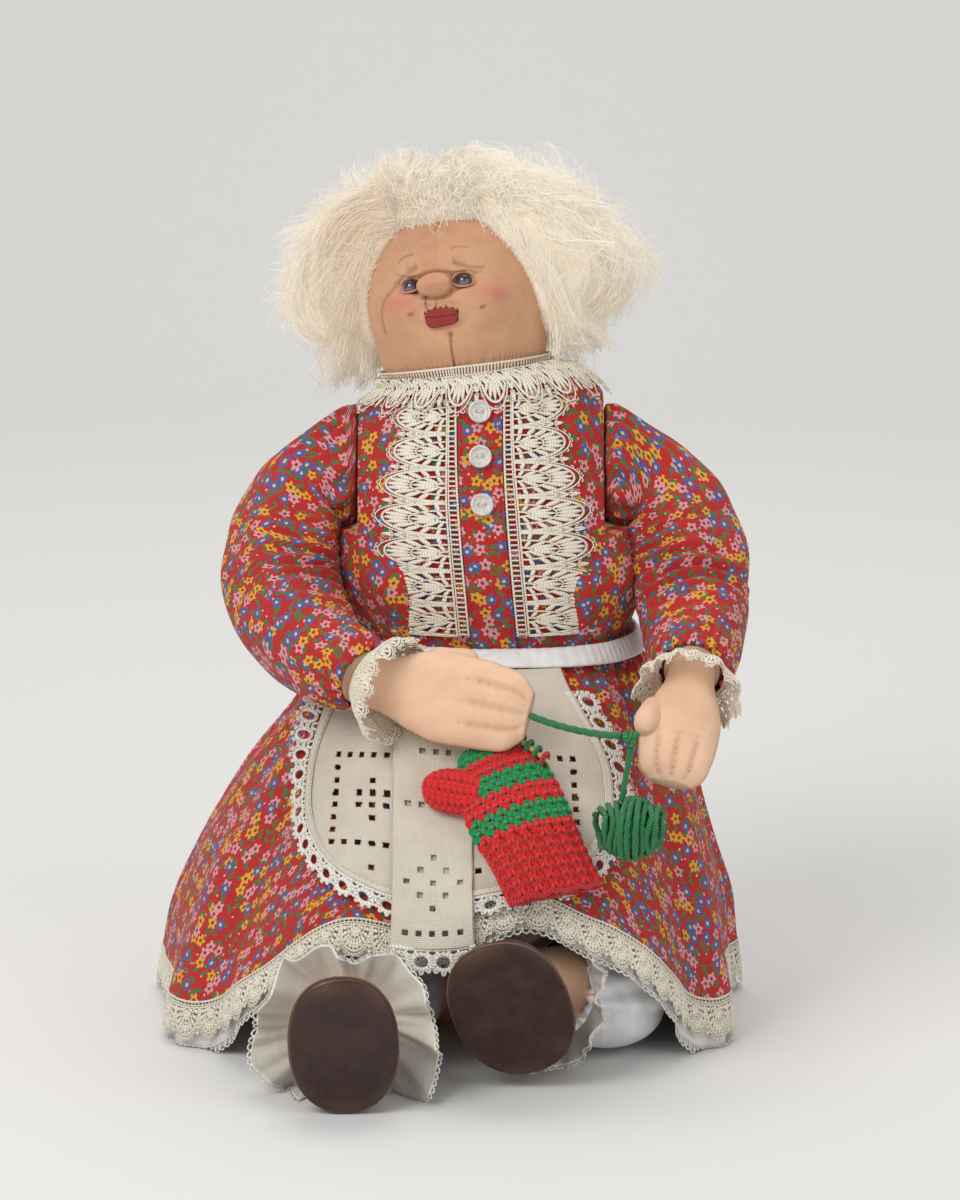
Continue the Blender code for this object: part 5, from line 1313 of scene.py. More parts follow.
def above_waist(across: float, back: float, rise: float) -> Array:
    """Place of the arms and the knitting, whose height counts from the waist seam."""
    return np.array((across, back, TORSO.height * TORSO.waist_share + rise))


def frames_along(points: Sequence, shares: Array, seam: Optional[Array] = None) -> list:
    """Frames that turn as little as they can along a curve; the first lies in a seam's plane."""
    frames, side = [], None
    for share in shares:
        along = spine_way(points, np.array([share]))[0]
        if seam is not None:
            ease = float(smooth_step(np.array(share / 0.3)))
            along = unit(seam * (1 - ease) + along * ease)
        hint = np.array((0.0, 1.0, 0.0)) if side is None else side
        side, rise, along = frame_from(along, hint)
        frames.append((spine(points, np.array([share]))[0], side, rise, along))
    return frames


def ring_at(centre: Array, side: Array, rise: Array, half_width: float, half_height: float,
            sides: int, power: float = 2.0) -> Array:
    """Ring of points round a centre."""
    turn = ring_turns(sides)
    sine, cosine = np.sin(turn), np.cos(turn)
    across = half_width * np.copysign(np.abs(cosine) ** (2 / power), cosine)
    upward = half_height * np.copysign(np.abs(sine) ** (2 / power), sine)
    return centre + side * across[:, None] + rise * upward[:, None]


@dataclass(frozen=True)
class ArmForm:
    """One arm from the shoulder seam round the elbow to the wrist and the fingertips."""

    side: Side
    radius: float = 0.0165
    sleeve_ease: float = 0.0010
    sleeve_puff: float = 0.0026

    @property
    def route(self) -> tuple:
        """Listed points between the shoulder and the wrist."""
        if self.side is Side.RIGHT:
            return ((-0.0770, 0.009, 0.0558), (-0.0860, -0.003, 0.0368),
                    (-0.0860, -0.022, 0.0178), (-0.0740, -0.047, 0.0048))
        return ((0.0630, 0.010, 0.0568), (0.0745, 0.001, 0.0368),
                (0.0775, -0.017, 0.0158), (0.0775, -0.040, 0.0038))

    @property
    def wrist(self) -> Array:
        """Where the hand leaves the sleeve."""
        if self.side is Side.RIGHT:
            return above_waist(-0.0530, -0.0710, -0.0027)
        return above_waist(0.0755, -0.0620, -0.0022)

    @property
    def tip(self) -> Array:
        """Where the fingertips end."""
        if self.side is Side.RIGHT:
            return above_waist(0.0110, -0.0930, -0.0122)
        return above_waist(0.0655, -0.1025, -0.0372)

    def frames(self, shares: Array) -> list:
        """Frames along the arm."""
        sign = self.side.value
        start = TORSO.shoulder(self.side) + np.array((sign * 2 * GAP, 0, 0))
        points = [start] + [above_waist(*place) for place in self.route] + [self.wrist]
        return frames_along(points, shares, np.array((sign, 0.0, 0.0)))

    def wrist_frame(self) -> tuple:
        """Place, side, rise and direction of the arm where the hand starts."""
        return self.frames(np.linspace(0, 1, 9))[-1]

    def rings(self, shares: Array, offset: float, sides: int, puff: float = 0.0) -> Array:
        """Rings round the arm at an offset, in a grid."""
        rings = []
        for share, (centre, side, rise, _) in zip(shares, self.frames(shares)):
            swell = 0.14 * math.sin(math.pi * min(share * 1.1, 1)) - 0.10 * share ** 2
            radius = self.radius * (0.92 + swell) + offset + puff * math.sin(math.pi * share)
            rings.append(ring_at(centre, side, rise, radius, radius, sides))
        return np.array(rings)


@dataclass(frozen=True)
class LegForm:
    """One leg from its round hip to the ankle, and the foot behind its sole."""

    side: Side
    hip_spacing: float = 0.060
    hip_forward: float = 0.034
    hip_height: float = 0.0265
    radius: float = 0.0215
    swell: float = 0.0015
    ankle_radius: float = 0.0125
    foot_depth: float = 0.025
    heel_share: float = 0.28
    shoe_wall: float = 0.0013
    foot_shares: tuple = ((0.0, 1.0), (0.24, 0.97), (0.52, 0.83), (0.78, 0.64))

    @property
    def hip(self) -> Array:
        """Centre of the hip's round end."""
        return np.array((self.side.value * self.hip_spacing / 2, -self.hip_forward,
                         self.hip_height))

    @property
    def knee(self) -> Array:
        """Middle of the leg."""
        return np.array((-0.050, -0.088, 0.0255) if self.side is Side.RIGHT
                        else (0.043, -0.072, 0.0265))

    @property
    def sole_sizes(self) -> tuple[float, float]:
        """Half width and half length of the sole."""
        return (0.0195, 0.0268) if self.side is Side.RIGHT else (0.0215, 0.0300)

    def foot(self) -> tuple[Array, Array, Array, Array]:
        """Middle of the sole with its side, toe and outward directions."""
        right = self.side is Side.RIGHT
        place = np.array((-0.060, -0.1605, 0.0285) if right else (0.004, -0.1360, 0.0355))
        toe = unit(np.array((-0.03, -0.14, 1.0) if right else (-0.30, -0.34, 0.90)))
        side = unit(np.array((1.0, 0, 0)) - toe * toe[0])
        return place, side, toe, np.cross(side, toe)

    @property
    def ankle(self) -> Array:
        """Where the leg enters the shoe."""
        place, _, toe, out = self.foot()
        return place - out * self.foot_depth - toe * self.sole_sizes[1] * self.heel_share

    @property
    def points(self) -> list:
        """Listed points of the leg."""
        return [self.hip, self.knee, self.ankle]

    def ring(self, share: float, side: Array, offset: float, sides: int) -> tuple:
        """Ring round the leg and the side direction for the next one."""
        centre = spine(self.points, np.array([share]))[0]
        side, rise, _ = frame_from(spine_way(self.points, np.array([share]))[0], side)
        radius = self.radius + (self.ankle_radius - self.radius) * share ** 1.6
        radius += self.swell * math.sin(math.pi * share) + offset
        return ring_at(centre, side, rise, radius, radius, sides), side

    def rings(self, shares: Array, offset: Callable[[float], float], sides: int) -> Array:
        """Rings round the leg, in a grid."""
        side, rings = np.array((1.0, 0, 0)), []
        for share in shares:
            ring, side = self.ring(float(share), side, offset(float(share)), sides)
            rings.append(ring)
        return np.array(rings)

    def sole_ring(self, depth: float, grow: float, shrink: float, sides: int) -> Array:
        """Outline of the foot at a depth behind the sole."""
        place, side, toe, out = self.foot()
        wide, long = self.sole_sizes
        heelward = long * self.heel_share * float(smooth_step(np.array(depth / self.foot_depth)))
        centre = place - out * depth - toe * heelward
        return ring_at(centre, side, toe, (wide - self.shoe_wall) * shrink + grow,
                       (long - self.shoe_wall) * shrink + grow, sides, 2.3)


@dataclass
class Studio:
    """Camera at the photograph's viewing angle, a pale sweep and soft lamps."""

    camera_place: tuple = (-0.008, -2.035, 0.614)
    camera_tilt_deg: float = 77.6
    lens_mm: float = 154.2
    sensor_mm: float = 36.0
    sweep_half_width: float = 3.0
    sweep_front: float = -2.6
    sweep_back: float = 1.3
    sweep_radius: float = 0.9
    sweep_top: float = 2.6

    def camera(self) -> Piece:
        """Camera that sees the doll as the photograph does."""
        data = bpy.data.cameras.new("camera")
        data.lens, data.sensor_width = self.lens_mm, self.sensor_mm
        made = bpy.data.objects.new("camera", data)
        made.location = self.camera_place
        made.rotation_euler = (math.radians(self.camera_tilt_deg), 0, 0)
        bpy.context.collection.objects.link(made)
        bpy.context.scene.camera = made
        return made

    def sweep(self) -> Piece:
        """Seamless paper sweep: floor that bends up into a backdrop."""
        bend = np.linspace(0, math.pi / 2, 24)
        y = np.concatenate([[self.sweep_front], self.sweep_back + self.sweep_radius * np.sin(bend),
                            [self.sweep_back + self.sweep_radius]])
        z = np.concatenate([[0.0], self.sweep_radius * (1 - np.cos(bend)), [self.sweep_top]])
        x = np.array([-self.sweep_half_width, self.sweep_half_width])
        points = np.stack(np.broadcast_arrays(x[None, :], y[:, None], z[:, None]), -1)
        made = mesh_object("paper_sweep", points, Grid(points).quads())
        data = bpy.data.materials.new("matt_paper")
        data.use_nodes = True
        shader = data.node_tree.nodes["Principled BSDF"]
        shader.inputs["Base Color"].default_value = linear("#E7E6E3")
        shader.inputs["Roughness"].default_value = 0.95
        made.data.materials.append(data)
        return made

    def lamp(self, name: str, place: tuple, aim: tuple, size: float, watts: float) -> None:
        """Square soft box."""
        data = bpy.data.lights.new(name, "AREA")
        data.size, data.energy = size, watts
        made = bpy.data.objects.new(name, data)
        made.location = place
        way = Vector(aim) - Vector(place)
        made.rotation_euler = way.to_track_quat("-Z", "Y").to_euler()
        bpy.context.collection.objects.link(made)

    def light(self) -> None:
        """Soft key from the upper left, weaker fill, and an even surround."""
        middle = (0.0, -0.03, 0.15)
        self.lamp("key_soft_box", (-0.9, -1.1, 1.35), middle, 1.0, 17.0)
        self.lamp("fill_soft_box", (1.3, -1.3, 0.9), middle, 1.4, 7.0)
        self.lamp("top_soft_box", (0.1, 0.5, 1.7), middle, 1.2, 7.0)
        self.lamp("backdrop_soft_box", (0.0, 0.9, 2.4), (0.0, 2.2, 0.9), 1.6, 12.0)
        world = bpy.data.worlds.new("surround")
        world.use_nodes = True
        ground = world.node_tree.nodes["Background"]
        ground.inputs["Color"].default_value = linear("#F2F3F5")
        ground.inputs["Strength"].default_value = 0.42
        bpy.context.scene.world = world

    def build(self) -> None:
        """Set up the whole studio."""
        self.camera()
        self.sweep()
        self.light()
        bpy.context.scene.view_settings.view_transform = "Standard"


def tube_frames(path: Array) -> tuple[Array, Array]:
    """Side and rise directions along a path, turning as little as they can."""
    way = unit(np.gradient(path, axis=0))
    side = np.empty_like(path)
    hint = np.array((0.31, 0.52, 0.79))
    for index, along in enumerate(way):
        hint = unit(hint - along * hint.dot(along))
        side[index] = hint
    return side, np.cross(way, side)


def plied_tube(name: str, path: Array, diameter: float, plies: int = 3,
               pitch: float = 0.0048, groove: float = 0.20, sides: int = 12) -> Piece:
    """Yarn whose plies wind round each other.

    Args:
        name: the object's name.
        path: its middle line, with points about a third of a diameter apart.
        diameter: over the plies.
        plies: number of them.
        pitch: length in which a ply goes once round.
        groove: depth between plies as a share of the radius.
        sides: points round it.

    Returns:
        The tube.
    """
    side, rise = tube_frames(path)
    run = lengths_along(path[None], 1)[0]
    turn = ring_turns(sides)
    phase = plies * (turn[None, :] - TAU * run[:, None] / pitch / plies)
    radius = diameter / 2 * (1 - groove * (0.5 - 0.5 * np.cos(phase)))
    ring = (path[:, None] + side[:, None] * (np.cos(turn) * radius)[..., None]
            + rise[:, None] * (np.sin(turn) * radius)[..., None])
    return Grid(ring, True).skin(name)


def even_path(points: Array, step: float) -> Array:
    """Path through points with even steps along it."""
    run = lengths_along(points[None], 1)[0]
    count = max(int(run[-1] / step), 2)
    places = np.linspace(0, run[-1], count + 1)
    return np.stack([np.interp(places, run, points[:, axis]) for axis in range(3)], -1)


@dataclass
class Yarn:
    """Green yarn: the strand between the hands, its knot, and the wound ball on its drop."""

    diameter: float = 0.0030
    knot_radius: float = 0.0034
    knot: tuple = (0.0500, -0.1190, -0.0147)
    sag: float = 0.0016
    ball_radius: float = 0.0112
    ball_half_length: float = 0.0140
    ball_drop: float = 0.0215
    ball_yarn: float = 0.0026
    loops: int = 10
    wraps: int = 3
    points_per_loop: int = 48

    def strand(self) -> Piece:
        """Strand from the right hand's fingertips to the knot."""
        knot, start = above_waist(*self.knot), ArmForm(Side.RIGHT).tip
        away = unit(knot - start)
        start = start + away * GAP * 3
        end = knot - away * (self.knot_radius + GAP * 2)
        low = np.array((0.0, 0.75, 1.0, 0.75, 0.0)) * self.sag
        route = [start + (end - start) * part - UP * drop
                 for part, drop in zip(np.linspace(0, 1, 5), low)]
        path = even_path(spine(route, np.linspace(0, 1, 60)), self.diameter / 5)
        made = plied_tube("yarn_strand_plied", path, self.diameter)
        self.tie()
        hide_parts("yarn_strand")
        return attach(made, "left_arm")

    def tie(self) -> Piece:
        """Overhand knot where the yarn turns down, with its loops pulled tight."""
        part = np.linspace(0, 1, 120)
        angle = part * TAU
        size = self.knot_radius * 0.55
        path = np.stack([size * (np.sin(angle) + 1.25 * np.sin(2 * angle)) * 0.62,
                         size * np.sin(3 * angle) * 0.9,
                         size * (np.cos(angle) - 1.25 * np.cos(2 * angle)) * 0.62], -1)
        made = plied_tube("yarn_knot_tied", above_waist(*self.knot) + path,
                          self.diameter * 0.92)
        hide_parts("yarn_knot")
        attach(made, "left_arm")
        GREEN_WOOL.give(made)
        return made

    def ball_path(self) -> Array:
        """Drop from the knot, then the loops of the ball, as one line."""
        knot = above_waist(*self.knot)
        centre = knot - UP * (self.knot_radius + self.ball_drop + self.ball_radius)
        top = knot - UP * (self.knot_radius + GAP * 2)
        count = self.loops * self.points_per_loop
        part = np.linspace(0, 1, count + 1)
        radius = self.ball_radius - self.ball_yarn / 2
        half = self.ball_half_length - self.ball_yarn / 2
        along = half * (2 * part - 1)
        reach = radius * np.sqrt(np.maximum(1 - np.abs(along / (half * 1.12)) ** 3.2, 0))
        reach = reach * (1 + 0.04 * wobble(part * self.loops, 3, low=0.3, high=0.8))
        turn = TAU * self.loops * part
        lean = 0.10 * along * np.sin(turn + 0.6)
        rings = np.stack([along + lean + 0.0006 * wobble(part * self.loops, 9),
                          reach * np.sin(turn), reach * np.cos(turn)], -1)
        wrap_part = np.linspace(0, 1, self.wraps * self.points_per_loop + 1)
        turn = TAU * self.wraps * wrap_part
        tilt = 0.20 + 0.16 * np.sin(TAU * 0.5 * wrap_part + 0.4)
        wide, tall = half * 0.55 + self.ball_yarn * 0.2, radius + self.ball_yarn * 0.66
        wraps = np.stack([wide * np.sin(turn) * tilt + (wrap_part - 0.5) * self.ball_yarn * 2.6,
                          tall * np.sin(turn), tall * np.cos(turn)], -1)
        drop = np.linspace(top, centre + wraps[0] + UP * self.ball_yarn * 0.1, 14)
        whole = np.concatenate([drop[:-1], centre + wraps, centre + rings[::-1]])
        return even_path(whole, self.ball_yarn / 4)

    def ball(self) -> Piece:
        """Drop and wound ball, one unbroken yarn over a wound core."""
        path = self.ball_path()
        made = plied_tube("yarn_ball_wound", path, self.ball_yarn, sides=9)
        self.core()
        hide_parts("yarn_drop", "yarn_ball")
        GREEN_WOOL.give(made)
        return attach(made, "yarn_ball")

    def core(self) -> Piece:
        """Older layers of the ball, seen between the loops."""
        knot = above_waist(*self.knot)
        centre = knot - UP * (self.knot_radius + self.ball_drop + self.ball_radius)
        share = np.linspace(-0.97, 0.97, 40)[:, None]
        turn = ring_turns(40)[None, :]
        half = self.ball_half_length - self.diameter * 0.8
        reach = (self.ball_radius - self.diameter * 0.95) * np.sqrt(1 - share ** 2)
        reach = reach * (1 + 0.05 * np.cos(26 * share + 2 * np.sin(turn)))
        points = centre + np.stack([half * share + 0 * turn, reach * np.cos(turn),
                                    reach * np.sin(turn)], -1)
        made = Grid(points, True).skin("yarn_ball_inner_layers")
        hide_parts("yarn_ball_core")
        GREEN_WOOL.give(made)
        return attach(made, "yarn_ball")

    def build(self) -> None:
        """Make all the green yarn."""
        GREEN_WOOL.give(self.strand())
        self.ball()
        LOG.info("yarn: strand, knot and ball")


@dataclass
class LaceUnit:
    """One repeat of a bobbin or crochet pattern, drawn in millimetres.

    Along the band it runs from 0 to pitch, and across it from 0 at the sewn edge to width.
    """

    pitch: float
    width: float
    thread: float = 0.62

    def line(self, *points: tuple, width: float = 0.0, lift: float = 0.0,
             steps_mm: float = 0.6) -> Strand:
        """Straight or bent thread through points."""
        whole = np.array(points, float)
        run = np.concatenate([[0], np.cumsum(np.hypot(*np.diff(whole, axis=0).T))])
        places = np.linspace(0, run[-1], max(int(run[-1] / steps_mm), 1) + 1)
        path = np.stack([np.interp(places, run, whole[:, axis]) for axis in (0, 1)], -1)
        return Strand(path, width or self.thread, self.thread * 0.8, lift)

    def arc(self, centre: tuple, radius: float, start_deg: float, end_deg: float,
            width: float = 0.0, count: int = 14, squash: float = 1.0,
            lift: float = 0.0) -> Strand:
        """Curved thread."""
        angle = np.radians(np.linspace(start_deg, end_deg, count))
        path = np.stack([centre[0] + radius * np.cos(angle),
                         centre[1] + radius * squash * np.sin(angle)], -1)
        return Strand(path, width or self.thread, self.thread * 0.8, lift)

    def leaf(self, start: tuple, end: tuple, fat: float, lift: float = 0.1) -> Strand:
        """Woven leaf: a thread that swells in its middle."""
        part = np.linspace(0, 1, 8)
        path = np.array(start) + (np.array(end) - np.array(start)) * part[:, None]
        swell = self.thread * 0.7 + (fat - self.thread * 0.7) * np.sin(math.pi * part)
        return Strand(path, swell, self.thread * 0.9, lift)

    def strands(self) -> list[Strand]:
        """Threads of one repeat."""
        raise NotImplementedError

    def along(self, length: float) -> list[Strand]:
        """Threads of a whole band, with its repeats stretched to fit evenly."""
        count = max(round(length / self.pitch), 1)
        stretch = length / count / self.pitch
        whole = []
        for index in range(count):
            for strand in self.strands():
                path = strand.path.copy()
                path[:, 0] = (path[:, 0] + index * self.pitch) * stretch
                whole.append(Strand(path, strand.width, strand.thickness, strand.lift))
        return whole


@dataclass
class FanLace(LaceUnit):
    """Torchon fan: a ladder at the sewn edge, a shell of woven leaves and a picot edge."""

    pitch: float = 13.5
    width: float = 20.0
    thread: float = 0.60
    rungs: int = 7
    leaves: tuple = (7, 11)
    picots: int = 13
    fat: float = 1.9

    def strands(self) -> list[Strand]:
        """Ladder, two rounds of leaves between their arcs, corner crossings and picots."""
        p, w = self.pitch, self.width
        ladder = 0.11 * w
        whole = [self.line((0, 0.3), (p, 0.3), width=0.9), self.line((0, ladder), (p, ladder)),
                 self.line((0, ladder + 0.9), (p, ladder + 0.9), width=0.8)]
        for index in range(self.rungs):
            x = p * (index + 0.5) / self.rungs
            whole.append(self.line((x, 0.3), (x, ladder), width=0.7))
        centre = (p / 2, ladder + 1.0)
        reach = w - centre[1] - 1.5
        tall = reach / (p / 2)

        def spot(angle: float, part: float) -> tuple:
            """Place on the shell, by its angle in degrees and its share of the reach."""
            turn = math.radians(angle)
            return (centre[0] + p / 2 * part * math.cos(turn),
                    centre[1] + reach * part * math.sin(turn))

        for count, start, end in zip(self.leaves, (0.16, 0.55), (0.52, 0.93)):
            for angle in np.linspace(180 / count * 0.6, 180 - 180 / count * 0.6, count):
                whole.append(self.leaf(spot(angle, start), spot(angle, end),
                                       self.fat * (0.62 + 0.38 * end)))
        for part, width in ((0.14, 0.9), (0.54, 0.75), (0.95, 1.1), (1.06, 0.6)):
            whole.append(self.arc(centre, p / 2 * part, 0, 180, width, 26, tall))
        for x, sign in ((0.0, 1), (p, -1)):
            foot = centre[1] + reach * 0.42
            for rise in (0.0, 0.18, 0.36):
                whole.append(self.leaf((x, foot + reach * (rise + 0.18)),
                                       (x + sign * p * (0.10 - 0.15 * rise), foot + reach * rise),
                                       1.0))
            whole.append(self.line((x, foot), (x, w - reach * 0.12), width=0.8))
        for angle in np.linspace(7, 173, self.picots):
            whole.append(self.arc(spot(angle, 1.09), 0.7, angle - 100, angle + 100, 0.5, 7))
        return whole


def narrow_fan(width: float, pitch: float = 9.0) -> FanLace:
    """Narrow torchon edging for the cuffs and the collar."""
    return FanLace(pitch, width, 0.50, rungs=5, leaves=(5, 8), picots=9, fat=1.5)


@dataclass
class CrochetScallop(LaceUnit):
    """Crocheted shell edging: a ring of chain round a hole, with fat picots."""

    pitch: float = 10.0
    width: float = 10.5
    thread: float = 1.0

    def strands(self) -> list[Strand]:
        """Edge row, chain ring with its hole, and picots."""
        p = self.pitch
        centre, radius = (p / 2, 5.6), 3.3
        whole = [self.line((0, 0.6), (p, 0.6), width=1.7),
                 self.arc((0, 1.4), 1.9, 0, 90, width=1.3, count=7),
                 self.arc((p, 1.4), 1.9, 90, 180, width=1.3, count=7),
                 self.arc(centre, radius, -215, 35, width=1.9, count=26, squash=0.92),
                 self.arc(centre, radius, -90, 270, width=1.7, count=26, squash=0.92)]
        for angle in (-8, 22, 52, 90, 128, 158, 188):
            way = (math.cos(math.radians(angle)), math.sin(math.radians(angle)))
            spot = (centre[0] + (radius + 1.2) * way[0], centre[1] + (radius + 1.0) * way[1])
            whole.append(self.arc(spot, 0.62, angle - 150, angle + 150, count=9, width=0.95,
                                  lift=0.15))
        return whole


@dataclass
class PicotEdge(LaceUnit):
    """Narrow looped edging of the petticoat and the ruffles."""

    pitch: float = 3.2
    width: float = 3.0
    thread: float = 0.55

    def strands(self) -> list[Strand]:
        """A rail and one loop."""
        p = self.pitch
        return [self.line((0, 0.2), (p, 0.2), width=0.9),
                self.arc((p / 2, 0.3), p * 0.46, 0, 180, width=0.8, count=9, squash=1.25)]


NARROWEST_CUT = 0.0102


def dressed(made: Piece, body: str, *nodes: str) -> Piece:
    """Let a piece ride on a body and stand for solids."""
    if nodes:
        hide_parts(*nodes)
    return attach(made, body)


def cloth(made: Piece, grid: Grid, rests_on: Sequence[str],
          with_pieces: Sequence[Piece] = ()) -> Piece:
    """Work out the flat size to which a sheet of cloth is cut by its grid, a narrow one with its
    turnings, and give the piece back.
    """
    flat = tuple(max(length, NARROWEST_CUT) for length in grid.flat_size())
    return made


def stitches(name: str, path: Array, facing: Array, length_mm: float, gap_mm: float,
             thread_mm: float) -> Piece:
    """Row of sewn stitches: short raised threads along a line.

    Args:
        name: the object's name.
        path: the line, in metres.
        facing: outward normals along it.
        length_mm: length of a stitch.
        gap_mm: space between two.
        thread_mm: the thread's thickness.

    Returns:
        The stitches, as one mesh.
    """
    run = lengths_along(path[None], 1)[0] / MM
    starts = np.arange(0, run[-1] - length_mm, length_mm + gap_mm)
    part = np.linspace(0, 1, 6)
    rings, sides = [], 6
    turn = ring_turns(sides)
    for start in starts:
        places = start + length_mm * part
        spot = np.stack([np.interp(places, run, path[:, axis]) for axis in range(3)], -1)
        out = unit(np.stack([np.interp(places, run, facing[:, axis]) for axis in range(3)], -1))
        spot = spot + out * ((np.sin(math.pi * part) * 0.7 - 0.25) * thread_mm * MM)[:, None]
        way = unit(np.gradient(spot, axis=0))
        sideways = unit(np.cross(way, out))
        fat = thread_mm * MM / 2 * (0.5 + 0.5 * np.sin(math.pi * part))[:, None, None]
        rings.append(spot[:, None] + sideways[:, None] * np.cos(turn)[None, :, None] * fat
                     + np.cross(sideways, way)[:, None] * np.sin(turn)[None, :, None] * fat)
    faces, uv, points = [], [], []
    for index, ring in enumerate(rings):
        grid = Grid(ring, True)
        faces.append(grid.quads() + index * ring.shape[0] * sides)
        uv.append(grid.pattern().reshape(-1, 2))
        points.append(ring.reshape(-1, 3))
    return mesh_object(name, np.concatenate(points), np.concatenate(faces), np.concatenate(uv))


@dataclass
class Body:
    """Stuffed torso and neck, which the clothes almost hide."""

    rows: int = 120
    sides: int = 160

    def torso(self) -> Piece:
        """Muslin torso with soft dimples from its stuffing."""
        share = np.linspace(0, 0.962, self.rows)[:, None]
        turn = ring_turns(self.sides)[None, :]
        turn, share = np.broadcast_arrays(turn, share)
        points = TORSO.surface(turn, share)
        inward = -0.0004 * (1 + rumple(points, 0.030, 5)) * smooth_step(share / 0.05)
        points = lifted(TORSO.surface, turn, share, inward)
        points = TORSO.limited(points, share, COTTON + GAP)
        made = Grid(points, True).skin("torso_stuffed")
        MUSLIN.give(made)
        return dressed(made, "torso", "torso")

    def neck(self) -> Piece:
        """Round stuffed neck under the head seam."""
        side, back, axis = HEAD.axes()
        low, high = math.radians(86), math.asin(HEAD.seam_drop / HEAD.neck_radius)
        rings = []
        for angle in np.linspace(low, high, 30):
            radius = HEAD.neck_radius * math.cos(angle)
            centre = HEAD.pivot() - axis * HEAD.neck_radius * math.sin(angle)
            rings.append(ring_at(centre, side, back, radius, radius, 72))
        made = Grid(np.array(rings), True).skin("neck_stuffed")
        FACE_CLOTH.give(made)
        return dressed(made, "neck", "neck")

    def build(self) -> None:
        """Make the torso and the neck."""
        self.torso()
        self.neck()
        LOG.info("body: torso and neck")


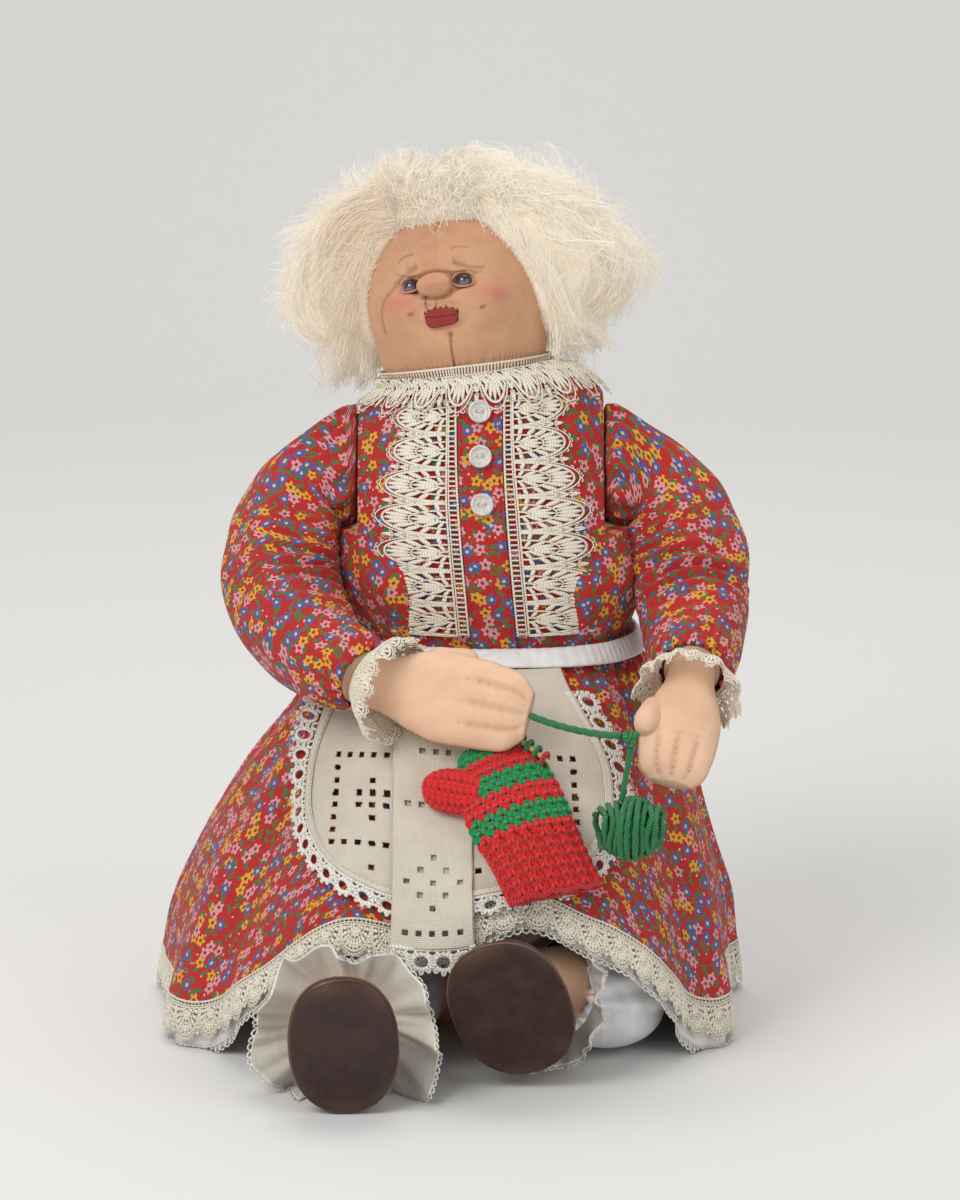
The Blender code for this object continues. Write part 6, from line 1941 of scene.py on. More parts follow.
@dataclass
class Bodice:
    """Red calico bodice with its placket, pearl buttons, lace panels and lace collar."""

    rows: int = 150
    sides: int = 260
    top_share: float = 0.985
    gather_depth: float = 0.0011
    placket_width: float = 0.0172
    placket_thickness: float = 0.0012
    placket_top: float = 0.973
    panel_width: float = 0.0295
    panel_flare: float = 1.14
    blousing: float = 0.0030
    panel_top: float = 0.968
    panel_bottom: float = 0.625
    button_radius: float = 0.0046
    button_thickness: float = 0.0022
    button_hole: float = 0.0006
    button_spacing: float = 0.0022
    button_shares: tuple = (0.949, 0.893, 0.823)
    collar_standoff: float = 0.0019
    collar_height: float = 0.0055

    @property
    def cloth_top(self) -> float:
        """Stand-off of what lies on the bodice."""
        return GAP + COTTON + FACET_ALLOWANCE

    def bodice(self) -> Piece:
        """Bodice with gathers above the waist and drag folds at the arms."""
        share = np.linspace(TORSO.waist_share, self.top_share, self.rows)[:, None]
        turn = ring_turns(self.sides)[None, :]
        turn, share = np.broadcast_arrays(turn, share)
        points = TORSO.surface(turn, share)
        across = points[..., 0] - TORSO.centre(share)[..., 0]
        free = smooth_step((np.abs(across) - 0.024) / 0.014)
        free = np.where(np.cos(turn) < 0, 1.0, free)
        up = (share - TORSO.waist_share) / (1 - TORSO.waist_share)
        gather = np.cos(30 * turn + 1.2 * np.sin(5 * turn)) * bell(up / 0.20)
        drag = np.cos(9 * turn - 7.0 * up * np.sign(across)) * bell((up - 0.45) / 0.30)
        soft = rumple(points, 0.024, 11)
        fold = self.gather_depth * (0.9 * gather + 0.55 * drag + 0.5 * soft) * free
        fold += 0.0004 * np.cos(34 * turn) * bell(up / 0.06) * (1 - free)
        fold += self.blousing * bell((up - 0.22) / 0.12) * smooth_step(
            (np.abs(across) - 0.026) / 0.014) * (1 + 0.3 * np.cos(11 * turn + 3 * up))
        points = lifted(TORSO.surface, turn, share, GAP + COTTON + 0.0009 * free + fold)
        points = TORSO.limited(points, share, -0.0004)
        grid = Grid(points, True, gores=6)
        made = grid.sheet("bodice_calico", COTTON * 0.7)
        CALICO.give(made)
        cloth(made, grid, ["torso_stuffed"])
        return dressed(made, "torso", "dress_bodice")

    def placket(self) -> Piece:
        """Button band with turned edges."""
        half = self.placket_width / 2
        rows = np.linspace(TORSO.waist_share + 0.006, self.placket_top, 130)
        edge = np.full(len(rows), half)
        grid = TORSO.strip(rows, -edge, edge, 25, self.cloth_top + self.placket_thickness * 0.75)
        across = np.linspace(-1, 1, 25)[None, :]
        up = np.linspace(0, 1, len(rows))[:, None]
        crown = 0.00035 * (1 - np.abs(across) ** 6) + 0.00012 * np.sin(up * 40 + 2 * across)
        grid = Grid(grid.points + grid.normals() * (crown - 0.0002)[..., None], False, 12)
        made = grid.sheet("placket_calico", self.placket_thickness)
        CALICO.give(made)
        cloth(made, grid, ["bodice_calico"])
        return dressed(made, "torso", "dress_placket")

    def panel(self, side: Side) -> None:
        """Lace panel beside the placket, over its net of bobbin threads."""
        sign = side.value
        start = self.placket_width / 2 + 2 * GAP
        rows = np.linspace(self.panel_bottom, self.panel_top, 160)
        narrow = 1 - 0.25 * smooth_step((rows - 0.80) / 0.14)
        inner = np.full(len(rows), sign * start)
        outer = sign * (start + self.panel_width * self.panel_flare * narrow)
        grid = TORSO.strip(rows, inner, outer, 40, self.cloth_top + LACE * 0.5)
        points = np.swapaxes(grid.points, 0, 1)
        points = points[:, ::-1] if sign > 0 else points
        patch = Patch(Grid(points))
        pattern = FanLace(width=patch.width - 1.8)
        made = patch.weave(side.word + "_panel_bobbin_lace", pattern.along(patch.length))
        ECRU_THREAD.give(made)
        dressed(made, "torso", side.word + "_lace_panel")

    def button(self, name: str, share: float) -> None:
        """Two-hole pearl button with a rolled rim, a dished face and its thread."""
        zero, height = np.array(0.0), np.array(share)
        normal = normal_at(TORSO.surface, zero, height)
        flatness = self.button_radius ** 2 / (2 * TORSO.front)
        standoff = self.cloth_top + self.placket_thickness + GAP + flatness / 2
        base = TORSO.surface(zero, height) + normal * standoff
        side, rise, normal = frame_from(normal, np.array((1.0, 0, 0)))
        profile = np.array(((0.02, 0.00), (0.55, 0.00), (0.82, 0.02), (0.95, 0.16), (1.0, 0.38),
                            (1.0, 0.66), (0.96, 0.88), (0.88, 1.0), (0.80, 0.97), (0.73, 0.80),
                            (0.66, 0.62), (0.50, 0.55), (0.30, 0.53), (0.02, 0.52)))
        fine = spine(np.column_stack([profile, np.zeros(len(profile))]), np.linspace(0, 1, 70))
        turn = ring_turns(64)
        reach = self.button_radius * fine[:, 0][:, None]
        flat = (side * np.cos(turn)[None, :, None] * reach[..., None]
                + rise * np.sin(turn)[None, :, None] * reach[..., None])
        points = base + flat + normal * (fine[:, 1] * self.button_thickness)[:, None, None]
        spots = [base + side * sign * self.button_spacing / 2 for sign in (-1, 1)]
        for spot in spots:
            away = points - spot
            away = away - normal * (away @ normal)[..., None]
            near = np.linalg.norm(away, axis=-1)
            sink = smooth_step(1.5 - near / self.button_hole) * (fine[:, 1] > 0.4)[:, None]
            points = points - normal * (sink * self.button_thickness * 0.42)[..., None]
        made = Grid(points, True).skin(name + "_pearl")
        PEARL.give(made)
        dressed(made, "torso", name)
        lift = base + normal * self.button_thickness * 0.62
        route = [spots[0] + normal * self.button_thickness * 0.20, lift + (spots[0] - base) * 0.7,
                 lift + (spots[1] - base) * 0.7, spots[1] + normal * self.button_thickness * 0.20]
        for number, shift in enumerate((-0.28, 0.28)):
            path = spine([np.array(p) + rise * shift * MM for p in route],
                         np.linspace(0, 1, 24))
            thread = plied_tube(f"{name}_thread_{number}", path, 0.00055, 2, 0.0014, 0.25, 8)
            ECRU_THREAD.give(thread)
            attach(thread, "torso")

    def collar(self) -> None:
        """Gathered lace collar that stands at the neck and spreads over the shoulders."""
        columns = 420
        turn = ring_turns(columns)
        rows = []
        for share in np.linspace(0.947, 1.0, 16):
            step = lifted(TORSO.surface, turn, np.full_like(turn, share),
                          GAP + self.collar_standoff + LACE * 0.6 + 0.0016 * (1 - share) / 0.05)
            lean = float(smooth_step(np.array((share - 0.985) / 0.015)))
            rows.append(step + np.array((-HEAD.sidestep * lean, 0, 0)))
        for part in np.linspace(0.25, 1.45, 8):
            share = max(self.collar_height * part - GAP, 0) / HEAD.height
            rows.append(lifted(HEAD.base, turn, np.full_like(turn, share),
                               self.collar_standoff + LACE * 0.4))
        points = np.array(rows)[::-1]
        grid = Grid(points, True)
        down = np.linspace(0, 1, len(rows))[:, None]
        ruffle = 0.0006 * np.sin(15 * turn + 2 * np.sin(3 * turn))[None, :] * down ** 1.2
        grid = grid.shifted(-(0.0006 * down + ruffle))
        points = grid.points[:, ::-1]
        patch = Patch(Grid(points, True))
        pattern = FanLace(13.0, patch.width - 0.9, 0.52, 8, (7, 11), 11, 1.7)
        made = patch.weave("collar_bobbin_lace", pattern.along(patch.length))
        ECRU_THREAD.give(made)
        dressed(made, "torso", "collar_lace")

    def seams(self) -> None:
        """Top stitching along the placket."""
        rows = np.linspace(TORSO.waist_share + 0.012, self.placket_top - 0.004, 200)
        for side in Side:
            across = np.full(len(rows), side.value * (self.placket_width / 2 - 0.0013))
            turn = TORSO.front_turn(rows, across)
            facing = normal_at(TORSO.surface, turn, rows)
            path = lifted(TORSO.surface, turn, rows, self.cloth_top + self.placket_thickness
                          * 0.75 + 0.0001)
            made = stitches(side.word + "_placket_stitching", path, facing, 1.6, 0.9, 0.28)
            SEWING_RED.give(made)
            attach(made, "torso")

    def build(self) -> None:
        """Make the bodice and what is sewn on it."""
        self.bodice()
        self.placket()
        for side in Side:
            self.panel(side)
        for word, share in zip(("top", "middle", "bottom"), self.button_shares):
            self.button("button_" + word, share)
        self.collar()
        self.seams()
        LOG.info("bodice: placket, 3 buttons, 2 lace panels and collar")


SEWING_RED = SpunThread("red_sewing_thread", "calico", "#A8242B", 0.7, dark="#6A1218",
                        twist_mm=0.6, bump_mm=0.04)
SEWING_IVORY = SpunThread("ivory_sewing_thread", "linen", "#E9DFC4", 0.7, dark="#BBAA84",
                          twist_mm=0.7, bump_mm=0.05)


@dataclass
class Skirt:
    """Gathered calico skirt with its lace hem, over a white petticoat."""

    columns: int = 560
    rows: int = 120
    petticoat_lift: float = 0.0012
    petticoat_top: float = 0.74
    petticoat_drop: float = 0.006
    pleat_depth: float = 0.0013

    def folds(self, turn: Array, share: Array) -> Array:
        """Gathers from the waist that open into soft folds away from the lap."""
        off_front = np.abs(np.mod(np.degrees(turn) + 180, 360) - 180)
        side = smooth_step((off_front - 24) / 34)
        fall = 1 - share
        gather = np.cos(58 * turn + 3 * np.sin(4 * turn)) * bell(fall / 0.13) * 0.75
        loose = (np.cos(23 * turn + 2.2 * np.sin(3 * turn + 0.5) + 1.4 * fall)
                 * smooth_step(fall / 0.15) * (1 - 0.4 * fall))
        return self.pleat_depth * (gather * (0.35 + 0.65 * side) + loose * side)

    def grid(self, offset: Array, low: Array, high: Array, rows: int, floor: float) -> Grid:
        """Grid that follows the skirt between two share lines."""
        turn = ring_turns(self.columns)[None, :]
        part = np.linspace(0, 1, rows)[:, None]
        share = low + (high - low) * part
        turn, share = np.broadcast_arrays(turn, share)
        points = SKIRT.surface(turn, share)
        rough = 0.0006 * rumple(points, 0.022, 21) * smooth_step((1 - share) / 0.1)
        points = lifted(SKIRT.surface, turn, share, offset + self.folds(turn, share) + rough)
        points[..., 2] = np.maximum(points[..., 2], floor)
        return Grid(points, True)

    def skirt(self) -> None:
        """Calico skirt."""
        turn = ring_turns(self.columns)
        cloth_end = SKIRT.hem_lace / SKIRT.length(turn)
        grid = self.grid(0.0, cloth_end[None, :], 1.0, self.rows, 0.0008)
        grid.gores = 8
        made = grid.sheet("skirt_calico", COTTON * 0.6)
        CALICO.give(made)
        cloth(made, grid, ["petticoat_voile"], [self.hem()])
        dressed(made, "torso", "dress_skirt")

    def hem(self) -> Piece:
        """Lace sewn along the skirt's hem."""
        turn = ring_turns(self.columns)
        top = (SKIRT.hem_lace + 0.0012) / SKIRT.length(turn)
        grid = self.grid(0.0003, 0.0 * top[None, :], top[None, :], 16, 0.0009)
        patch = Patch(Grid(grid.points[::-1, ::-1], True))
        pattern = FanLace(width=patch.width - 1.2, pitch=12.5)
        made = patch.weave("hem_bobbin_lace", pattern.along(patch.length), sides=4)
        ECRU_THREAD.give(made)
        return dressed(made, "torso", "hem_lace")

    def petticoat(self) -> None:
        """Voile petticoat that shows under the hem."""
        under = -(COTTON + self.petticoat_lift)
        turn = ring_turns(self.columns)
        grid = self.grid(under - 0.0006, 0.0, np.array(self.petticoat_top), 70, 0.0009)
        points = grid.points.copy()
        low = 1 - smooth_step(points[:6, :, 2] / (SKIRT.lap_height / 2))
        drop = np.linspace(1, 0, 6)[:, None] * self.petticoat_drop * low
        points[:6, :, 2] = np.maximum(points[:6, :, 2] - drop, 0.0007)
        flare = np.linspace(1, 0, 12)[:, None] * 0.0016
        points[:12] += grid.normals()[:12] * (flare * (0.5 + 0.5 * np.cos(41 * turn)))[..., None]
        points[..., 2] = np.maximum(points[..., 2], 0.0007)
        grid = Grid(points, True)
        made = grid.sheet("petticoat_voile", 0.0007)
        VOILE.give(made)
        patch = Patch(Grid(grid.points[:4][::-1, ::-1], True))
        edge = patch.weave("petticoat_picot_edging",
                           [Strand(s.path + np.array((0, patch.width - 0.6)), s.width,
                                   s.thickness, 0.3) for s in PicotEdge().along(patch.length)],
                           sides=4)
        WHITE_THREAD.give(edge)
        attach(edge, "torso")
        keep_above(edge, EDGING_FLOOR)
        cloth(made, grid, ["torso_stuffed"], [edge])
        dressed(made, "torso", "petticoat")

    def build(self) -> None:
        """Make the skirt and the petticoat."""
        self.petticoat()
        self.skirt()
        LOG.info("skirt: calico, hem lace and petticoat")


@dataclass
class Apron:
    """Linen apron with drawn-thread squares, crochet edging, waistband and hanging sash."""

    waistband_height: float = 0.0085
    waistband_thickness: float = 0.0014
    top_half_width: float = 0.046
    half_width: float = 0.064
    length: float = 0.108
    sidestep: float = 0.0185
    lace_gap: float = 0.0017
    lace_width: float = 0.0100
    sash_width: float = 0.034
    sash_start: float = 0.026
    sash_offset: float = 0.026
    sash_past: float = 0.034
    sash_lace: float = 0.0115
    hole_mm: float = 2.6
    cell_mm: float = 0.62

    def half_at(self, distance: Array) -> Array:
        """Half width at a distance below the waist, with round lower corners."""
        share = np.clip(distance / self.length, 0, 1)
        flare = self.top_half_width + (self.half_width - self.top_half_width) * smooth_step(
            share * 1.9)
        rounding = np.sqrt(np.maximum(1 - np.maximum(share - 0.55, 0) ** 2 / 0.45 ** 2, 0))
        return flare * (0.30 + 0.70 * rounding)

    def drawn(self, across_mm: Array, down_mm: Array) -> Array:
        """Which places of the apron are drawn-thread holes.

        The squares form a frame of single holes with pairs and a small cross inside it, once
        on each side of the middle, as counted by warp and weft.
        """
        pitch = self.hole_mm * 2.1
        columns = np.floor((across_mm + self.sidestep / MM) / pitch + 0.5)
        rows = np.floor((down_mm - 20) / pitch + 0.5)
        inside_x = np.abs(across_mm + self.sidestep / MM - columns * pitch) < self.hole_mm / 2
        inside_y = np.abs(down_mm - 20 - rows * pitch) < self.hole_mm / 2
        side = np.abs(columns)
        frame_ring = (((side == 3) | (side == 9)) & (rows >= 5) & (rows <= 12)
                      | ((side >= 3) & (side <= 9)) & ((rows == 5) | (rows == 12)))
        cross = ((side == 6) & (rows >= 7) & (rows <= 10)
                 | (side >= 5) & (side <= 7) & ((rows == 8) | (rows == 9)))
        foot = (rows == 14) & (side <= 7) & (np.mod(columns, 2) == 0)
        return inside_x & inside_y & (frame_ring | cross | foot)

    def panel(self) -> None:
        """Apron cloth, cut with real holes, laid over the lap."""
        start = self.waistband_height + GAP
        rows = np.arange(start, self.length, self.cell_mm * MM)
        columns = int(2 * self.half_width / (self.cell_mm * MM))
        part = np.linspace(-1, 1, columns)[None, :]
        across = self.half_at(rows)[:, None] * part - self.sidestep
        down = np.broadcast_to(rows[:, None], across.shape)
        spot = np.stack([across, down], -1)
        fold = 0.00035 * rumple(np.dstack([spot, 0 * across]), 0.030, 31)
        points = SKIRT.lap(down, across, LAYERS.apron + LINEN * 0.8 + fold)
        grid = Grid(points[::-1], False, columns // 2)
        middle_across = (across[1:, 1:] + across[:-1, :-1])[::-1] / 2 / MM
        middle_down = (down[1:, 1:] + down[:-1, :-1])[::-1] / 2 / MM
        keep = ~self.drawn(middle_across, middle_down)
        made = grid.sheet("apron_drawn_linen", LINEN * 0.7, keep)
        LINEN_CLOTH.give(made)
        cloth(made, grid, ["skirt_calico"], [self.edging(), self.hem_line()])
        dressed(made, "torso", "apron")

    def border(self, out: Array, lift: float, count: int = 420) -> Array:
        """Lines round the apron's sides and foot at distances out from its edge."""
        part = np.linspace(-1, 1, count)[None, :]
        out = np.asarray(out, float)[:, None]
        lean = np.cos(part * math.pi / 2)
        top = self.waistband_height * 2.2
        distance = top + (self.length - top) * lean
        edge = self.half_at(distance) * np.where(np.abs(part) > 0.06, 1, np.abs(part) / 0.06)
        across = np.sign(part) * (edge + out * (1 - lean ** 3)) - self.sidestep
        return SKIRT.lap(distance + out * lean, across, LAYERS.apron + lift)

    def edging(self) -> Piece:
        """Crocheted shells round the apron."""
        out = np.linspace(-0.0006, self.lace_gap + self.lace_width * 1.05, 10)
        points = self.border(out, LACE * 0.8)
        patch = Patch(Grid(points[:, ::-1]))
        pattern = CrochetScallop(width=patch.width, pitch=10.4)
        made = patch.weave("apron_crochet_edging", pattern.along(patch.length))
        WHITE_THREAD.give(made)
        return dressed(made, "torso", "apron_lace")

    def hem_line(self) -> Piece:
        """Ivory hem turned and stitched round the apron."""
        out = np.linspace(-0.0034, -0.0004, 5)
        grid = Grid(self.border(out, LINEN + 0.0006)[:, ::-1])
        made = grid.sheet("apron_turned_hem", 0.0006)
        LINEN_HEM.give(made)
        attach(made, "torso")
        line = self.border(np.array([-0.0030]), LINEN + 0.0007)[0]
        facing = Patch(grid).facing[0][::-1]
        row = stitches("apron_hem_stitching", line, facing, 1.7, 1.1, 0.34)
        SEWING_IVORY.give(row)
        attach(row, "torso")
        return made

    def sash(self) -> None:
        """Sash end over the apron, with its own drawn squares and crochet."""
        foot = self.length + self.sash_past
        end = foot - self.sash_lace
        cell = self.cell_mm * MM
        down = np.arange(self.sash_start, end, cell)[:, None]
        across = np.arange(-self.sash_width / 2, self.sash_width / 2, cell)[None, :]
        down, across = np.broadcast_arrays(down, across)
        along = (down - self.sash_start) / (end - self.sash_start)
        fold = 0.0007 * bell((along - 0.74) / 0.035) - 0.0002 * bell((along - 0.69) / 0.03)
        fold += 0.0004 * rumple(np.dstack([across, down, 0 * down]), 0.020, 33)
        points = SKIRT.lap(down, across - self.sash_offset, LAYERS.sash + LINEN * 0.9 + fold)
        grid = Grid(points[::-1], False, points.shape[1] // 2)
        hole_mm = self.hole_mm * 1.2
        pitch = hole_mm * 1.8
        rows = np.floor(down / MM / pitch + 0.5)
        columns = np.floor(across / MM / pitch + 0.5)
        inside = ((np.abs(down / MM - rows * pitch) < hole_mm / 2)
                  & (np.abs(across / MM - columns * pitch) < hole_mm / 2))
        first = rows.min() + 2
        step = rows - first
        motif = ((step == 1) & (np.abs(columns) <= 1) | (step == 5) & (np.abs(columns) <= 2)
                 | (step == 9) & (columns == 0) | (step == 10) & (np.abs(columns) == 1)
                 | (step == 11) & ((columns == 0) | (np.abs(columns) == 2))
                 | (step == 12) & (np.abs(columns) == 1) | (step == 13) & (columns == 0)
                 | (step == 15) & (np.abs(columns) <= 2))
        hole = (inside & motif)[::-1]
        keep = ~(hole[1:, 1:] & hole[:-1, :-1])
        made = grid.sheet("sash_drawn_linen", LINEN * 0.7, keep)
        LINEN_CLOTH.give(made)
        edge = self.sash_end(end, foot)
        cloth(made, grid, ["apron_drawn_linen"], [edge])
        dressed(made, "torso", "apron_sash")

    def sash_end(self, end: float, foot: float) -> Piece:
        """Crocheted end of the sash."""
        down = np.linspace(end - 0.0010, foot, 10)[:, None]
        across = np.linspace(self.sash_width / 2, -self.sash_width / 2, 60)[None, :]
        points = SKIRT.lap(down, across - self.sash_offset, LAYERS.sash + LACE * 0.8)
        patch = Patch(Grid(points))
        pattern = CrochetScallop(width=patch.width, pitch=8.2)
        made = patch.weave("sash_crochet_end", pattern.along(patch.length))
        WHITE_THREAD.give(made)
        return dressed(made, "torso", "sash_lace")

    def waistband(self) -> None:
        """Satin-bound waistband with small puckers."""
        turn = ring_turns(520)[None, :]
        down = np.linspace(self.waistband_height, GAP, 14)[:, None]
        turn, down = np.broadcast_arrays(turn, down)
        share = np.maximum(1 - down / SKIRT.length(turn[0])[None, :], 0)
        crown = 1 - np.abs(down / self.waistband_height * 2 - 1) ** 4
        pucker = 0.00010 * np.cos(90 * turn + 4 * np.sin(7 * turn))
        standoff = LAYERS.apron + self.waistband_thickness * (0.7 + 0.5 * crown) + pucker
        grid = Grid(lifted(SKIRT.surface, turn, share, standoff), True)
        made = grid.sheet("apron_waistband_bound", self.waistband_thickness)
        SATIN_BAND.give(made)
        cloth(made, grid, ["skirt_calico"])
        dressed(made, "torso", "apron_waistband")

    def build(self) -> None:
        """Make the apron."""
        self.panel()
        self.sash()
        self.waistband()
        LOG.info("apron: linen, crochet edging, sash and waistband")


SATIN_BAND = SoftSatin("satin_bound_waistband", "linen", "#EFEDE9", 0.6, bump_mm=0.12)


@dataclass
class FaceLine:
    """Line on the face, as turns in degrees and height shares."""

    points: tuple
    width_mm: float
    depth_mm: float
    # share of the painted shade along the line
    paint: float = 0.5

    def distance(self, turn_deg: Array, share: Array) -> Array:
        """Distance in millimetres from places on the face."""
        scale = np.array((HEAD.half_width / MM * math.pi / 180, HEAD.height / MM))
        places = np.stack([turn_deg, share], -1) * scale
        nodes = spine([(a * scale[0], b * scale[1]) for a, b in self.points],
                      np.linspace(0, 1, 6 * len(self.points)))
        least = np.full(turn_deg.shape, 1e9)
        for low, high in zip(nodes[:-1], nodes[1:]):
            way = high - low
            part = np.clip(((places - low) @ way) / way.dot(way), 0, 1)
            least = np.minimum(least, np.linalg.norm(places - low - part[..., None] * way, axis=-1))
        return least

    def near(self, turn_deg: Array, share: Array, widen: float = 1.0) -> Array:
        """How near places are, from 0 to 1."""
        return bell(self.distance(turn_deg, share) / (self.width_mm * widen))


@dataclass
class Head:
    """Needle-sculpted head: stuffed face, gathered nose, bead eyes and stitched mouth."""

    columns: int = 620
    rows: int = 300
    crowd: float = 0.55
    nose_turn: float = -3.0
    nose_share: float = 0.562
    nose_half_width: float = 0.0069
    nose_half_height: float = 0.0048
    nose_depth: float = 0.0074
    eye_spread: float = 16.0
    eye_share: float = 0.575
    eye_radius: float = 0.0031
    mouth_turn: float = -1.0
    mouth_share: float = 0.385
    mouth_half_width: float = 0.0070
    mouth_half_height: float = 0.0037
    lines: tuple = field(default_factory=lambda: (
        FaceLine(((-14, 0.672), (-23, 0.625), (-33, 0.545), (-39, 0.47), (-42, 0.40),
                  (-44, 0.32)), 1.0, 0.9, 0.65),
        FaceLine(((9, 0.672), (18, 0.640), (27, 0.628)), 0.8, 0.7, 0.6),
        FaceLine(((-30, 0.600), (-24, 0.590)), 0.6, 0.5, 0.5),
        FaceLine(((-29, 0.640), (-23, 0.622), (-20, 0.605)), 0.55, 0.5, 0.5),
        FaceLine(((-19, 0.655), (-21, 0.700)), 0.5, 0.4, 0.3),
        FaceLine(((8, 0.700), (11, 0.640)), 0.55, 0.5, 0.35),
        FaceLine(((17, 0.600), (25, 0.606)), 0.55, 0.5, 0.45),
        FaceLine(((-19, 0.545), (-13, 0.538), (-9, 0.515)), 0.7, 0.5, 0.35),
        FaceLine(((4, 0.535), (12, 0.535), (20, 0.553)), 0.7, 0.5, 0.35),
        FaceLine(((-8.5, 0.500), (-8.0, 0.430)), 0.40, 0.5, 0.75),
        FaceLine(((-2.5, 0.490), (-2.8, 0.435)), 0.40, 0.4, 0.55),
        FaceLine(((2.2, 0.285), (2.0, 0.20), (2.3, 0.07)), 0.42, 0.8, 0.85),
        FaceLine(((-18.5, 0.412), (-17.5, 0.413)), 0.9, 1.1, 0.75),
        FaceLine(((21.5, 0.411), (22.5, 0.412)), 0.9, 1.1, 0.75),
        FaceLine(((2.1, 0.290), (2.2, 0.282)), 1.0, 1.3, 0.7),
        FaceLine(((-9.0, 0.505), (-7.6, 0.507)), 1.0, 1.0, 0.85),
        FaceLine(((4.2, 0.520), (5.0, 0.530)), 0.9, 0.9, 0.6),
        FaceLine(((-12, 0.845), (-3, 0.875), (8, 0.850)), 1.2, 0.35, 0.15),
        FaceLine(((-9, 0.775), (0, 0.790), (9, 0.775)), 1.3, 0.30, 0.12)))
    brows: tuple = field(default_factory=lambda: (
        FaceLine(((-29, 0.705), (-24, 0.735), (-17, 0.742)), 0.42, 0.0, 0.75),
        FaceLine(((7.5, 0.752), (13, 0.757), (19, 0.748)), 0.38, 0.0, 0.55)))

    def eye_turn(self, sign: int) -> float:
        """Turn of an eye in degrees."""
        return self.nose_turn + sign * self.eye_spread

    def hollow(self, turn_deg: Array, share: Array) -> Array:
        """Depth of the sculpted face below its plain form, in metres."""
        mm_across = HEAD.half_width / MM * math.pi / 180
        tall = HEAD.height / MM
        depth = np.zeros_like(turn_deg)
        for line in self.lines:
            depth = depth - line.depth_mm * line.near(turn_deg, share)
            depth = depth + line.depth_mm * 0.35 * line.near(turn_deg, share, 2.6)
        for sign in (-1, 1):
            across = (turn_deg - self.eye_turn(sign)) * mm_across
            up = (share - self.eye_share) * tall
            depth = depth - 2.2 * bell(np.hypot(across / 4.2, up / 3.4))
            depth = depth + 1.9 * bell(np.hypot(across / 5.0, (up - 4.1) / 1.25))
            depth = depth + 1.0 * bell(np.hypot(across / 5.0, (up + 4.4) / 1.5))
        across = (turn_deg - self.nose_turn) * mm_across
        up = (share - self.nose_share) * tall
        depth = depth - 1.6 * bell((np.hypot(across / 7.6, up / 4.9) - 1.0) / 0.22)
        across = (turn_deg - self.mouth_turn) * mm_across
        up = (share - self.mouth_share) * tall
        round_mouth = np.hypot(across / 8.6, up / 4.9)
        depth = depth - 0.9 * bell((round_mouth - 1.0) / 0.30)
        depth = depth + 0.9 * bell(round_mouth / 2.2)
        around = np.abs(turn_deg)
        gather = np.cos(turn_deg * 0.60 + 2.6 * np.sin(turn_deg * 0.13 + 0.6)) ** 4
        low = 1 - smooth_step((share - 0.06) / 0.12)
        depth = depth - 0.6 * gather * low * smooth_step((78 - around) / 20)
        return depth * MM

    def paints(self, turn_deg: Array, share: Array) -> dict[str, Array]:
        """Colour shares of the rouge, the painted shade in the creases, and the brows."""
        mm_across = HEAD.half_width / MM * math.pi / 180
        tall = HEAD.height / MM
        # painted shade along the sculpted lines, round the eye sockets and the nose, and in the
        # chin's gathers
        crease = np.zeros_like(turn_deg)
        for line in self.lines:
            crease = np.maximum(crease, 0.62 * line.paint * line.near(turn_deg, share, 1.1))
        for sign in (-1, 1):
            across = (turn_deg - self.eye_turn(sign)) * mm_across
            up = (share - self.eye_share) * tall
            rim = bell((np.hypot(across / 3.9, up / 3.3) - 1.0) / 0.32)
            crease = np.maximum(crease, 0.30 * rim)
        across = (turn_deg - self.nose_turn) * mm_across
        up = (share - self.nose_share) * tall
        rim = bell((np.hypot(across / 7.5, up / 4.8) - 1.0) / 0.16)
        crease = np.maximum(crease, 0.22 * rim)
        gather = np.cos(turn_deg * 0.60 + 2.6 * np.sin(turn_deg * 0.13 + 0.6)) ** 12
        low = 1 - smooth_step((share - 0.07) / 0.09)
        crease = np.maximum(crease, 0.14 * gather * low * (np.abs(turn_deg) < 80))
        rouge = np.zeros_like(turn_deg)
        for turn, height, wide, high, strength in (
                (-25, 0.490, 9.6, 5.6, 0.40), (28, 0.487, 9.2, 5.0, 0.40),
                (33, 0.478, 3.8, 2.6, 0.26), (-29, 0.485, 4.6, 2.8, 0.16),
                (-3, 0.80, 12, 6, 0.10)):
            spot = np.hypot((turn_deg - turn) * mm_across / wide, (share - height) * tall / high)
            rouge = rouge + strength * bell(spot)
        brow = np.zeros_like(turn_deg)
        hairs = 0.6 + 0.4 * np.sin(turn_deg * 9 + share * 300)
        for line in self.brows:
            brow = np.maximum(brow, line.paint * line.near(turn_deg, share) * hairs)
        return {"rouge": rouge, "crease": crease, "brow": brow}

    def face(self) -> Piece:
        """Stuffed head with its sculpted face."""
        plain = ring_turns(self.columns)
        turn = plain - self.crowd * np.sin(plain)
        share = np.linspace(0, 0.995, self.rows)
        turn, share = np.broadcast_arrays(turn[None, :], share[:, None])
        degrees = np.mod(np.degrees(turn) + 180, 360) - 180
        soft = 0.00035 * rumple(HEAD.base(turn, share), 0.020, 41)
        points = lifted(HEAD.surface, turn, share, self.hollow(degrees, share) + soft)
        made = Grid(points, True).skin("face_sculpted", end_tip=HEAD.crown())
        for name, values in self.paints(degrees, share).items():
            paint(made, name, np.concatenate([values.ravel(), [0.0, 0.0]]))
        FACE_CLOTH.give(made)
        return dressed(made, "head", "head")

    def spot(self, turn_deg: float, share: float) -> tuple[Array, Array, Array, Array]:
        """Place on the face with its side, rise and outward directions."""
        turn = math.radians(turn_deg)
        place, normal = (HEAD.surface(np.array(turn), np.array(share)),
                         normal_at(HEAD.surface, turn, share))
        side, rise, normal = frame_from(normal, HEAD.axes()[0])
        return place, side, rise, normal

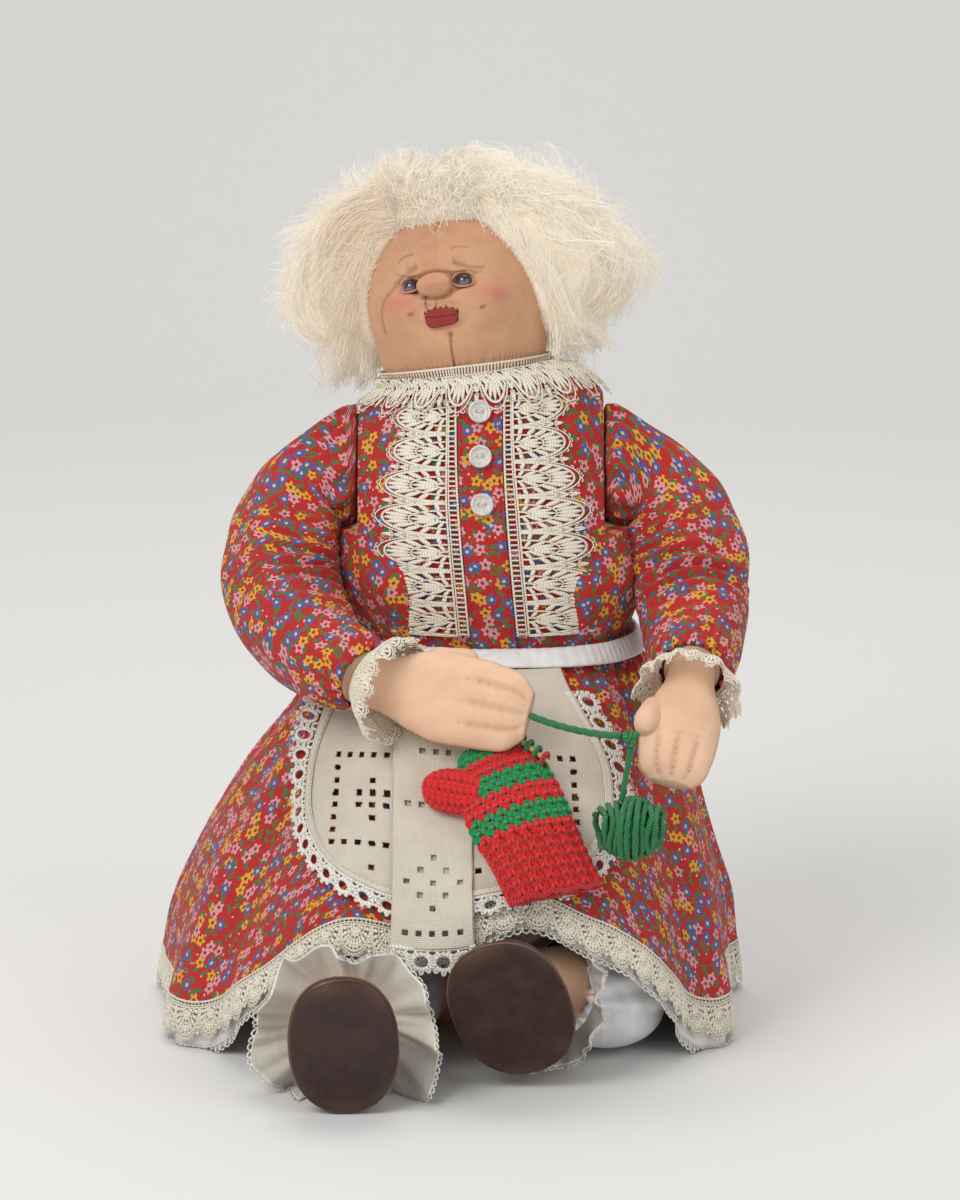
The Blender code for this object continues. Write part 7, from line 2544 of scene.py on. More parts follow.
    def nose(self) -> None:
        """Gathered nose: a ball of stuffing under the same cloth, drawn in round its edge."""
        place, side, rise, normal = self.spot(self.nose_turn, self.nose_share)
        ring = np.linspace(-80, 86, 44)
        turn = ring_turns(90)
        rows = []
        for degree in ring:
            tall = math.sin(math.radians(degree))
            wide = math.cos(math.radians(degree)) ** 0.9
            pull = 1 - 0.06 * (np.cos(turn * 11 + 1.0) ** 2) * float(smooth_step(
                np.array((20 - degree) / 60)))
            egg = 1 + 0.10 * np.cos(turn) * wide
            flat = (side * (np.cos(turn) * self.nose_half_width * wide * pull)[:, None]
                    + rise * (np.sin(turn) * self.nose_half_height * wide * pull * egg)[:, None])
            rows.append(place + flat + normal * (0.0012 + self.nose_depth * 0.52 * tall))
        grid = Grid(np.array(rows), True)
        grid = grid.shifted(0.00014 * rumple(grid.points, 0.006, 43))
        made = grid.skin("nose_gathered", end_tip=place + normal * (0.0012 + self.nose_depth
                                                                    * 0.525))
        height = np.concatenate([np.repeat(ring, 90), [-80, 86]])
        paint(made, "rouge", 0.26 * smooth_step((height - 10) / 60))
        # painted shadow under the nose: its lower half darkens toward the crease colour
        paint(made, "crease", 0.42 * smooth_step((0 - height) / 24))
        paint(made, "brow", np.zeros(len(height)))
        FACE_CLOTH.give(made)
        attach(made, "head")

    def eyes(self) -> None:
        """Glass beads sewn into their sockets, each with a rim of drawn cloth."""
        for word, sign in (("left", 1), ("right", -1)):
            place, side, rise, normal = self.spot(self.eye_turn(sign), self.eye_share)
            centre = place - normal * 0.0012
            rings = []
            for degree in np.linspace(-84, 84, 36):
                reach = self.eye_radius * math.cos(math.radians(degree))
                up = self.eye_radius * math.sin(math.radians(degree))
                rings.append(ring_at(centre + normal * up, side, rise, reach * 1.04, reach, 48))
            bead = Grid(np.array(rings), True).skin(word + "_eye_bead")
            # painted light: the lower part of each bead is painted paler, where light that enters
            # the glass from above comes out
            low = (vertices_of(bead) - centre) @ rise / self.eye_radius
            paint(bead, "glow", smooth_step((-low - 0.05) / 0.8))
            EYE_GLASS.give(bead)
            dressed(bead, "head", word + "_eye")
            for name, start, end, out, fat in (("upper", 10, 170, 1.20, 0.0010),
                                               ("lower", 200, 340, 1.14, 0.0006)):
                angle = np.radians(np.linspace(start, end, 40))
                lid = (centre + side * (np.cos(angle) * self.eye_radius * out * 1.22)[:, None]
                       + rise * (np.sin(angle) * self.eye_radius * out * 0.92)[:, None]
                       + normal * (0.0017 - 0.0009 * np.abs(np.cos(angle)) ** 2)[:, None])
                rings = [ring_at(point, normal, unit(point - centre), fat * size, fat * size * 0.8,
                                 14)
                         for point, size in zip(lid, 0.25 + 0.75 * np.sin(
                             np.linspace(0, math.pi, 40)) ** 0.6)]
                fold = Grid(np.array(rings), True).skin(f"{word}_{name}_lid")
                count = len(fold.data.vertices)
                paint(fold, "rouge", np.full(count, 0.12))
                # painted shade on the upper lid
                paint(fold, "crease", np.full(count, 0.06 if name == "upper" else 0.0))
                paint(fold, "brow", np.zeros(count))
                FACE_CLOTH.give(fold)
                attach(fold, "head")

    def mouth(self) -> None:
        """Mouth filled with rows of floss inside a darker outline."""
        wide, high = self.mouth_half_width / MM, self.mouth_half_height / MM
        mm_across = HEAD.half_width / MM * math.pi / 180
        across = np.linspace(-12, 12, 60)
        up = np.linspace(-7, 7, 36)
        turn = np.radians(self.mouth_turn + across / mm_across)
        share = self.mouth_share + up / (HEAD.height / MM)
        turn, share = np.broadcast_arrays(turn[None, :], share[:, None])
        degrees = np.degrees(turn)
        points = lifted(HEAD.surface, turn, share, self.hollow(degrees, share) + 0.0003)
        patch = Patch(Grid(points))
        middle_u, middle_v = patch.length / 2, patch.width / 2

        def edge(part: Array, top: bool) -> Array:
            """Height of the lips' edge over the mouth's middle line."""
            part = np.asarray(part, float)
            if top:
                peaks = 0.30 * np.cos(part * math.pi * 2.9) ** 2
                return high * (0.72 + peaks) * (1 - 0.5 * np.abs(part) ** 3)
            return -high * (1.0 - 0.15 * part) * np.sqrt(np.maximum(1 - (np.abs(part) * 0.92) ** 5,
                                                                    0))

        strands = []
        rows = 13
        for row in range(rows):
            level = (row + 0.5) / rows
            reach = 0.80 + 0.20 * smooth_step(np.array(level / 0.55))
            part = np.linspace(-0.93 * reach, 0.93 * reach, 22)
            low, top = edge(part, False), edge(part, True)
            v = low + (top - low) * level + 0.10 * wobble(part * 2, 50 + row)
            bulge = 0.65 * bell((level - 0.72) / 0.2) + 0.75 * bell((level - 0.25) / 0.22)
            strands.append(Strand(np.column_stack([middle_u + part * wide, middle_v + v]),
                                  0.74, 0.62, 0.2 + bulge * (1 - np.abs(part) ** 4)))
        made = patch.weave("lips_satin_stitch", strands, 8)
        LIP_THREAD.give(made)
        outline_parts = np.linspace(-1, 1, 60)
        ring_u = np.concatenate([outline_parts, outline_parts[::-1]]) * wide
        squeeze = np.concatenate([np.ones(60), np.full(60, 0.86)])
        ring_v = np.concatenate([edge(outline_parts, True), edge(outline_parts[::-1], False)])
        dark = [Strand(np.column_stack([middle_u + ring_u * squeeze, middle_v + ring_v]), 0.42,
                       0.42, 0.42)]
        dark.append(Strand(np.column_stack([middle_u + outline_parts * wide * 0.9,
                                            middle_v + 0.25 + 0.35 * outline_parts ** 2]),
                           0.34, 0.3, 0.95))
        for part in (-0.95, -0.32, 0.30, 0.93):
            top = float(edge(part, True))
            dark.append(Strand(np.array(((middle_u + part * wide, middle_v + top - 0.3),
                                         (middle_u + part * wide, middle_v + top + 0.4),
                                         (middle_u + part * wide * 1.03, middle_v + top + 1.0))),
                               0.34, 0.34, 0.4))
        line = patch.weave("lips_outline_stitch", dark, 6)
        LIP_OUTLINE.give(line)
        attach(line, "head")
        pad_share = np.linspace(0.02, 0.98, 16)[:, None]
        part = np.linspace(-0.96, 0.96, 40)[None, :]
        low, top = edge(part, False), edge(part, True)
        v = low + (top - low) * pad_share
        place, facing = patch.at(middle_u + part * wide + 0 * v, middle_v + v)
        dome = 0.0007 * np.sqrt(np.maximum(1 - (2 * pad_share - 1) ** 2, 0)) * (
            1 - np.abs(part) ** 6)
        pad = Grid(place + facing * (0.0001 + dome)[..., None]).sheet("lips_felt_pad", 0.0009)
        LIP_THREAD.give(pad)
        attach(pad, "head")
        dressed(made, "head", "lips")

    def sewn_lines(self) -> None:
        """Pull threads of the chin seam, the dimples and the nostrils."""
        for name, points in (("chin_seam_stitches", ((2.2, 0.285), (2.0, 0.20), (2.3, 0.085))),
                             ("nostril_stitch", ((-9.6, 0.509), (-8.0, 0.500), (-6.6, 0.506))),
                             ("philtrum_stitch", ((-8.4, 0.498), (-8.0, 0.452)))):
            route = spine([(a, b, 0.0) for a, b in points], np.linspace(0, 1, 60))
            turn, share = np.radians(route[:, 0]), route[:, 1]
            facing = normal_at(HEAD.surface, turn, share)
            depth = self.hollow(route[:, 0], share) + 0.0001
            path = lifted(HEAD.surface, turn, share, depth)
            made = stitches(name, path, facing, 1.5, 0.7, 0.26)
            DARK_THREAD.give(made)
            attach(made, "head")

    def build(self) -> None:
        """Make the head's pieces."""
        self.face()
        self.nose()
        self.eyes()
        self.mouth()
        self.sewn_lines()
        LOG.info("head: sculpted face, nose, eyes, mouth and pull threads")


LIP_OUTLINE = SpunThread("lip_outline_floss", "lip_felt", "#5E1C1E", 0.7, dark="#2E0C10",
                         twist_mm=0.7, bump_mm=0.04)
DARK_THREAD = SpunThread("brown_pull_thread", "face_cloth", "#6E3C2C", 0.75, dark="#3A1C16",
                         twist_mm=0.6, bump_mm=0.04)


@dataclass
class Wig:
    """Wool fleece wig: a felted cap, a dense curled hairline and loose wavy locks."""

    locks: int = 880
    strands_per_lock: int = 12
    objects: int = 3
    points: int = 12
    curls: int = 2800
    flyaways: int = 3200
    strand_radius: float = 0.00014
    hang: float = 0.055
    reach_past: float = 0.006
    scalp_centre: float = 0.035
    cap_rows: int = 110
    cap_columns: int = 300
    low_front: float = 0.90
    drop_back: float = 0.68

    def hairline(self, turn: Array) -> Array:
        """Height share at which the hair starts."""
        degrees = np.abs(np.mod(np.degrees(turn) + 3 + 180, 360) - 180)
        return self.low_front - self.drop_back * smooth_step((degrees - 40) / 52)

    def thickness(self, turn: Array, part: Array) -> Array:
        """Depth of the fleece, from the hairline (0) to the crown (1)."""
        low = self.hairline(turn)
        share = low + (1 - low) * part
        thick = (0.0075 + 0.024 * np.abs(np.sin(turn)) ** 1.5
                 * np.sin(math.pi * (0.25 + 0.75 * np.clip(share, 0, 1)))
                 + 0.002 * share ** 3)
        return 0.0035 + (thick - 0.0035) * smooth_step(part / 0.35)

    def at(self, turn: Array, part: Array, height: Array) -> Array:
        """Points in the fleece at a height over the scalp, in metres."""
        turn, part, height = np.broadcast_arrays(turn, part, height)
        below = np.minimum(part, 0)
        part = np.clip(part, 0, 1)
        low = self.hairline(turn)
        share = np.minimum(low + (1 - low) * part, 0.985)
        rim = 0.0042 * (1 - smooth_step(part / 0.07)) * (height < 0.002)
        place = lifted(HEAD.base, turn, share, 0.002 - rim + height)
        return place + np.array((0, 0, self.hang)) * below[..., None]

    def cap(self) -> None:
        """Felted fleece under the locks, with hollows between its clumps."""
        turn = ring_turns(self.cap_columns)[None, :]
        part = np.linspace(0, 0.97, self.cap_rows)[:, None]
        turn, part = np.broadcast_arrays(turn, part)
        thick = self.thickness(turn, part)
        points = self.at(turn, part, thick)
        thick = thick * (1 - 0.16 * smooth_step(part / 0.2))
        clump = 0.5 * rumple(points, 0.016, 61) + 0.35 * rumple(points, 0.007, 62, 14)
        groove = np.cos(turn * 46 + 2.4 * np.sin(part * 9 + 3 * turn)) * 0.25
        depth = 0.0008 + 0.0011 * (clump + groove) * smooth_step(part / 0.2)
        outer = self.at(turn, part, thick - depth)
        inner = self.at(turn, part, np.zeros_like(thick))
        rings = np.concatenate([inner[::-1][:-1:3], inner[:1], outer])
        made = Grid(rings, True).skin("wig_felted_cap",
                                      start_tip=HEAD.crown() + HEAD.axes()[2] * 0.002,
                                      end_tip=self.at(np.zeros(1), np.ones(1),
                                                      np.array([0.0085]))[0])
        places = vertices_of(made)
        # part painted shade: the cap under the locks leans further toward the shadow colour than
        # the locks over it, with clumps of random tone
        paint(made, "lock", 0.30 + 0.16 * rumple(places, 0.010, 63))
        golden = 0.35 * bell(np.linalg.norm((places - np.array((-0.055, -0.01, 0.315)))
                                            / 0.030, axis=-1))
        paint(made, "golden", golden)
        FLEECE.give(made)
        dressed(made, "head", "wig")

    def strands(self, name: str, turn: Array, part: Array, height: Array, swing: Array,
                phase: Array, cycles: Array, spread: Array, shade: Array) -> None:
        """Tapered fibres along paths in the fleece.

        Args:
            name: the object's name.
            turn: turns of the paths' points, a row for each fibre.
            part: their shares from hairline to crown.
            height: their heights over the scalp.
            swing: curl radius at each point.
            phase: curl phase of each fibre.
            cycles: number of curls of each fibre.
            spread: offsets that set a fibre apart in its lock, a 3-vector each.
            shade: how dark each fibre is.
        """
        count, points = turn.shape
        place = self.at(turn, part, height)
        along = np.linspace(0, 1, points)[None, :]
        way = unit(np.gradient(place, axis=1))
        out = unit(place - (HEAD.pivot() + HEAD.axes()[2] * self.scalp_centre))
        side = unit(np.cross(way, out))
        angle = phase[:, None] + TAU * cycles[:, None] * along
        place = (place + out * (swing * np.cos(angle))[..., None]
                 + side * (swing * np.sin(angle))[..., None]
                 + spread[:, None, :] * (1 - 0.45 * along[..., None]))
        over = np.maximum(place - np.array(CAD_BOX[1]) - self.reach_past, 0)
        place = place - over + self.reach_past * np.tanh(over / self.reach_past)
        way = unit(np.gradient(place, axis=1))
        side = unit(np.cross(way, out))
        rise = np.cross(side, way)
        taper = (self.strand_radius * (0.75 + 0.5 * np.sin(math.pi * along))
                 * (1 - 0.7 * along ** 3))
        around = ring_turns(3)
        ring = (place[:, :, None]
                + side[:, :, None] * (np.cos(around) * taper[..., None])[..., None]
                + rise[:, :, None] * (np.sin(around) * taper[..., None])[..., None])
        ring = ring.reshape(-1, 3)
        base = (np.arange(count) * points * 3)[:, None, None]
        row = np.arange(points - 1)[None, :, None] * 3
        column = np.arange(3)[None, None, :]
        quads = np.stack([base + row + column, base + row + (column + 1) % 3,
                          base + row + 3 + (column + 1) % 3, base + row + 3 + column],
                         -1).reshape(-1, 4)
        made = mesh_object(name, ring, quads)
        paint(made, "lock", np.repeat(shade, points * 3))
        gold = bell(np.linalg.norm((place - np.array((-0.058, -0.012, 0.318))) / 0.024, axis=-1))
        gold = gold + 0.7 * bell(np.linalg.norm((place - np.array((-0.072, 0.0, 0.275))) / 0.016,
                                                axis=-1))
        golden = 0.75 * gold * (1 - 0.75 * along)
        paint(made, "golden", np.repeat(np.clip(golden, 0, 0.8).ravel(), 3))
        FLEECE.give(made)
        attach(made, "head")

    def loose(self) -> None:
        """Wavy locks that sweep off the face and hang at the sides and the back."""
        source = np.random.default_rng(7)
        count = self.locks
        root = source.uniform(-math.pi, math.pi, count)
        start = source.uniform(0.02, 0.96, count) ** 0.85
        front = bell(np.degrees(root) / 58)
        along = np.linspace(0, 1, self.points)[None, :]
        length = source.uniform(0.45, 1.0, count)
        upward = np.where(source.uniform(0, 1, count) < front, 1.0, -1.0)
        drift = source.normal(0, 0.22, count) + 0.30 * np.sin(root)
        turns = root[:, None] + drift[:, None] * along ** 1.3
        parts = start[:, None] + (upward * length * 0.62)[:, None] * along
        beside = smooth_step((np.abs(np.degrees(turns)) - 62) / 14)
        parts = np.where(parts < 0, parts * (0.9 * beside - 0.15 * (1 - beside)), parts)
        behind = smooth_step((np.abs(np.degrees(turns)) - 100) / 20)
        parts = np.maximum(parts, -source.uniform(0.06, 0.26, count)[:, None]
                           * (1 - 0.75 * behind))
        inset = source.uniform(0.55, 1.0, count)[:, None]
        side = np.abs(np.sin(root))[:, None]
        flyaway = (source.uniform(0.0, 1.0, count)[:, None] ** 2.0 * 0.020
                   * (0.55 + 0.6 * side))
        local = self.thickness(turns, np.clip(parts, 0, 1))
        height = local * inset + flyaway * along ** 1.2 + 0.0010
        cycles = source.uniform(1.0, 3.0, count)
        swing = (source.uniform(0.0010, 0.0034, count)[:, None] * (0.3 + 0.7 * along))
        phase = source.uniform(0, TAU, count)
        shade = np.clip(source.normal(0.16, 0.13, count), 0, 0.55)
        share = -(-count // self.objects)
        for number in range(self.objects):
            chosen = slice(number * share, (number + 1) * share)

            def many(values: Array) -> Array:
                """Each lock's values, once for each of its fibres."""
                return np.repeat(values[chosen], self.strands_per_lock, axis=0)

            size = len(many(root))
            spread = source.normal(0, 0.0016, (size, 3))
            self.strands(f"wig_wavy_locks_{number}", many(turns) + source.normal(
                0, 0.02, (size, 1)), many(parts), many(height) + source.normal(
                    0, 0.0008, (size, 1)), many(swing), many(phase) + source.normal(0, 0.35, size),
                many(cycles) + source.normal(0, 0.08, size), spread,
                np.clip(many(shade) + source.normal(0, 0.06, size), 0, 0.7))

    def fringe(self) -> None:
        """Short tight curls packed along the hairline, and fine flyaway fibres."""
        source = np.random.default_rng(11)
        count = self.curls
        root = source.uniform(-math.pi * 0.60, math.pi * 0.60, count)
        along = np.linspace(0, 1, self.points)[None, :]
        start = source.uniform(-0.01, 0.13, count)
        turns = root[:, None] + (source.normal(0, 0.10, count))[:, None] * along
        parts = start[:, None] + source.uniform(-0.02, 0.10, count)[:, None] * along
        thick = self.thickness(turns, np.clip(parts, 0, 1))
        height = thick * source.uniform(0.05, 1.05, count)[:, None] + 0.0008 * along
        swing = source.uniform(0.0007, 0.0018, count)[:, None] * np.ones_like(along)
        self.strands("wig_hairline_curls", turns, parts, height, swing,
                     source.uniform(0, TAU, count), source.uniform(1.0, 2.0, count),
                     source.normal(0, 0.0004, (count, 3)),
                     np.clip(source.normal(0.03, 0.05, count), 0, 0.3))
        count = self.flyaways
        root = source.uniform(-math.pi, math.pi, count)
        start = source.uniform(0.1, 0.95, count)
        side = 0.5 + 0.5 * np.abs(np.sin(root))
        turns = root[:, None] + source.normal(0, 0.25, count)[:, None] * along
        parts = start[:, None] + source.normal(0, 0.22, count)[:, None] * along
        thick = self.thickness(turns, np.clip(parts, 0, 1))
        reach = source.uniform(0.004, 0.022, count) * side
        height = thick * 0.92 + reach[:, None] * along ** 1.2
        swing = source.uniform(0.0008, 0.0035, count)[:, None] * along
        self.strands("wig_flyaway_fibres", turns, parts, height, swing,
                     source.uniform(0, TAU, count), source.uniform(0.5, 1.6, count),
                     source.normal(0, 0.0012, (count, 3)),
                     np.clip(source.normal(0.10, 0.10, count), 0, 0.4))

    def build(self) -> None:
        """Make the wig."""
        self.cap()
        self.loose()
        self.fringe()
        LOG.info("wig: felted cap, %d locks and %d hairline curls", self.locks, self.curls)


@dataclass
class Arm:
    """One arm: stuffing, calico sleeve, lace cuff and stitched muslin hand."""

    side: Side
    sleeve_rows: int = 170
    sleeve_sides: int = 150
    extra_puff: float = 0.0016
    head_rise: float = 0.0060
    wrist_draw: float = 0.0022
    cuff_length: float = 0.0140
    cuff_flare: float = 0.0062
    hand_thickness: float = 0.0170
    thumb_radius: float = 0.0052
    thumb_length: float = 0.0200
    groove_depth: float = 0.22
    hand_shares: tuple = ((0.00, 0.60, 0.98), (0.14, 0.64, 1.00), (0.30, 0.86, 1.00),
                          (0.46, 1.00, 0.92), (0.62, 0.99, 0.78), (0.78, 0.94, 0.68),
                          (0.92, 0.82, 0.58), (1.00, 0.52, 0.30))

    @property
    def form(self) -> ArmForm:
        """The arm's line and sizes."""
        return ArmForm(self.side)

    @property
    def body(self) -> str:
        """Body on which the arm's pieces ride."""
        return self.side.word + "_arm"

    @property
    def hand_width(self) -> float:
        """Width over the knuckles."""
        return 0.036 if self.side is Side.RIGHT else 0.031

    def stuffing(self) -> None:
        """Muslin arm inside the sleeve."""
        shares = np.linspace(0, 1, 90)
        points = self.form.rings(shares, -0.0001, 60)
        grid = Grid(points, True)
        drawn_in = self.wrist_draw * smooth_step((shares - 0.93) / 0.06)[:, None]
        grid = grid.shifted(-0.0003 - drawn_in - 0.0003 * rumple(points, 0.02, 71))
        made = grid.skin(self.body + "_stuffed")
        MUSLIN.give(made)
        dressed(made, self.body, self.body)

    def sleeve(self) -> None:
        """Full calico sleeve, gathered at both ends and creased at the elbow."""
        shares = np.linspace(0, 1, self.sleeve_rows)
        frames = self.form.frames(shares)
        middle = np.array([frame[0] for frame in frames])
        ways = np.array([frame[3] for frame in frames])
        inward = unit(np.gradient(ways, axis=0) + 1e-9)
        points = self.form.rings(shares, self.form.sleeve_ease + COTTON, self.sleeve_sides,
                                 self.form.sleeve_puff + self.extra_puff)
        away = unit(points - middle[:, None])
        inner = np.clip(np.einsum("rsk,rk->rs", away, inward), 0, 1)
        share = shares[:, None]
        turn = ring_turns(self.sleeve_sides)[None, :]
        puff = smooth_step(share / 0.025 + 0.50) * (1 - smooth_step((share - 0.03) / 0.17))
        full = self.head_rise * puff * (1 + 0.18 * away[..., 2])
        full = full - self.wrist_draw * smooth_step((share - 0.94) / 0.06)
        head = np.cos(17 * turn + 2 * np.sin(3 * turn)) * bell(share / 0.15) * 1.8
        wrist = np.cos(19 * turn + 2 * np.sin(2 * turn + 1)) * bell((1 - share) / 0.13)
        elbow = (np.cos(share * 92 + 1.6 * np.sin(turn + 0.5)) * inner
                 * bell((share - 0.58) / 0.20))
        drag = np.cos(5 * turn + 11 * share + 1.5 * np.sin(share * 7)) * bell((share - 0.40) / 0.34)
        fall = np.cos(3 * turn - 8 * share) * bell((share - 0.72) / 0.22)
        fold = (0.0009 * head + 0.0008 * wrist + 0.0016 * elbow + 0.0011 * drag + 0.0008 * fall
                + 0.0005 * rumple(points, 0.016, 72))
        fold *= smooth_step(share / 0.05) * 0.6 + 0.4
        limit = TORSO.centre(TORSO.shoulder_share)[0] + self.side.value * (
            TORSO.shoulder_half_width + GAP)
        points = points + away * (fold + full)[..., None]
        reach = (points[..., 0] - limit) * self.side.value
        keep = np.where(share < 0.30, np.maximum(reach, 0.0002), reach)
        points[..., 0] = limit + keep * self.side.value
        grid = Grid(points, True, self.sleeve_sides // 4)
        made = grid.sheet(self.side.word + "_sleeve_calico", COTTON * 0.6)
        CALICO.give(made)
        cloth(made, grid, [self.body + "_stuffed"])
        dressed(made, self.body, self.side.word + "_sleeve")

    def cuff(self) -> None:
        """Gathered lace frill that flares over the wrist."""
        end, side, _, arm_way = self.form.wrist_frame()
        along = unit(arm_way + unit(self.form.tip - end))
        side, rise, along = frame_from(along, side)
        angle = math.acos(min(float(along @ arm_way), 1.0))
        radius = self.form.radius * 0.82 + self.form.sleeve_ease - self.wrist_draw
        start = end + along * (GAP * 2 + radius * math.sin(angle) - 0.0016)
        sides = 300
        turn = ring_turns(sides)
        rows = []
        for share in np.linspace(0, 1, 14):
            grow = radius + self.cuff_flare * 1.25 * math.sin(share * math.pi * 0.62)
            wave = 0.0016 * share * np.sin(13 * turn + 2.2 * np.sin(2 * turn))
            lean = 0.0013 * share * np.cos(7 * turn + 1)
            flat = side * np.cos(turn)[:, None] + rise * np.sin(turn)[:, None]
            rows.append(start + along * (self.cuff_length * 1.10 * share + lean)[:, None]
                        + flat * (grow + LACE * 0.6 + wave)[:, None])
        patch = Patch(Grid(np.array(rows), True))
        pattern = narrow_fan(patch.width - 0.9)
        made = patch.weave(self.side.word + "_cuff_bobbin_lace", pattern.along(patch.length))
        ECRU_THREAD.give(made)
        dressed(made, self.body, self.side.word + "_cuff_lace")

    def reach(self) -> tuple[Array, float, Array, Array, Array]:
        """Start, length and direction of the hand, the arm's direction, and a hint sideways."""
        wrist, _, _, arm_way = self.form.wrist_frame()
        start = wrist + arm_way * GAP * 2
        span = self.form.tip - start
        hint = np.array((0, 0.35, 1.0) if self.side is Side.RIGHT else (1.0, 0.25, 0.1))
        return start, float(np.linalg.norm(span)), unit(span), arm_way, hint

    def hand_place(self, share: Array, place: Array, face: Array, extra: Array = 0.0) -> Array:
        """Points of the hand.

        Args:
            share: from the wrist to the fingertips.
            place: across the hand, from -1 to 1.
            face: 1 on the back that one sees, -1 underneath.
            extra: height over the cloth in metres.

        Returns:
            Points of the broadcast shape.
        """
        share, place, face, extra = np.broadcast_arrays(
            *(np.asarray(value, float) for value in (share, place, face, extra)))
        start, length, along, arm_way, hint = self.reach()
        ease = smooth_step(share / 0.25)[..., None]
        across, lift, _ = frame_from(arm_way * (1 - ease) + along * ease,
                                     np.broadcast_to(hint, share.shape + (3,)))
        wide, thick = read_table(self.hand_shares, share)
        groove = self.groove_depth * smooth_step((share - 0.58) / 0.16)
        edge = np.sqrt(np.maximum(1 - np.abs(place) ** 2.6, 0))
        valley = np.where(np.abs(place) < 0.8, np.abs(np.cos(TAU * place)), 0.0)
        bump = 1 + groove * (0.22 - 0.82 * valley ** 5)
        height = self.hand_thickness / 2 * thick * edge * bump + extra
        return (start + along * (length * share)[..., None]
                + across * (place * self.hand_width / 2 * wide)[..., None]
                + lift * (face * height)[..., None])

    def hand(self) -> None:
        """Hand of dyed muslin, with fingers drawn in by rows of stitches."""
        rows, half = 110, 96
        share = np.linspace(0, 1, rows)[:, None]
        sweep = np.cos(np.linspace(0, math.pi, half, endpoint=False))[None, :]
        place = np.concatenate([sweep, -sweep], axis=1)
        face = np.concatenate([np.ones_like(sweep), -np.ones_like(sweep)], axis=1)
        share, place, face = np.broadcast_arrays(share, place, face)
        points = self.hand_place(share, place, face)
        soft = 0.00022 * rumple(points, 0.014, 73) + 0.00010 * rumple(points, 0.005, 74)
        valley = np.where(np.abs(place) < 0.8, np.abs(np.cos(TAU * place)), 0.0) ** 7
        pulls = 0.5 + 0.5 * np.cos(share * 118)
        fingers = smooth_step((share - 0.62) / 0.06) * (1 - smooth_step((share - 0.95) / 0.05))
        depth = soft - 0.00040 * valley * pulls * fingers
        knuckle = bell((share - 0.62) / 0.012) * (np.abs(place) < 0.62) * valley
        depth = depth - 0.0004 * knuckle
        grid = Grid(points, True).shifted(depth)
        tip = grid.points[-1].mean(axis=0) + unit(self.form.tip - grid.points[0].mean(axis=0)
                                                  ) * 0.0004
        made = grid.skin(self.side.word + "_hand_muslin", end_tip=tip)
        # painted shade in the stitched grooves between the fingers, in the knuckle crease and along
        # the hand's edge
        soil = 0.24 * valley * fingers + 0.15 * knuckle
        crease = bell((np.abs(place) - 1.0) / 0.03) * 0.35
        paint(made, "soil", np.concatenate([np.clip(soil + crease, 0, 0.8).ravel(), [0, 0]]))
        SKIN_MUSLIN.give(made)
        dressed(made, self.body, self.side.word + "_hand")
        self.thumb()
        self.finger_stitches()

    def thumb(self) -> None:
        """Thumb laid along the palm, sewn in at its root."""
        right = self.side is Side.RIGHT
        edge = 1 if right else -1
        start, length, along, _, hint = self.reach()
        side, rise, along = frame_from(along, hint)
        root = start + along * length * 0.34 + side * edge * self.hand_width * 0.36
        lean = unit(along + side * edge * 0.20 + rise * (-0.30 if right else 0.40))
        across, lift, lean = frame_from(lean, side)
        table = ((0.0, 0.55), (0.12, 0.90), (0.40, 1.0), (0.72, 0.92), (0.93, 0.60), (1.0, 0.12))
        rings, sides = [], 40
        shares = np.linspace(0, 1, 44)
        for share in shares:
            radius = self.thumb_radius * float(read_table(table, np.array(share))[0])
            rings.append(ring_at(root + lean * self.thumb_length * share, across, lift, radius,
                                 radius, sides))
        grid = Grid(np.array(rings), True)
        grid = grid.shifted(0.00015 * rumple(grid.points, 0.006, 75))
        made = grid.skin(self.side.word + "_thumb_muslin")
        # painted shade at the thumb's root, where it meets the hand
        soil = np.repeat(0.35 * bell(shares / 0.12), sides)
        paint(made, "soil", np.concatenate([soil, [0, 0]])[:len(made.data.vertices)])
        SKIN_MUSLIN.give(made)
        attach(made, self.body)

    def finger_stitches(self) -> None:
        """Rows of stitches between the fingers, and the seam along the hand's edge."""
        for number, place in enumerate((-0.5, 0.0, 0.5)):
            share = np.linspace(0.62, 0.955, 90)
            path = self.hand_place(share, np.full(90, place), np.ones(90), -0.0004)
            above = self.hand_place(share, np.full(90, place), np.ones(90), 0.001)
            row = stitches(f"{self.side.word}_finger_stitching_{number}", path,
                           unit(above - path), 1.2, 0.9, 0.24)
            SEWING_PEACH.give(row)
            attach(row, self.body)
        share = np.linspace(0.10, 0.97, 160)
        path = self.hand_place(share, np.full(160, -0.985), np.ones(160), 0.0001)
        middle = self.hand_place(share, np.zeros(160), np.ones(160), -self.hand_thickness / 2)
        row = stitches(self.side.word + "_hand_seam", path, unit(path - middle), 1.1, 0.7, 0.22)
        SEWING_PEACH.give(row)
        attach(row, self.body)

    def build(self) -> None:
        """Make the arm's pieces."""
        self.stuffing()
        self.sleeve()
        self.cuff()
        self.hand()
        LOG.info("%s arm: sleeve, cuff and hand", self.side.word)


SEWING_PEACH = SpunThread("peach_sewing_thread", "skin_muslin", "#C08A62", 0.7, dark="#8A5A3A",
                          twist_mm=0.6, bump_mm=0.04)


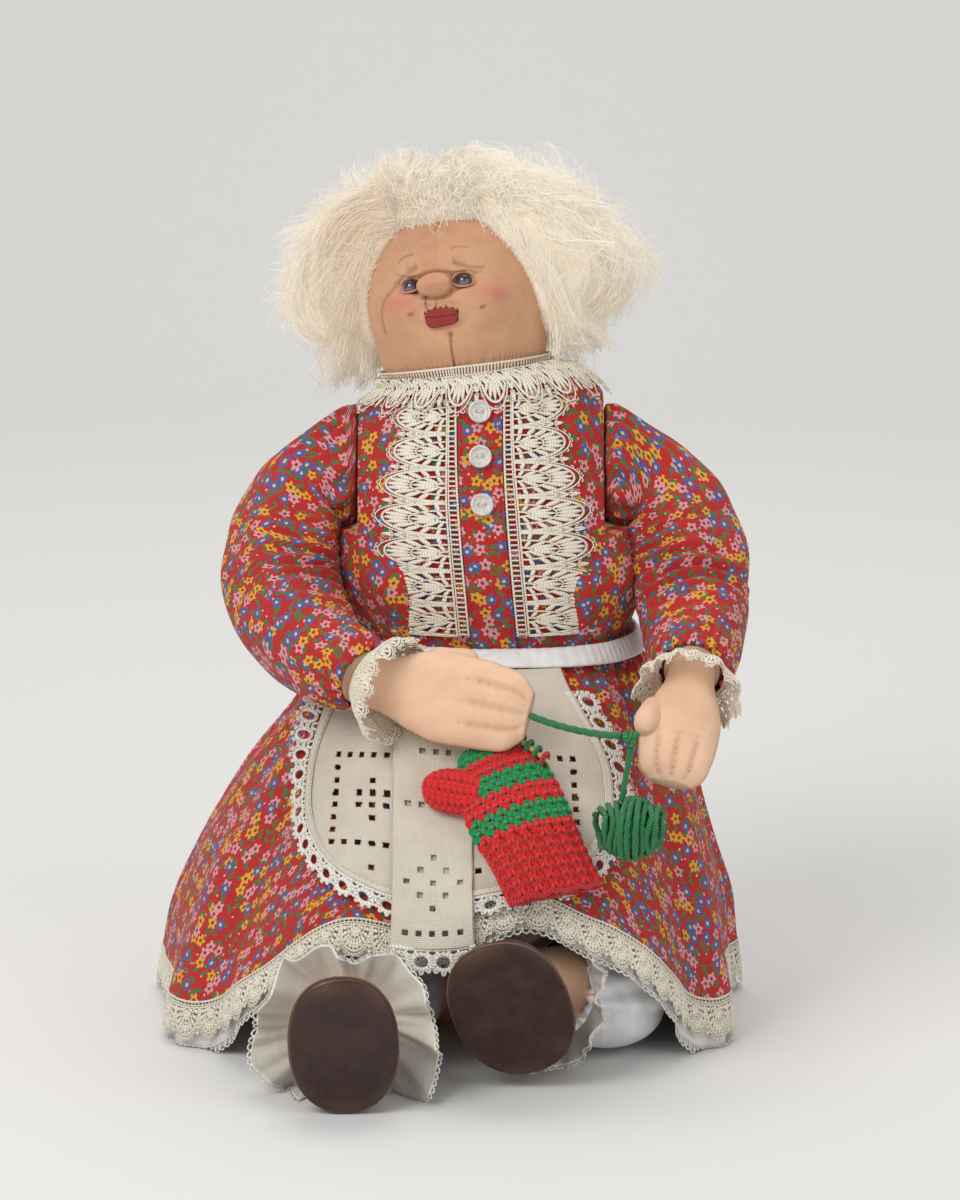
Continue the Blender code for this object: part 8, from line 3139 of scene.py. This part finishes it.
@dataclass
class Leg:
    """One leg: stuffing, satin bloomer, gauze ruffle, shoe upper and sole."""

    side: Side
    bloomer_ease: float = 0.0009
    bloomer_thickness: float = 0.0009
    bloomer_puff: float = 0.0022
    floor: float = 0.0007
    ruffle_folds: int = 9
    sole_thickness: float = 0.0024
    sole_edge: float = 0.0010

    @property
    def form(self) -> LegForm:
        """The leg's line and sizes."""
        return LegForm(self.side)

    @property
    def body(self) -> str:
        """Body on which the leg's pieces ride."""
        return self.side.word + "_leg"

    def stuffing(self) -> None:
        """Stuffed leg and foot."""
        form, rings = self.form, []
        way = spine_way(form.points, np.array([0.0]))[0]
        side, rise, way = frame_from(way, np.array((1.0, 0, 0)))
        for angle in np.radians(np.linspace(80, 16, 12)):
            reach = form.radius * math.cos(angle)
            rings.append(ring_at(form.hip - way * form.radius * math.sin(angle), side, rise,
                                 reach, reach, 64))
        rings = np.array(rings)
        legs = form.rings(np.linspace(0, 0.77, 60), lambda share: 0.0, 64)
        feet = np.array([form.sole_ring(form.foot_depth * float(depth) + GAP, -GAP * 0.2,
                                        float(read_table(form.foot_shares, np.array(depth))[0]),
                                        64)
                         for depth in np.linspace(0.78, 0.0, 22)])
        whole = np.concatenate([rings, legs, feet])
        whole[..., 2] = np.maximum(whole[..., 2], self.floor)
        grid = Grid(whole, True)
        made = grid.skin(self.body + "_stuffed")
        MUSLIN.give(made)
        dressed(made, self.body, self.body)

    def bloomer(self) -> None:
        """White satin leg of the bloomers, full and drawn in at the ankle."""
        shares = np.linspace(0.31, 0.80 if self.side is Side.LEFT else 0.775, 120)
        part = (shares - shares[0]) / (shares[-1] - shares[0])
        puff = self.bloomer_ease + self.bloomer_thickness + (self.bloomer_puff + 0.0010) * np.sin(
            math.pi * part)
        table = dict(zip(np.round(shares, 9), puff))
        sides = 130
        points = self.form.rings(shares, lambda share: float(table[round(share, 9)]), sides)
        turn = ring_turns(sides)[None, :]
        along = part[:, None]
        fold = (0.0011 * np.cos(8 * turn + 2 * np.sin(3 * turn) + 5 * along)
                * (0.4 + 0.6 * smooth_step(along / 0.6))
                + 0.0007 * np.cos(21 * turn) * bell((1 - along) / 0.16)
                + 0.0006 * rumple(points, 0.02, 81))
        middle = points.mean(axis=1, keepdims=True)
        points = points + unit(points - middle) * fold[..., None]
        points[..., 2] = np.maximum(points[..., 2], self.floor)
        grid = Grid(points, True)
        made = grid.sheet(self.side.word + "_bloomer_satin", self.bloomer_thickness * 0.7)
        keep_above(made, CLOTH_FLOOR)
        SATIN_CLOTH.give(made)
        cloth(made, grid, [self.body + "_stuffed"])
        dressed(made, self.body, self.side.word + "_bloomer")

    def ruffle(self) -> None:
        """Gathered gauze ruffle with a looped edge, flaring at the ankle."""
        form, left = self.form, self.side is Side.LEFT
        place = 0.82 if left else 0.90
        centre = spine(form.points, np.array([place]))[0]
        lean = spine_way(form.points, np.array([place]))[0] + form.foot()[3] * 0.30
        side, rise, along = frame_from(lean, np.array((1.0, 0, 0)))
        radius = float(np.linalg.norm(form.ring(place, np.array((1.0, 0, 0)), 0.0, 8)[0][0]
                                      - centre))
        start = radius * (1.19 if left else 1.12) + self.bloomer_ease
        width, depth = (0.031, 0.009) if left else (0.036, 0.012)
        sides = 420
        turn = ring_turns(sides)
        rows = []
        for share in np.linspace(0, 1, 34):
            reach = start + (width - start) * share ** 0.8 * (
                1 + 0.10 * np.cos(5 * turn + 2.0) + 0.06 * np.cos(11 * turn))[:, None]
            folds = np.cos(self.ruffle_folds * turn + 1.4 * np.sin(3 * turn))
            wave = ((0.0036 if left else 0.0056) * share * folds
                    + 0.0020 * share * np.cos(4 * turn + 1)
                    + 0.0012 * np.sqrt(share) * np.cos(23 * turn + 2 * np.sin(4 * turn)))
            flat = side * np.cos(turn)[:, None] + rise * np.sin(turn)[:, None]
            rows.append(centre + flat * reach + along * (wave + depth * share)[:, None])
        points = np.array(rows)
        points[..., 2] = np.maximum(points[..., 2], self.floor)
        grid = Grid(points, True)
        made = grid.sheet(self.side.word + "_ruffle_gauze", 0.0006)
        GAUZE_CLOTH.give(made)
        patch = Patch(Grid(points[-5:], True))
        edge = patch.weave(self.side.word + "_ruffle_picots",
                           [Strand(s.path + np.array((0, patch.width - 0.5)), s.width,
                                   s.thickness, 0.2) for s in PicotEdge().along(patch.length)], 5)
        keep_above(edge, EDGING_FLOOR)
        WHITE_THREAD.give(edge)
        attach(edge, self.body)
        keep_above(made, CLOTH_FLOOR)
        cloth(made, grid, [self.side.word + "_bloomer_satin"], [edge])
        dressed(made, self.body, self.side.word + "_ruffle")

    def upper(self) -> None:
        """Soft shoe upper with a turned top edge and a stitched seam over the toe."""
        form = self.form
        depths = np.linspace(0.0, 0.78, 46)
        shrink = read_table(form.foot_shares, depths)[0]
        lip = 0.0005 * bell((depths - 0.76) / 0.03)
        rows = [form.sole_ring(form.foot_depth * float(depth) + GAP,
                               GAP * 2 + form.shoe_wall + float(extra), float(size), 120)
                for depth, size, extra in zip(depths, shrink, lip)]
        points = np.array(rows)[::-1]
        grid = Grid(points, True)
        crease = 0.5 + 0.5 * np.cos(np.linspace(0, 26, 46))[:, None]
        turn = ring_turns(120)[None, :]
        toe = np.maximum(np.sin(turn), 0) ** 3
        sign = -1 if grid.normals()[20, 0] @ (points[20, 0] - points[20].mean(axis=0)) < 0 else 1
        depth = 0.00025 * rumple(points, 0.010, 82) - 0.0003 * crease * toe * smooth_step(
            np.linspace(1, -0.2, 46))[:, None]
        grid = Grid(grid.points + grid.normals() * sign * depth[..., None], True)
        if sign < 0:
            grid = Grid(grid.points[:, ::-1], True)
        made = grid.sheet(self.side.word + "_shoe_upper_sewn", form.shoe_wall * 0.8)
        leather = SHOE_LEATHER if self.side is Side.RIGHT else SHOE_FELT
        paint(made, "wear", np.zeros(len(made.data.vertices)))
        leather.give(made)
        dressed(made, self.body, self.side.word + "_shoe_upper")
        for name, depth, inset in (("top", 0.725, 0.0001), ("bottom", 0.07, 0.0001)):
            size = float(read_table(form.foot_shares, np.array(depth))[0])
            ring = form.sole_ring(form.foot_depth * depth + GAP,
                                  GAP * 2 + form.shoe_wall + inset, size, 300)
            ring = np.concatenate([ring, ring[:1]])
            centre = ring.mean(axis=0)
            row = stitches(f"{self.side.word}_shoe_{name}_stitching", ring, unit(ring - centre),
                           1.7, 1.0, 0.34)
            SEWING_BROWN.give(row)
            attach(row, self.body)

    def sole(self) -> None:
        """Cut sole with a rounded edge, a pale welt and a line of stitches."""
        form = self.form
        place, _, _, out = form.foot()
        wall = form.shoe_wall + self.sole_edge
        profile = [(0.0, -0.0020), (0.0, 0.0), (0.25, 0.0002), (0.6, 0.0002), (0.85, -0.0001),
                   (0.97, -0.0007), (1.0, -0.0016)]
        inward = [(1.0, -0.0016 - 0.0012 * step) for step in range(1, 13)]
        rings = []
        for depth, grow in profile + inward:
            dome = 0.0
            if grow < -0.002:
                dome = 0.0008 * (1 - math.exp(grow / 0.006))
            rings.append(form.sole_ring(-self.sole_thickness * depth - dome, wall + grow, 1.0,
                                        160))
        rings = np.array(rings)
        reach = np.linspace(1, 0.12, 10)[1:]
        centre = rings[-1].mean(axis=0)
        extra = np.array([centre + (rings[-1] - centre) * size for size in reach])
        points = np.concatenate([rings, extra])
        grid = Grid(points, True)
        facing = grid.normals()[8, 0] @ (points[8, 0] - points[8].mean(axis=0))
        if facing < 0:
            points = points[:, ::-1]
        noise = 0.00012 * rumple(points, 0.008, 83) + 0.00006 * rumple(points, 0.003, 84)
        points = points + out * noise[..., None]
        made = Grid(points, True).skin(self.side.word + "_shoe_sole_cut")
        flat = np.linalg.norm(points - place, axis=-1) / form.sole_sizes[1]
        wear = 0.10 * smooth_step((flat - 0.75) / 0.25) * (0.6 + 0.4 * np.clip(
            rumple(points, 0.012, 85), -1, 1))
        paint(made, "wear", np.concatenate([np.clip(wear, 0, 1).ravel(), [0, 0]]))
        leather = SHOE_LEATHER if self.side is Side.RIGHT else SHOE_FELT
        leather.give(made)
        dressed(made, self.body, self.side.word + "_shoe_sole")
        ring = form.sole_ring(0.0002, wall + 0.0003, 1.0, 300)
        ring = np.concatenate([ring, ring[:1]])
        welt = plied_tube(self.side.word + "_shoe_welt", even_path(ring, 0.0003), 0.0011, 2,
                          0.0030, 0.16, 10)
        WELT_CORD.give(welt)
        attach(welt, self.body)
        ring = form.sole_ring(-self.sole_thickness - 0.0003, wall - 0.0034, 1.0, 300)
        ring = np.concatenate([ring, ring[:1]])
        row = stitches(self.side.word + "_sole_stitching", ring, np.tile(out, (len(ring), 1)),
                       2.0, 1.2, 0.40)
        SEWING_BROWN.give(row)
        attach(row, self.body)

    def build(self) -> None:
        """Make the leg's pieces."""
        self.stuffing()
        self.bloomer()
        self.ruffle()
        self.upper()
        self.sole()
        LOG.info("%s leg: bloomer, ruffle and shoe", self.side.word)


SEWING_BROWN = SpunThread("waxed_brown_thread", "shoe_leather", "#5B3B30", 0.6, dark="#2E1A16",
                          twist_mm=0.8, bump_mm=0.04)
WELT_CORD = SpunThread("waxed_welt_cord", "shoe_leather", "#8A6350", 0.7, dark="#4E3228",
                       twist_mm=1.4, bump_mm=0.06)


@dataclass
class Mitten:
    """Striped knitted mitten on the lap, with its wooden needle."""

    start: float = 0.0455
    across: float = -0.004
    slant: float = 0.024
    length: float = 0.064
    half_width: float = 0.0160
    half_thickness: float = 0.0037
    thumb_radius: float = 0.0085
    thumb_length: float = 0.018
    stitch_width_mm: float = 5.0
    row_height_mm: float = 3.6
    green_rows: tuple = (0, 1, 4, 5, 8, 9)
    cuff_row: int = 11
    ribs: int = 6
    shares: tuple = ((0.00, 0.64, 0.60), (0.10, 0.88, 0.92), (0.25, 1.00, 1.00),
                     (0.50, 1.02, 1.00), (0.68, 0.95, 1.00), (0.82, 0.95, 1.05),
                     (1.00, 1.00, 1.00))
    needle_radius: float = 0.0010
    needle_up: float = 0.013
    needle_down: float = 0.012
    needle_tip: float = 0.005

    def at(self, share: Array, across: Array, lift: Array) -> Array:
        """Point of the mitten, which hugs the apron."""
        middle = self.across + self.slant * np.asarray(share)
        down = self.start + self.length * np.asarray(share) - np.asarray(across) * (
            self.slant / self.length)
        return SKIRT.lap(down, middle + across, LAYERS.mitten + self.half_thickness * lift)

    def rings(self, rows: int, sides: int, puff: float) -> Array:
        """Rings from the mitten's top to the end of its cuff."""
        share = np.linspace(0, 1, rows)[:, None]
        turn = -ring_turns(sides)[None, :]
        wide, thick = read_table(self.shares, share)
        sine, cosine = np.sin(turn), np.cos(turn)
        across = np.copysign(np.abs(cosine) ** 0.8, cosine) * (self.half_width * wide + puff)
        upward = np.copysign(np.abs(sine) ** 0.8, sine)
        rise = 1 + upward * (thick + puff / self.half_thickness)
        return self.at(share + 0 * across, across, np.maximum(rise, 0.02))

    def leg(self, u: float, v: float, lean: int, width: float, height: float) -> Strand:
        """Half of a knit stitch: a fat loop that dives under the row above."""
        w, h = width, height
        route = np.array(((0.05, -0.18), (0.16, 0.20), (0.33, 0.62), (0.36, 0.98), (0.22, 1.28)))
        path = spine([(a, b, 0) for a, b in route], np.linspace(0, 1, 9))[:, :2]
        path = np.column_stack([u + lean * path[:, 0] * w, v + path[:, 1] * h])
        hump = np.sin(math.pi * np.linspace(0, 1, 9))
        return Strand(path, w * (0.30 + 0.22 * hump), 2.1, -0.75 + 1.15 * hump)

    def loops(self, patch: Patch, rows: int, first: int) -> dict[bool, list[Strand]]:
        """Stitches of all rows, sorted by whether they are green."""
        count = max(round(patch.length / self.stitch_width_mm), 4)
        width, height = patch.length / count, patch.width / rows
        sorted_loops = {True: [], False: []}
        source = np.random.default_rng(first + 5)
        for row in range(rows):
            for column in range(count):
                shift = source.normal(0, 0.10, 2)
                green = row + first in self.green_rows
                for lean in (-1, 1):
                    sorted_loops[green].append(self.leg(
                        (column + 0.5) * width + shift[0], row * height + shift[1], lean, width,
                        height))
        return sorted_loops

    def body(self) -> None:
        """Mitten: inner felted core, knit stitches in two colours and the ribbed cuff."""
        core = Grid(self.rings(90, 120, -0.0011), True)
        made = core.skin("mitten_felted_core")
        RED_WOOL.give(made)
        dressed(made, "mitten", "knitted_mitten")
        grid = Grid(self.rings(70, 160, -0.0007), True)
        facing = grid.normals()[35, 40] @ (grid.points[35, 40] - grid.points[35].mean(axis=0))
        if facing < 0:
            grid = Grid(grid.points[:, ::-1], True)
        top = int(70 * self.cuff_row * self.row_height_mm * MM / self.length)
        patch = Patch(Grid(grid.points[:top + 1], True))
        loops = self.loops(patch, self.cuff_row, 0)
        for green, name, wool in ((False, "mitten_red_stitches", RED_WOOL),
                                  (True, "mitten_green_stitches", GREEN_WOOL)):
            stitched = patch.weave(name, loops[green], 8)
            wool.give(stitched)
            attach(stitched, "mitten")
        cuff = Patch(Grid(grid.points[top:], True))
        count = self.ribs * 4
        width = cuff.length / count
        rows = 6
        height = cuff.width / rows
        strands = []
        for row in range(rows):
            for column in range(count):
                sunk = -0.95 if column % 2 else 0.15
                fat = 0.72 if column % 2 else 1.05
                for lean in (-1, 1):
                    strand = self.leg((column + 0.5) * width, row * height, lean, width * fat,
                                      height)
                    strands.append(Strand(strand.path, strand.width, strand.thickness,
                                          strand.lift + sunk))
        knit = cuff.weave("mitten_ribbed_cuff", strands, 8)
        RED_WOOL.give(knit)
        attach(knit, "mitten")
        end = grid.points[-1]
        path = even_path(np.concatenate([end, end[:1]]), 0.0006)
        wave = lengths_along(path[None], 1)[0]
        path = path + UP * (0.0005 * np.sin(wave / 0.0016))[:, None]
        bind = plied_tube("mitten_cast_on_edge", path, 0.0024)
        RED_WOOL.give(bind)
        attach(bind, "mitten")

    def thumb(self) -> None:
        """Knitted thumb that sticks out beside the mitten."""
        root = self.at(0.28, -self.half_width * 0.50, 1.0)
        tip = self.at(0.09, -self.half_width - self.thumb_length * 0.68, 1.0)
        normal = (self.at(0.28, -self.half_width, 2.0) - self.at(0.28, -self.half_width, 1.0))
        across, lift, _ = frame_from(tip - root, normal)
        table = ((0.0, 0.80), (0.3, 1.0), (0.7, 0.95), (0.92, 0.62), (1.0, 0.22))
        rings = []
        for share in np.linspace(0, 1, 40):
            radius = (self.thumb_radius - 0.0004) * float(read_table(table, np.array(share))[0])
            flat = min(radius, self.half_thickness * 0.95)
            rings.append(ring_at(root + (tip - root) * share, across, lift, flat, radius, 80))
        grid = Grid(np.array(rings), True)
        core = grid.shifted(-0.0006).skin("mitten_thumb_core")
        RED_WOOL.give(core)
        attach(core, "mitten")
        patch = Patch(grid)
        loops = self.loops(patch, 9, 40)
        knit = patch.weave("mitten_thumb_stitches", loops[False], 8)
        RED_WOOL.give(knit)
        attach(knit, "mitten")

    def needle(self) -> None:
        """Split birch stick, pointed at both ends, through the live stitches."""
        top_lift = 1.74 + (self.needle_radius + GAP) / self.half_thickness
        wide = self.half_width
        middle = self.at(0.13, wide * 0.76, top_lift)
        lean = self.at(0.26, wide * 0.98, 2.0) - self.at(0.0, wide * 0.56, 2.0)
        side, rise, lean = frame_from(lean, UP)
        places = np.linspace(-self.needle_up, self.needle_down, 90)
        near_end = np.minimum(places + self.needle_up, self.needle_down - places)
        radius = self.needle_radius * np.minimum(0.22 + 0.86 * np.sqrt(np.clip(
            near_end / self.needle_tip, 0, 1)), 1.0)
        rings = [ring_at(middle + lean * place, side, rise, size, size, 28)
                 for place, size in zip(places, radius)]
        grid = Grid(np.array(rings), True)
        turn = ring_turns(28)[None, :]
        facets = 0.00004 * np.cos(5 * turn + 0.2 * places[:, None] * 1000)
        made = grid.shifted(facets).skin("needle_split_birch")
        BIRCH.give(made)
        dressed(made, "mitten", "knitting_needle")
        live = []
        for place in np.linspace(-0.0045, 0.0075, 4):
            angle = np.linspace(0, TAU, 30)
            path = (middle + lean * (place + 0.0006 * np.sin(angle * 0.5))[:, None]
                    + side * (np.cos(angle) * 0.0021)[:, None]
                    + rise * (np.sin(angle) * 0.0021 - 0.0004)[:, None])
            live.append(path)
        for number, path in enumerate(live):
            loop = plied_tube(f"mitten_live_stitch_{number}", path, 0.0020, sides=8)
            (RED_WOOL if number == 3 else GREEN_WOOL).give(loop)
            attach(loop, "mitten")

    def build(self) -> None:
        """Make the mitten."""
        self.body()
        self.thumb()
        self.needle()
        LOG.info("mitten: striped body, ribbed cuff, thumb and needle")


@dataclass
class Doll:
    """The whole doll, built piece by piece."""

    parts: tuple = field(default_factory=lambda: (
        Body(), Skirt(), Bodice(), Apron(), Head(), Wig(), Arm(Side.RIGHT), Arm(Side.LEFT),
        Leg(Side.RIGHT), Leg(Side.LEFT), Mitten(), Yarn()))

    def build(self) -> None:
        """Make every piece."""
        for part in self.parts:
            part.build()


def main() -> None:
    """Build the doll, and report each of its pieces."""
    logging.basicConfig(level=logging.INFO, format="%(name)s: %(message)s")
    Studio().build()
    Doll().build()
    count = sum(len(made.data.polygons) for made in bpy.data.objects if made.type == "MESH")
    LOG.info("faces: %d", count)


if __name__ == "__main__":
    main()
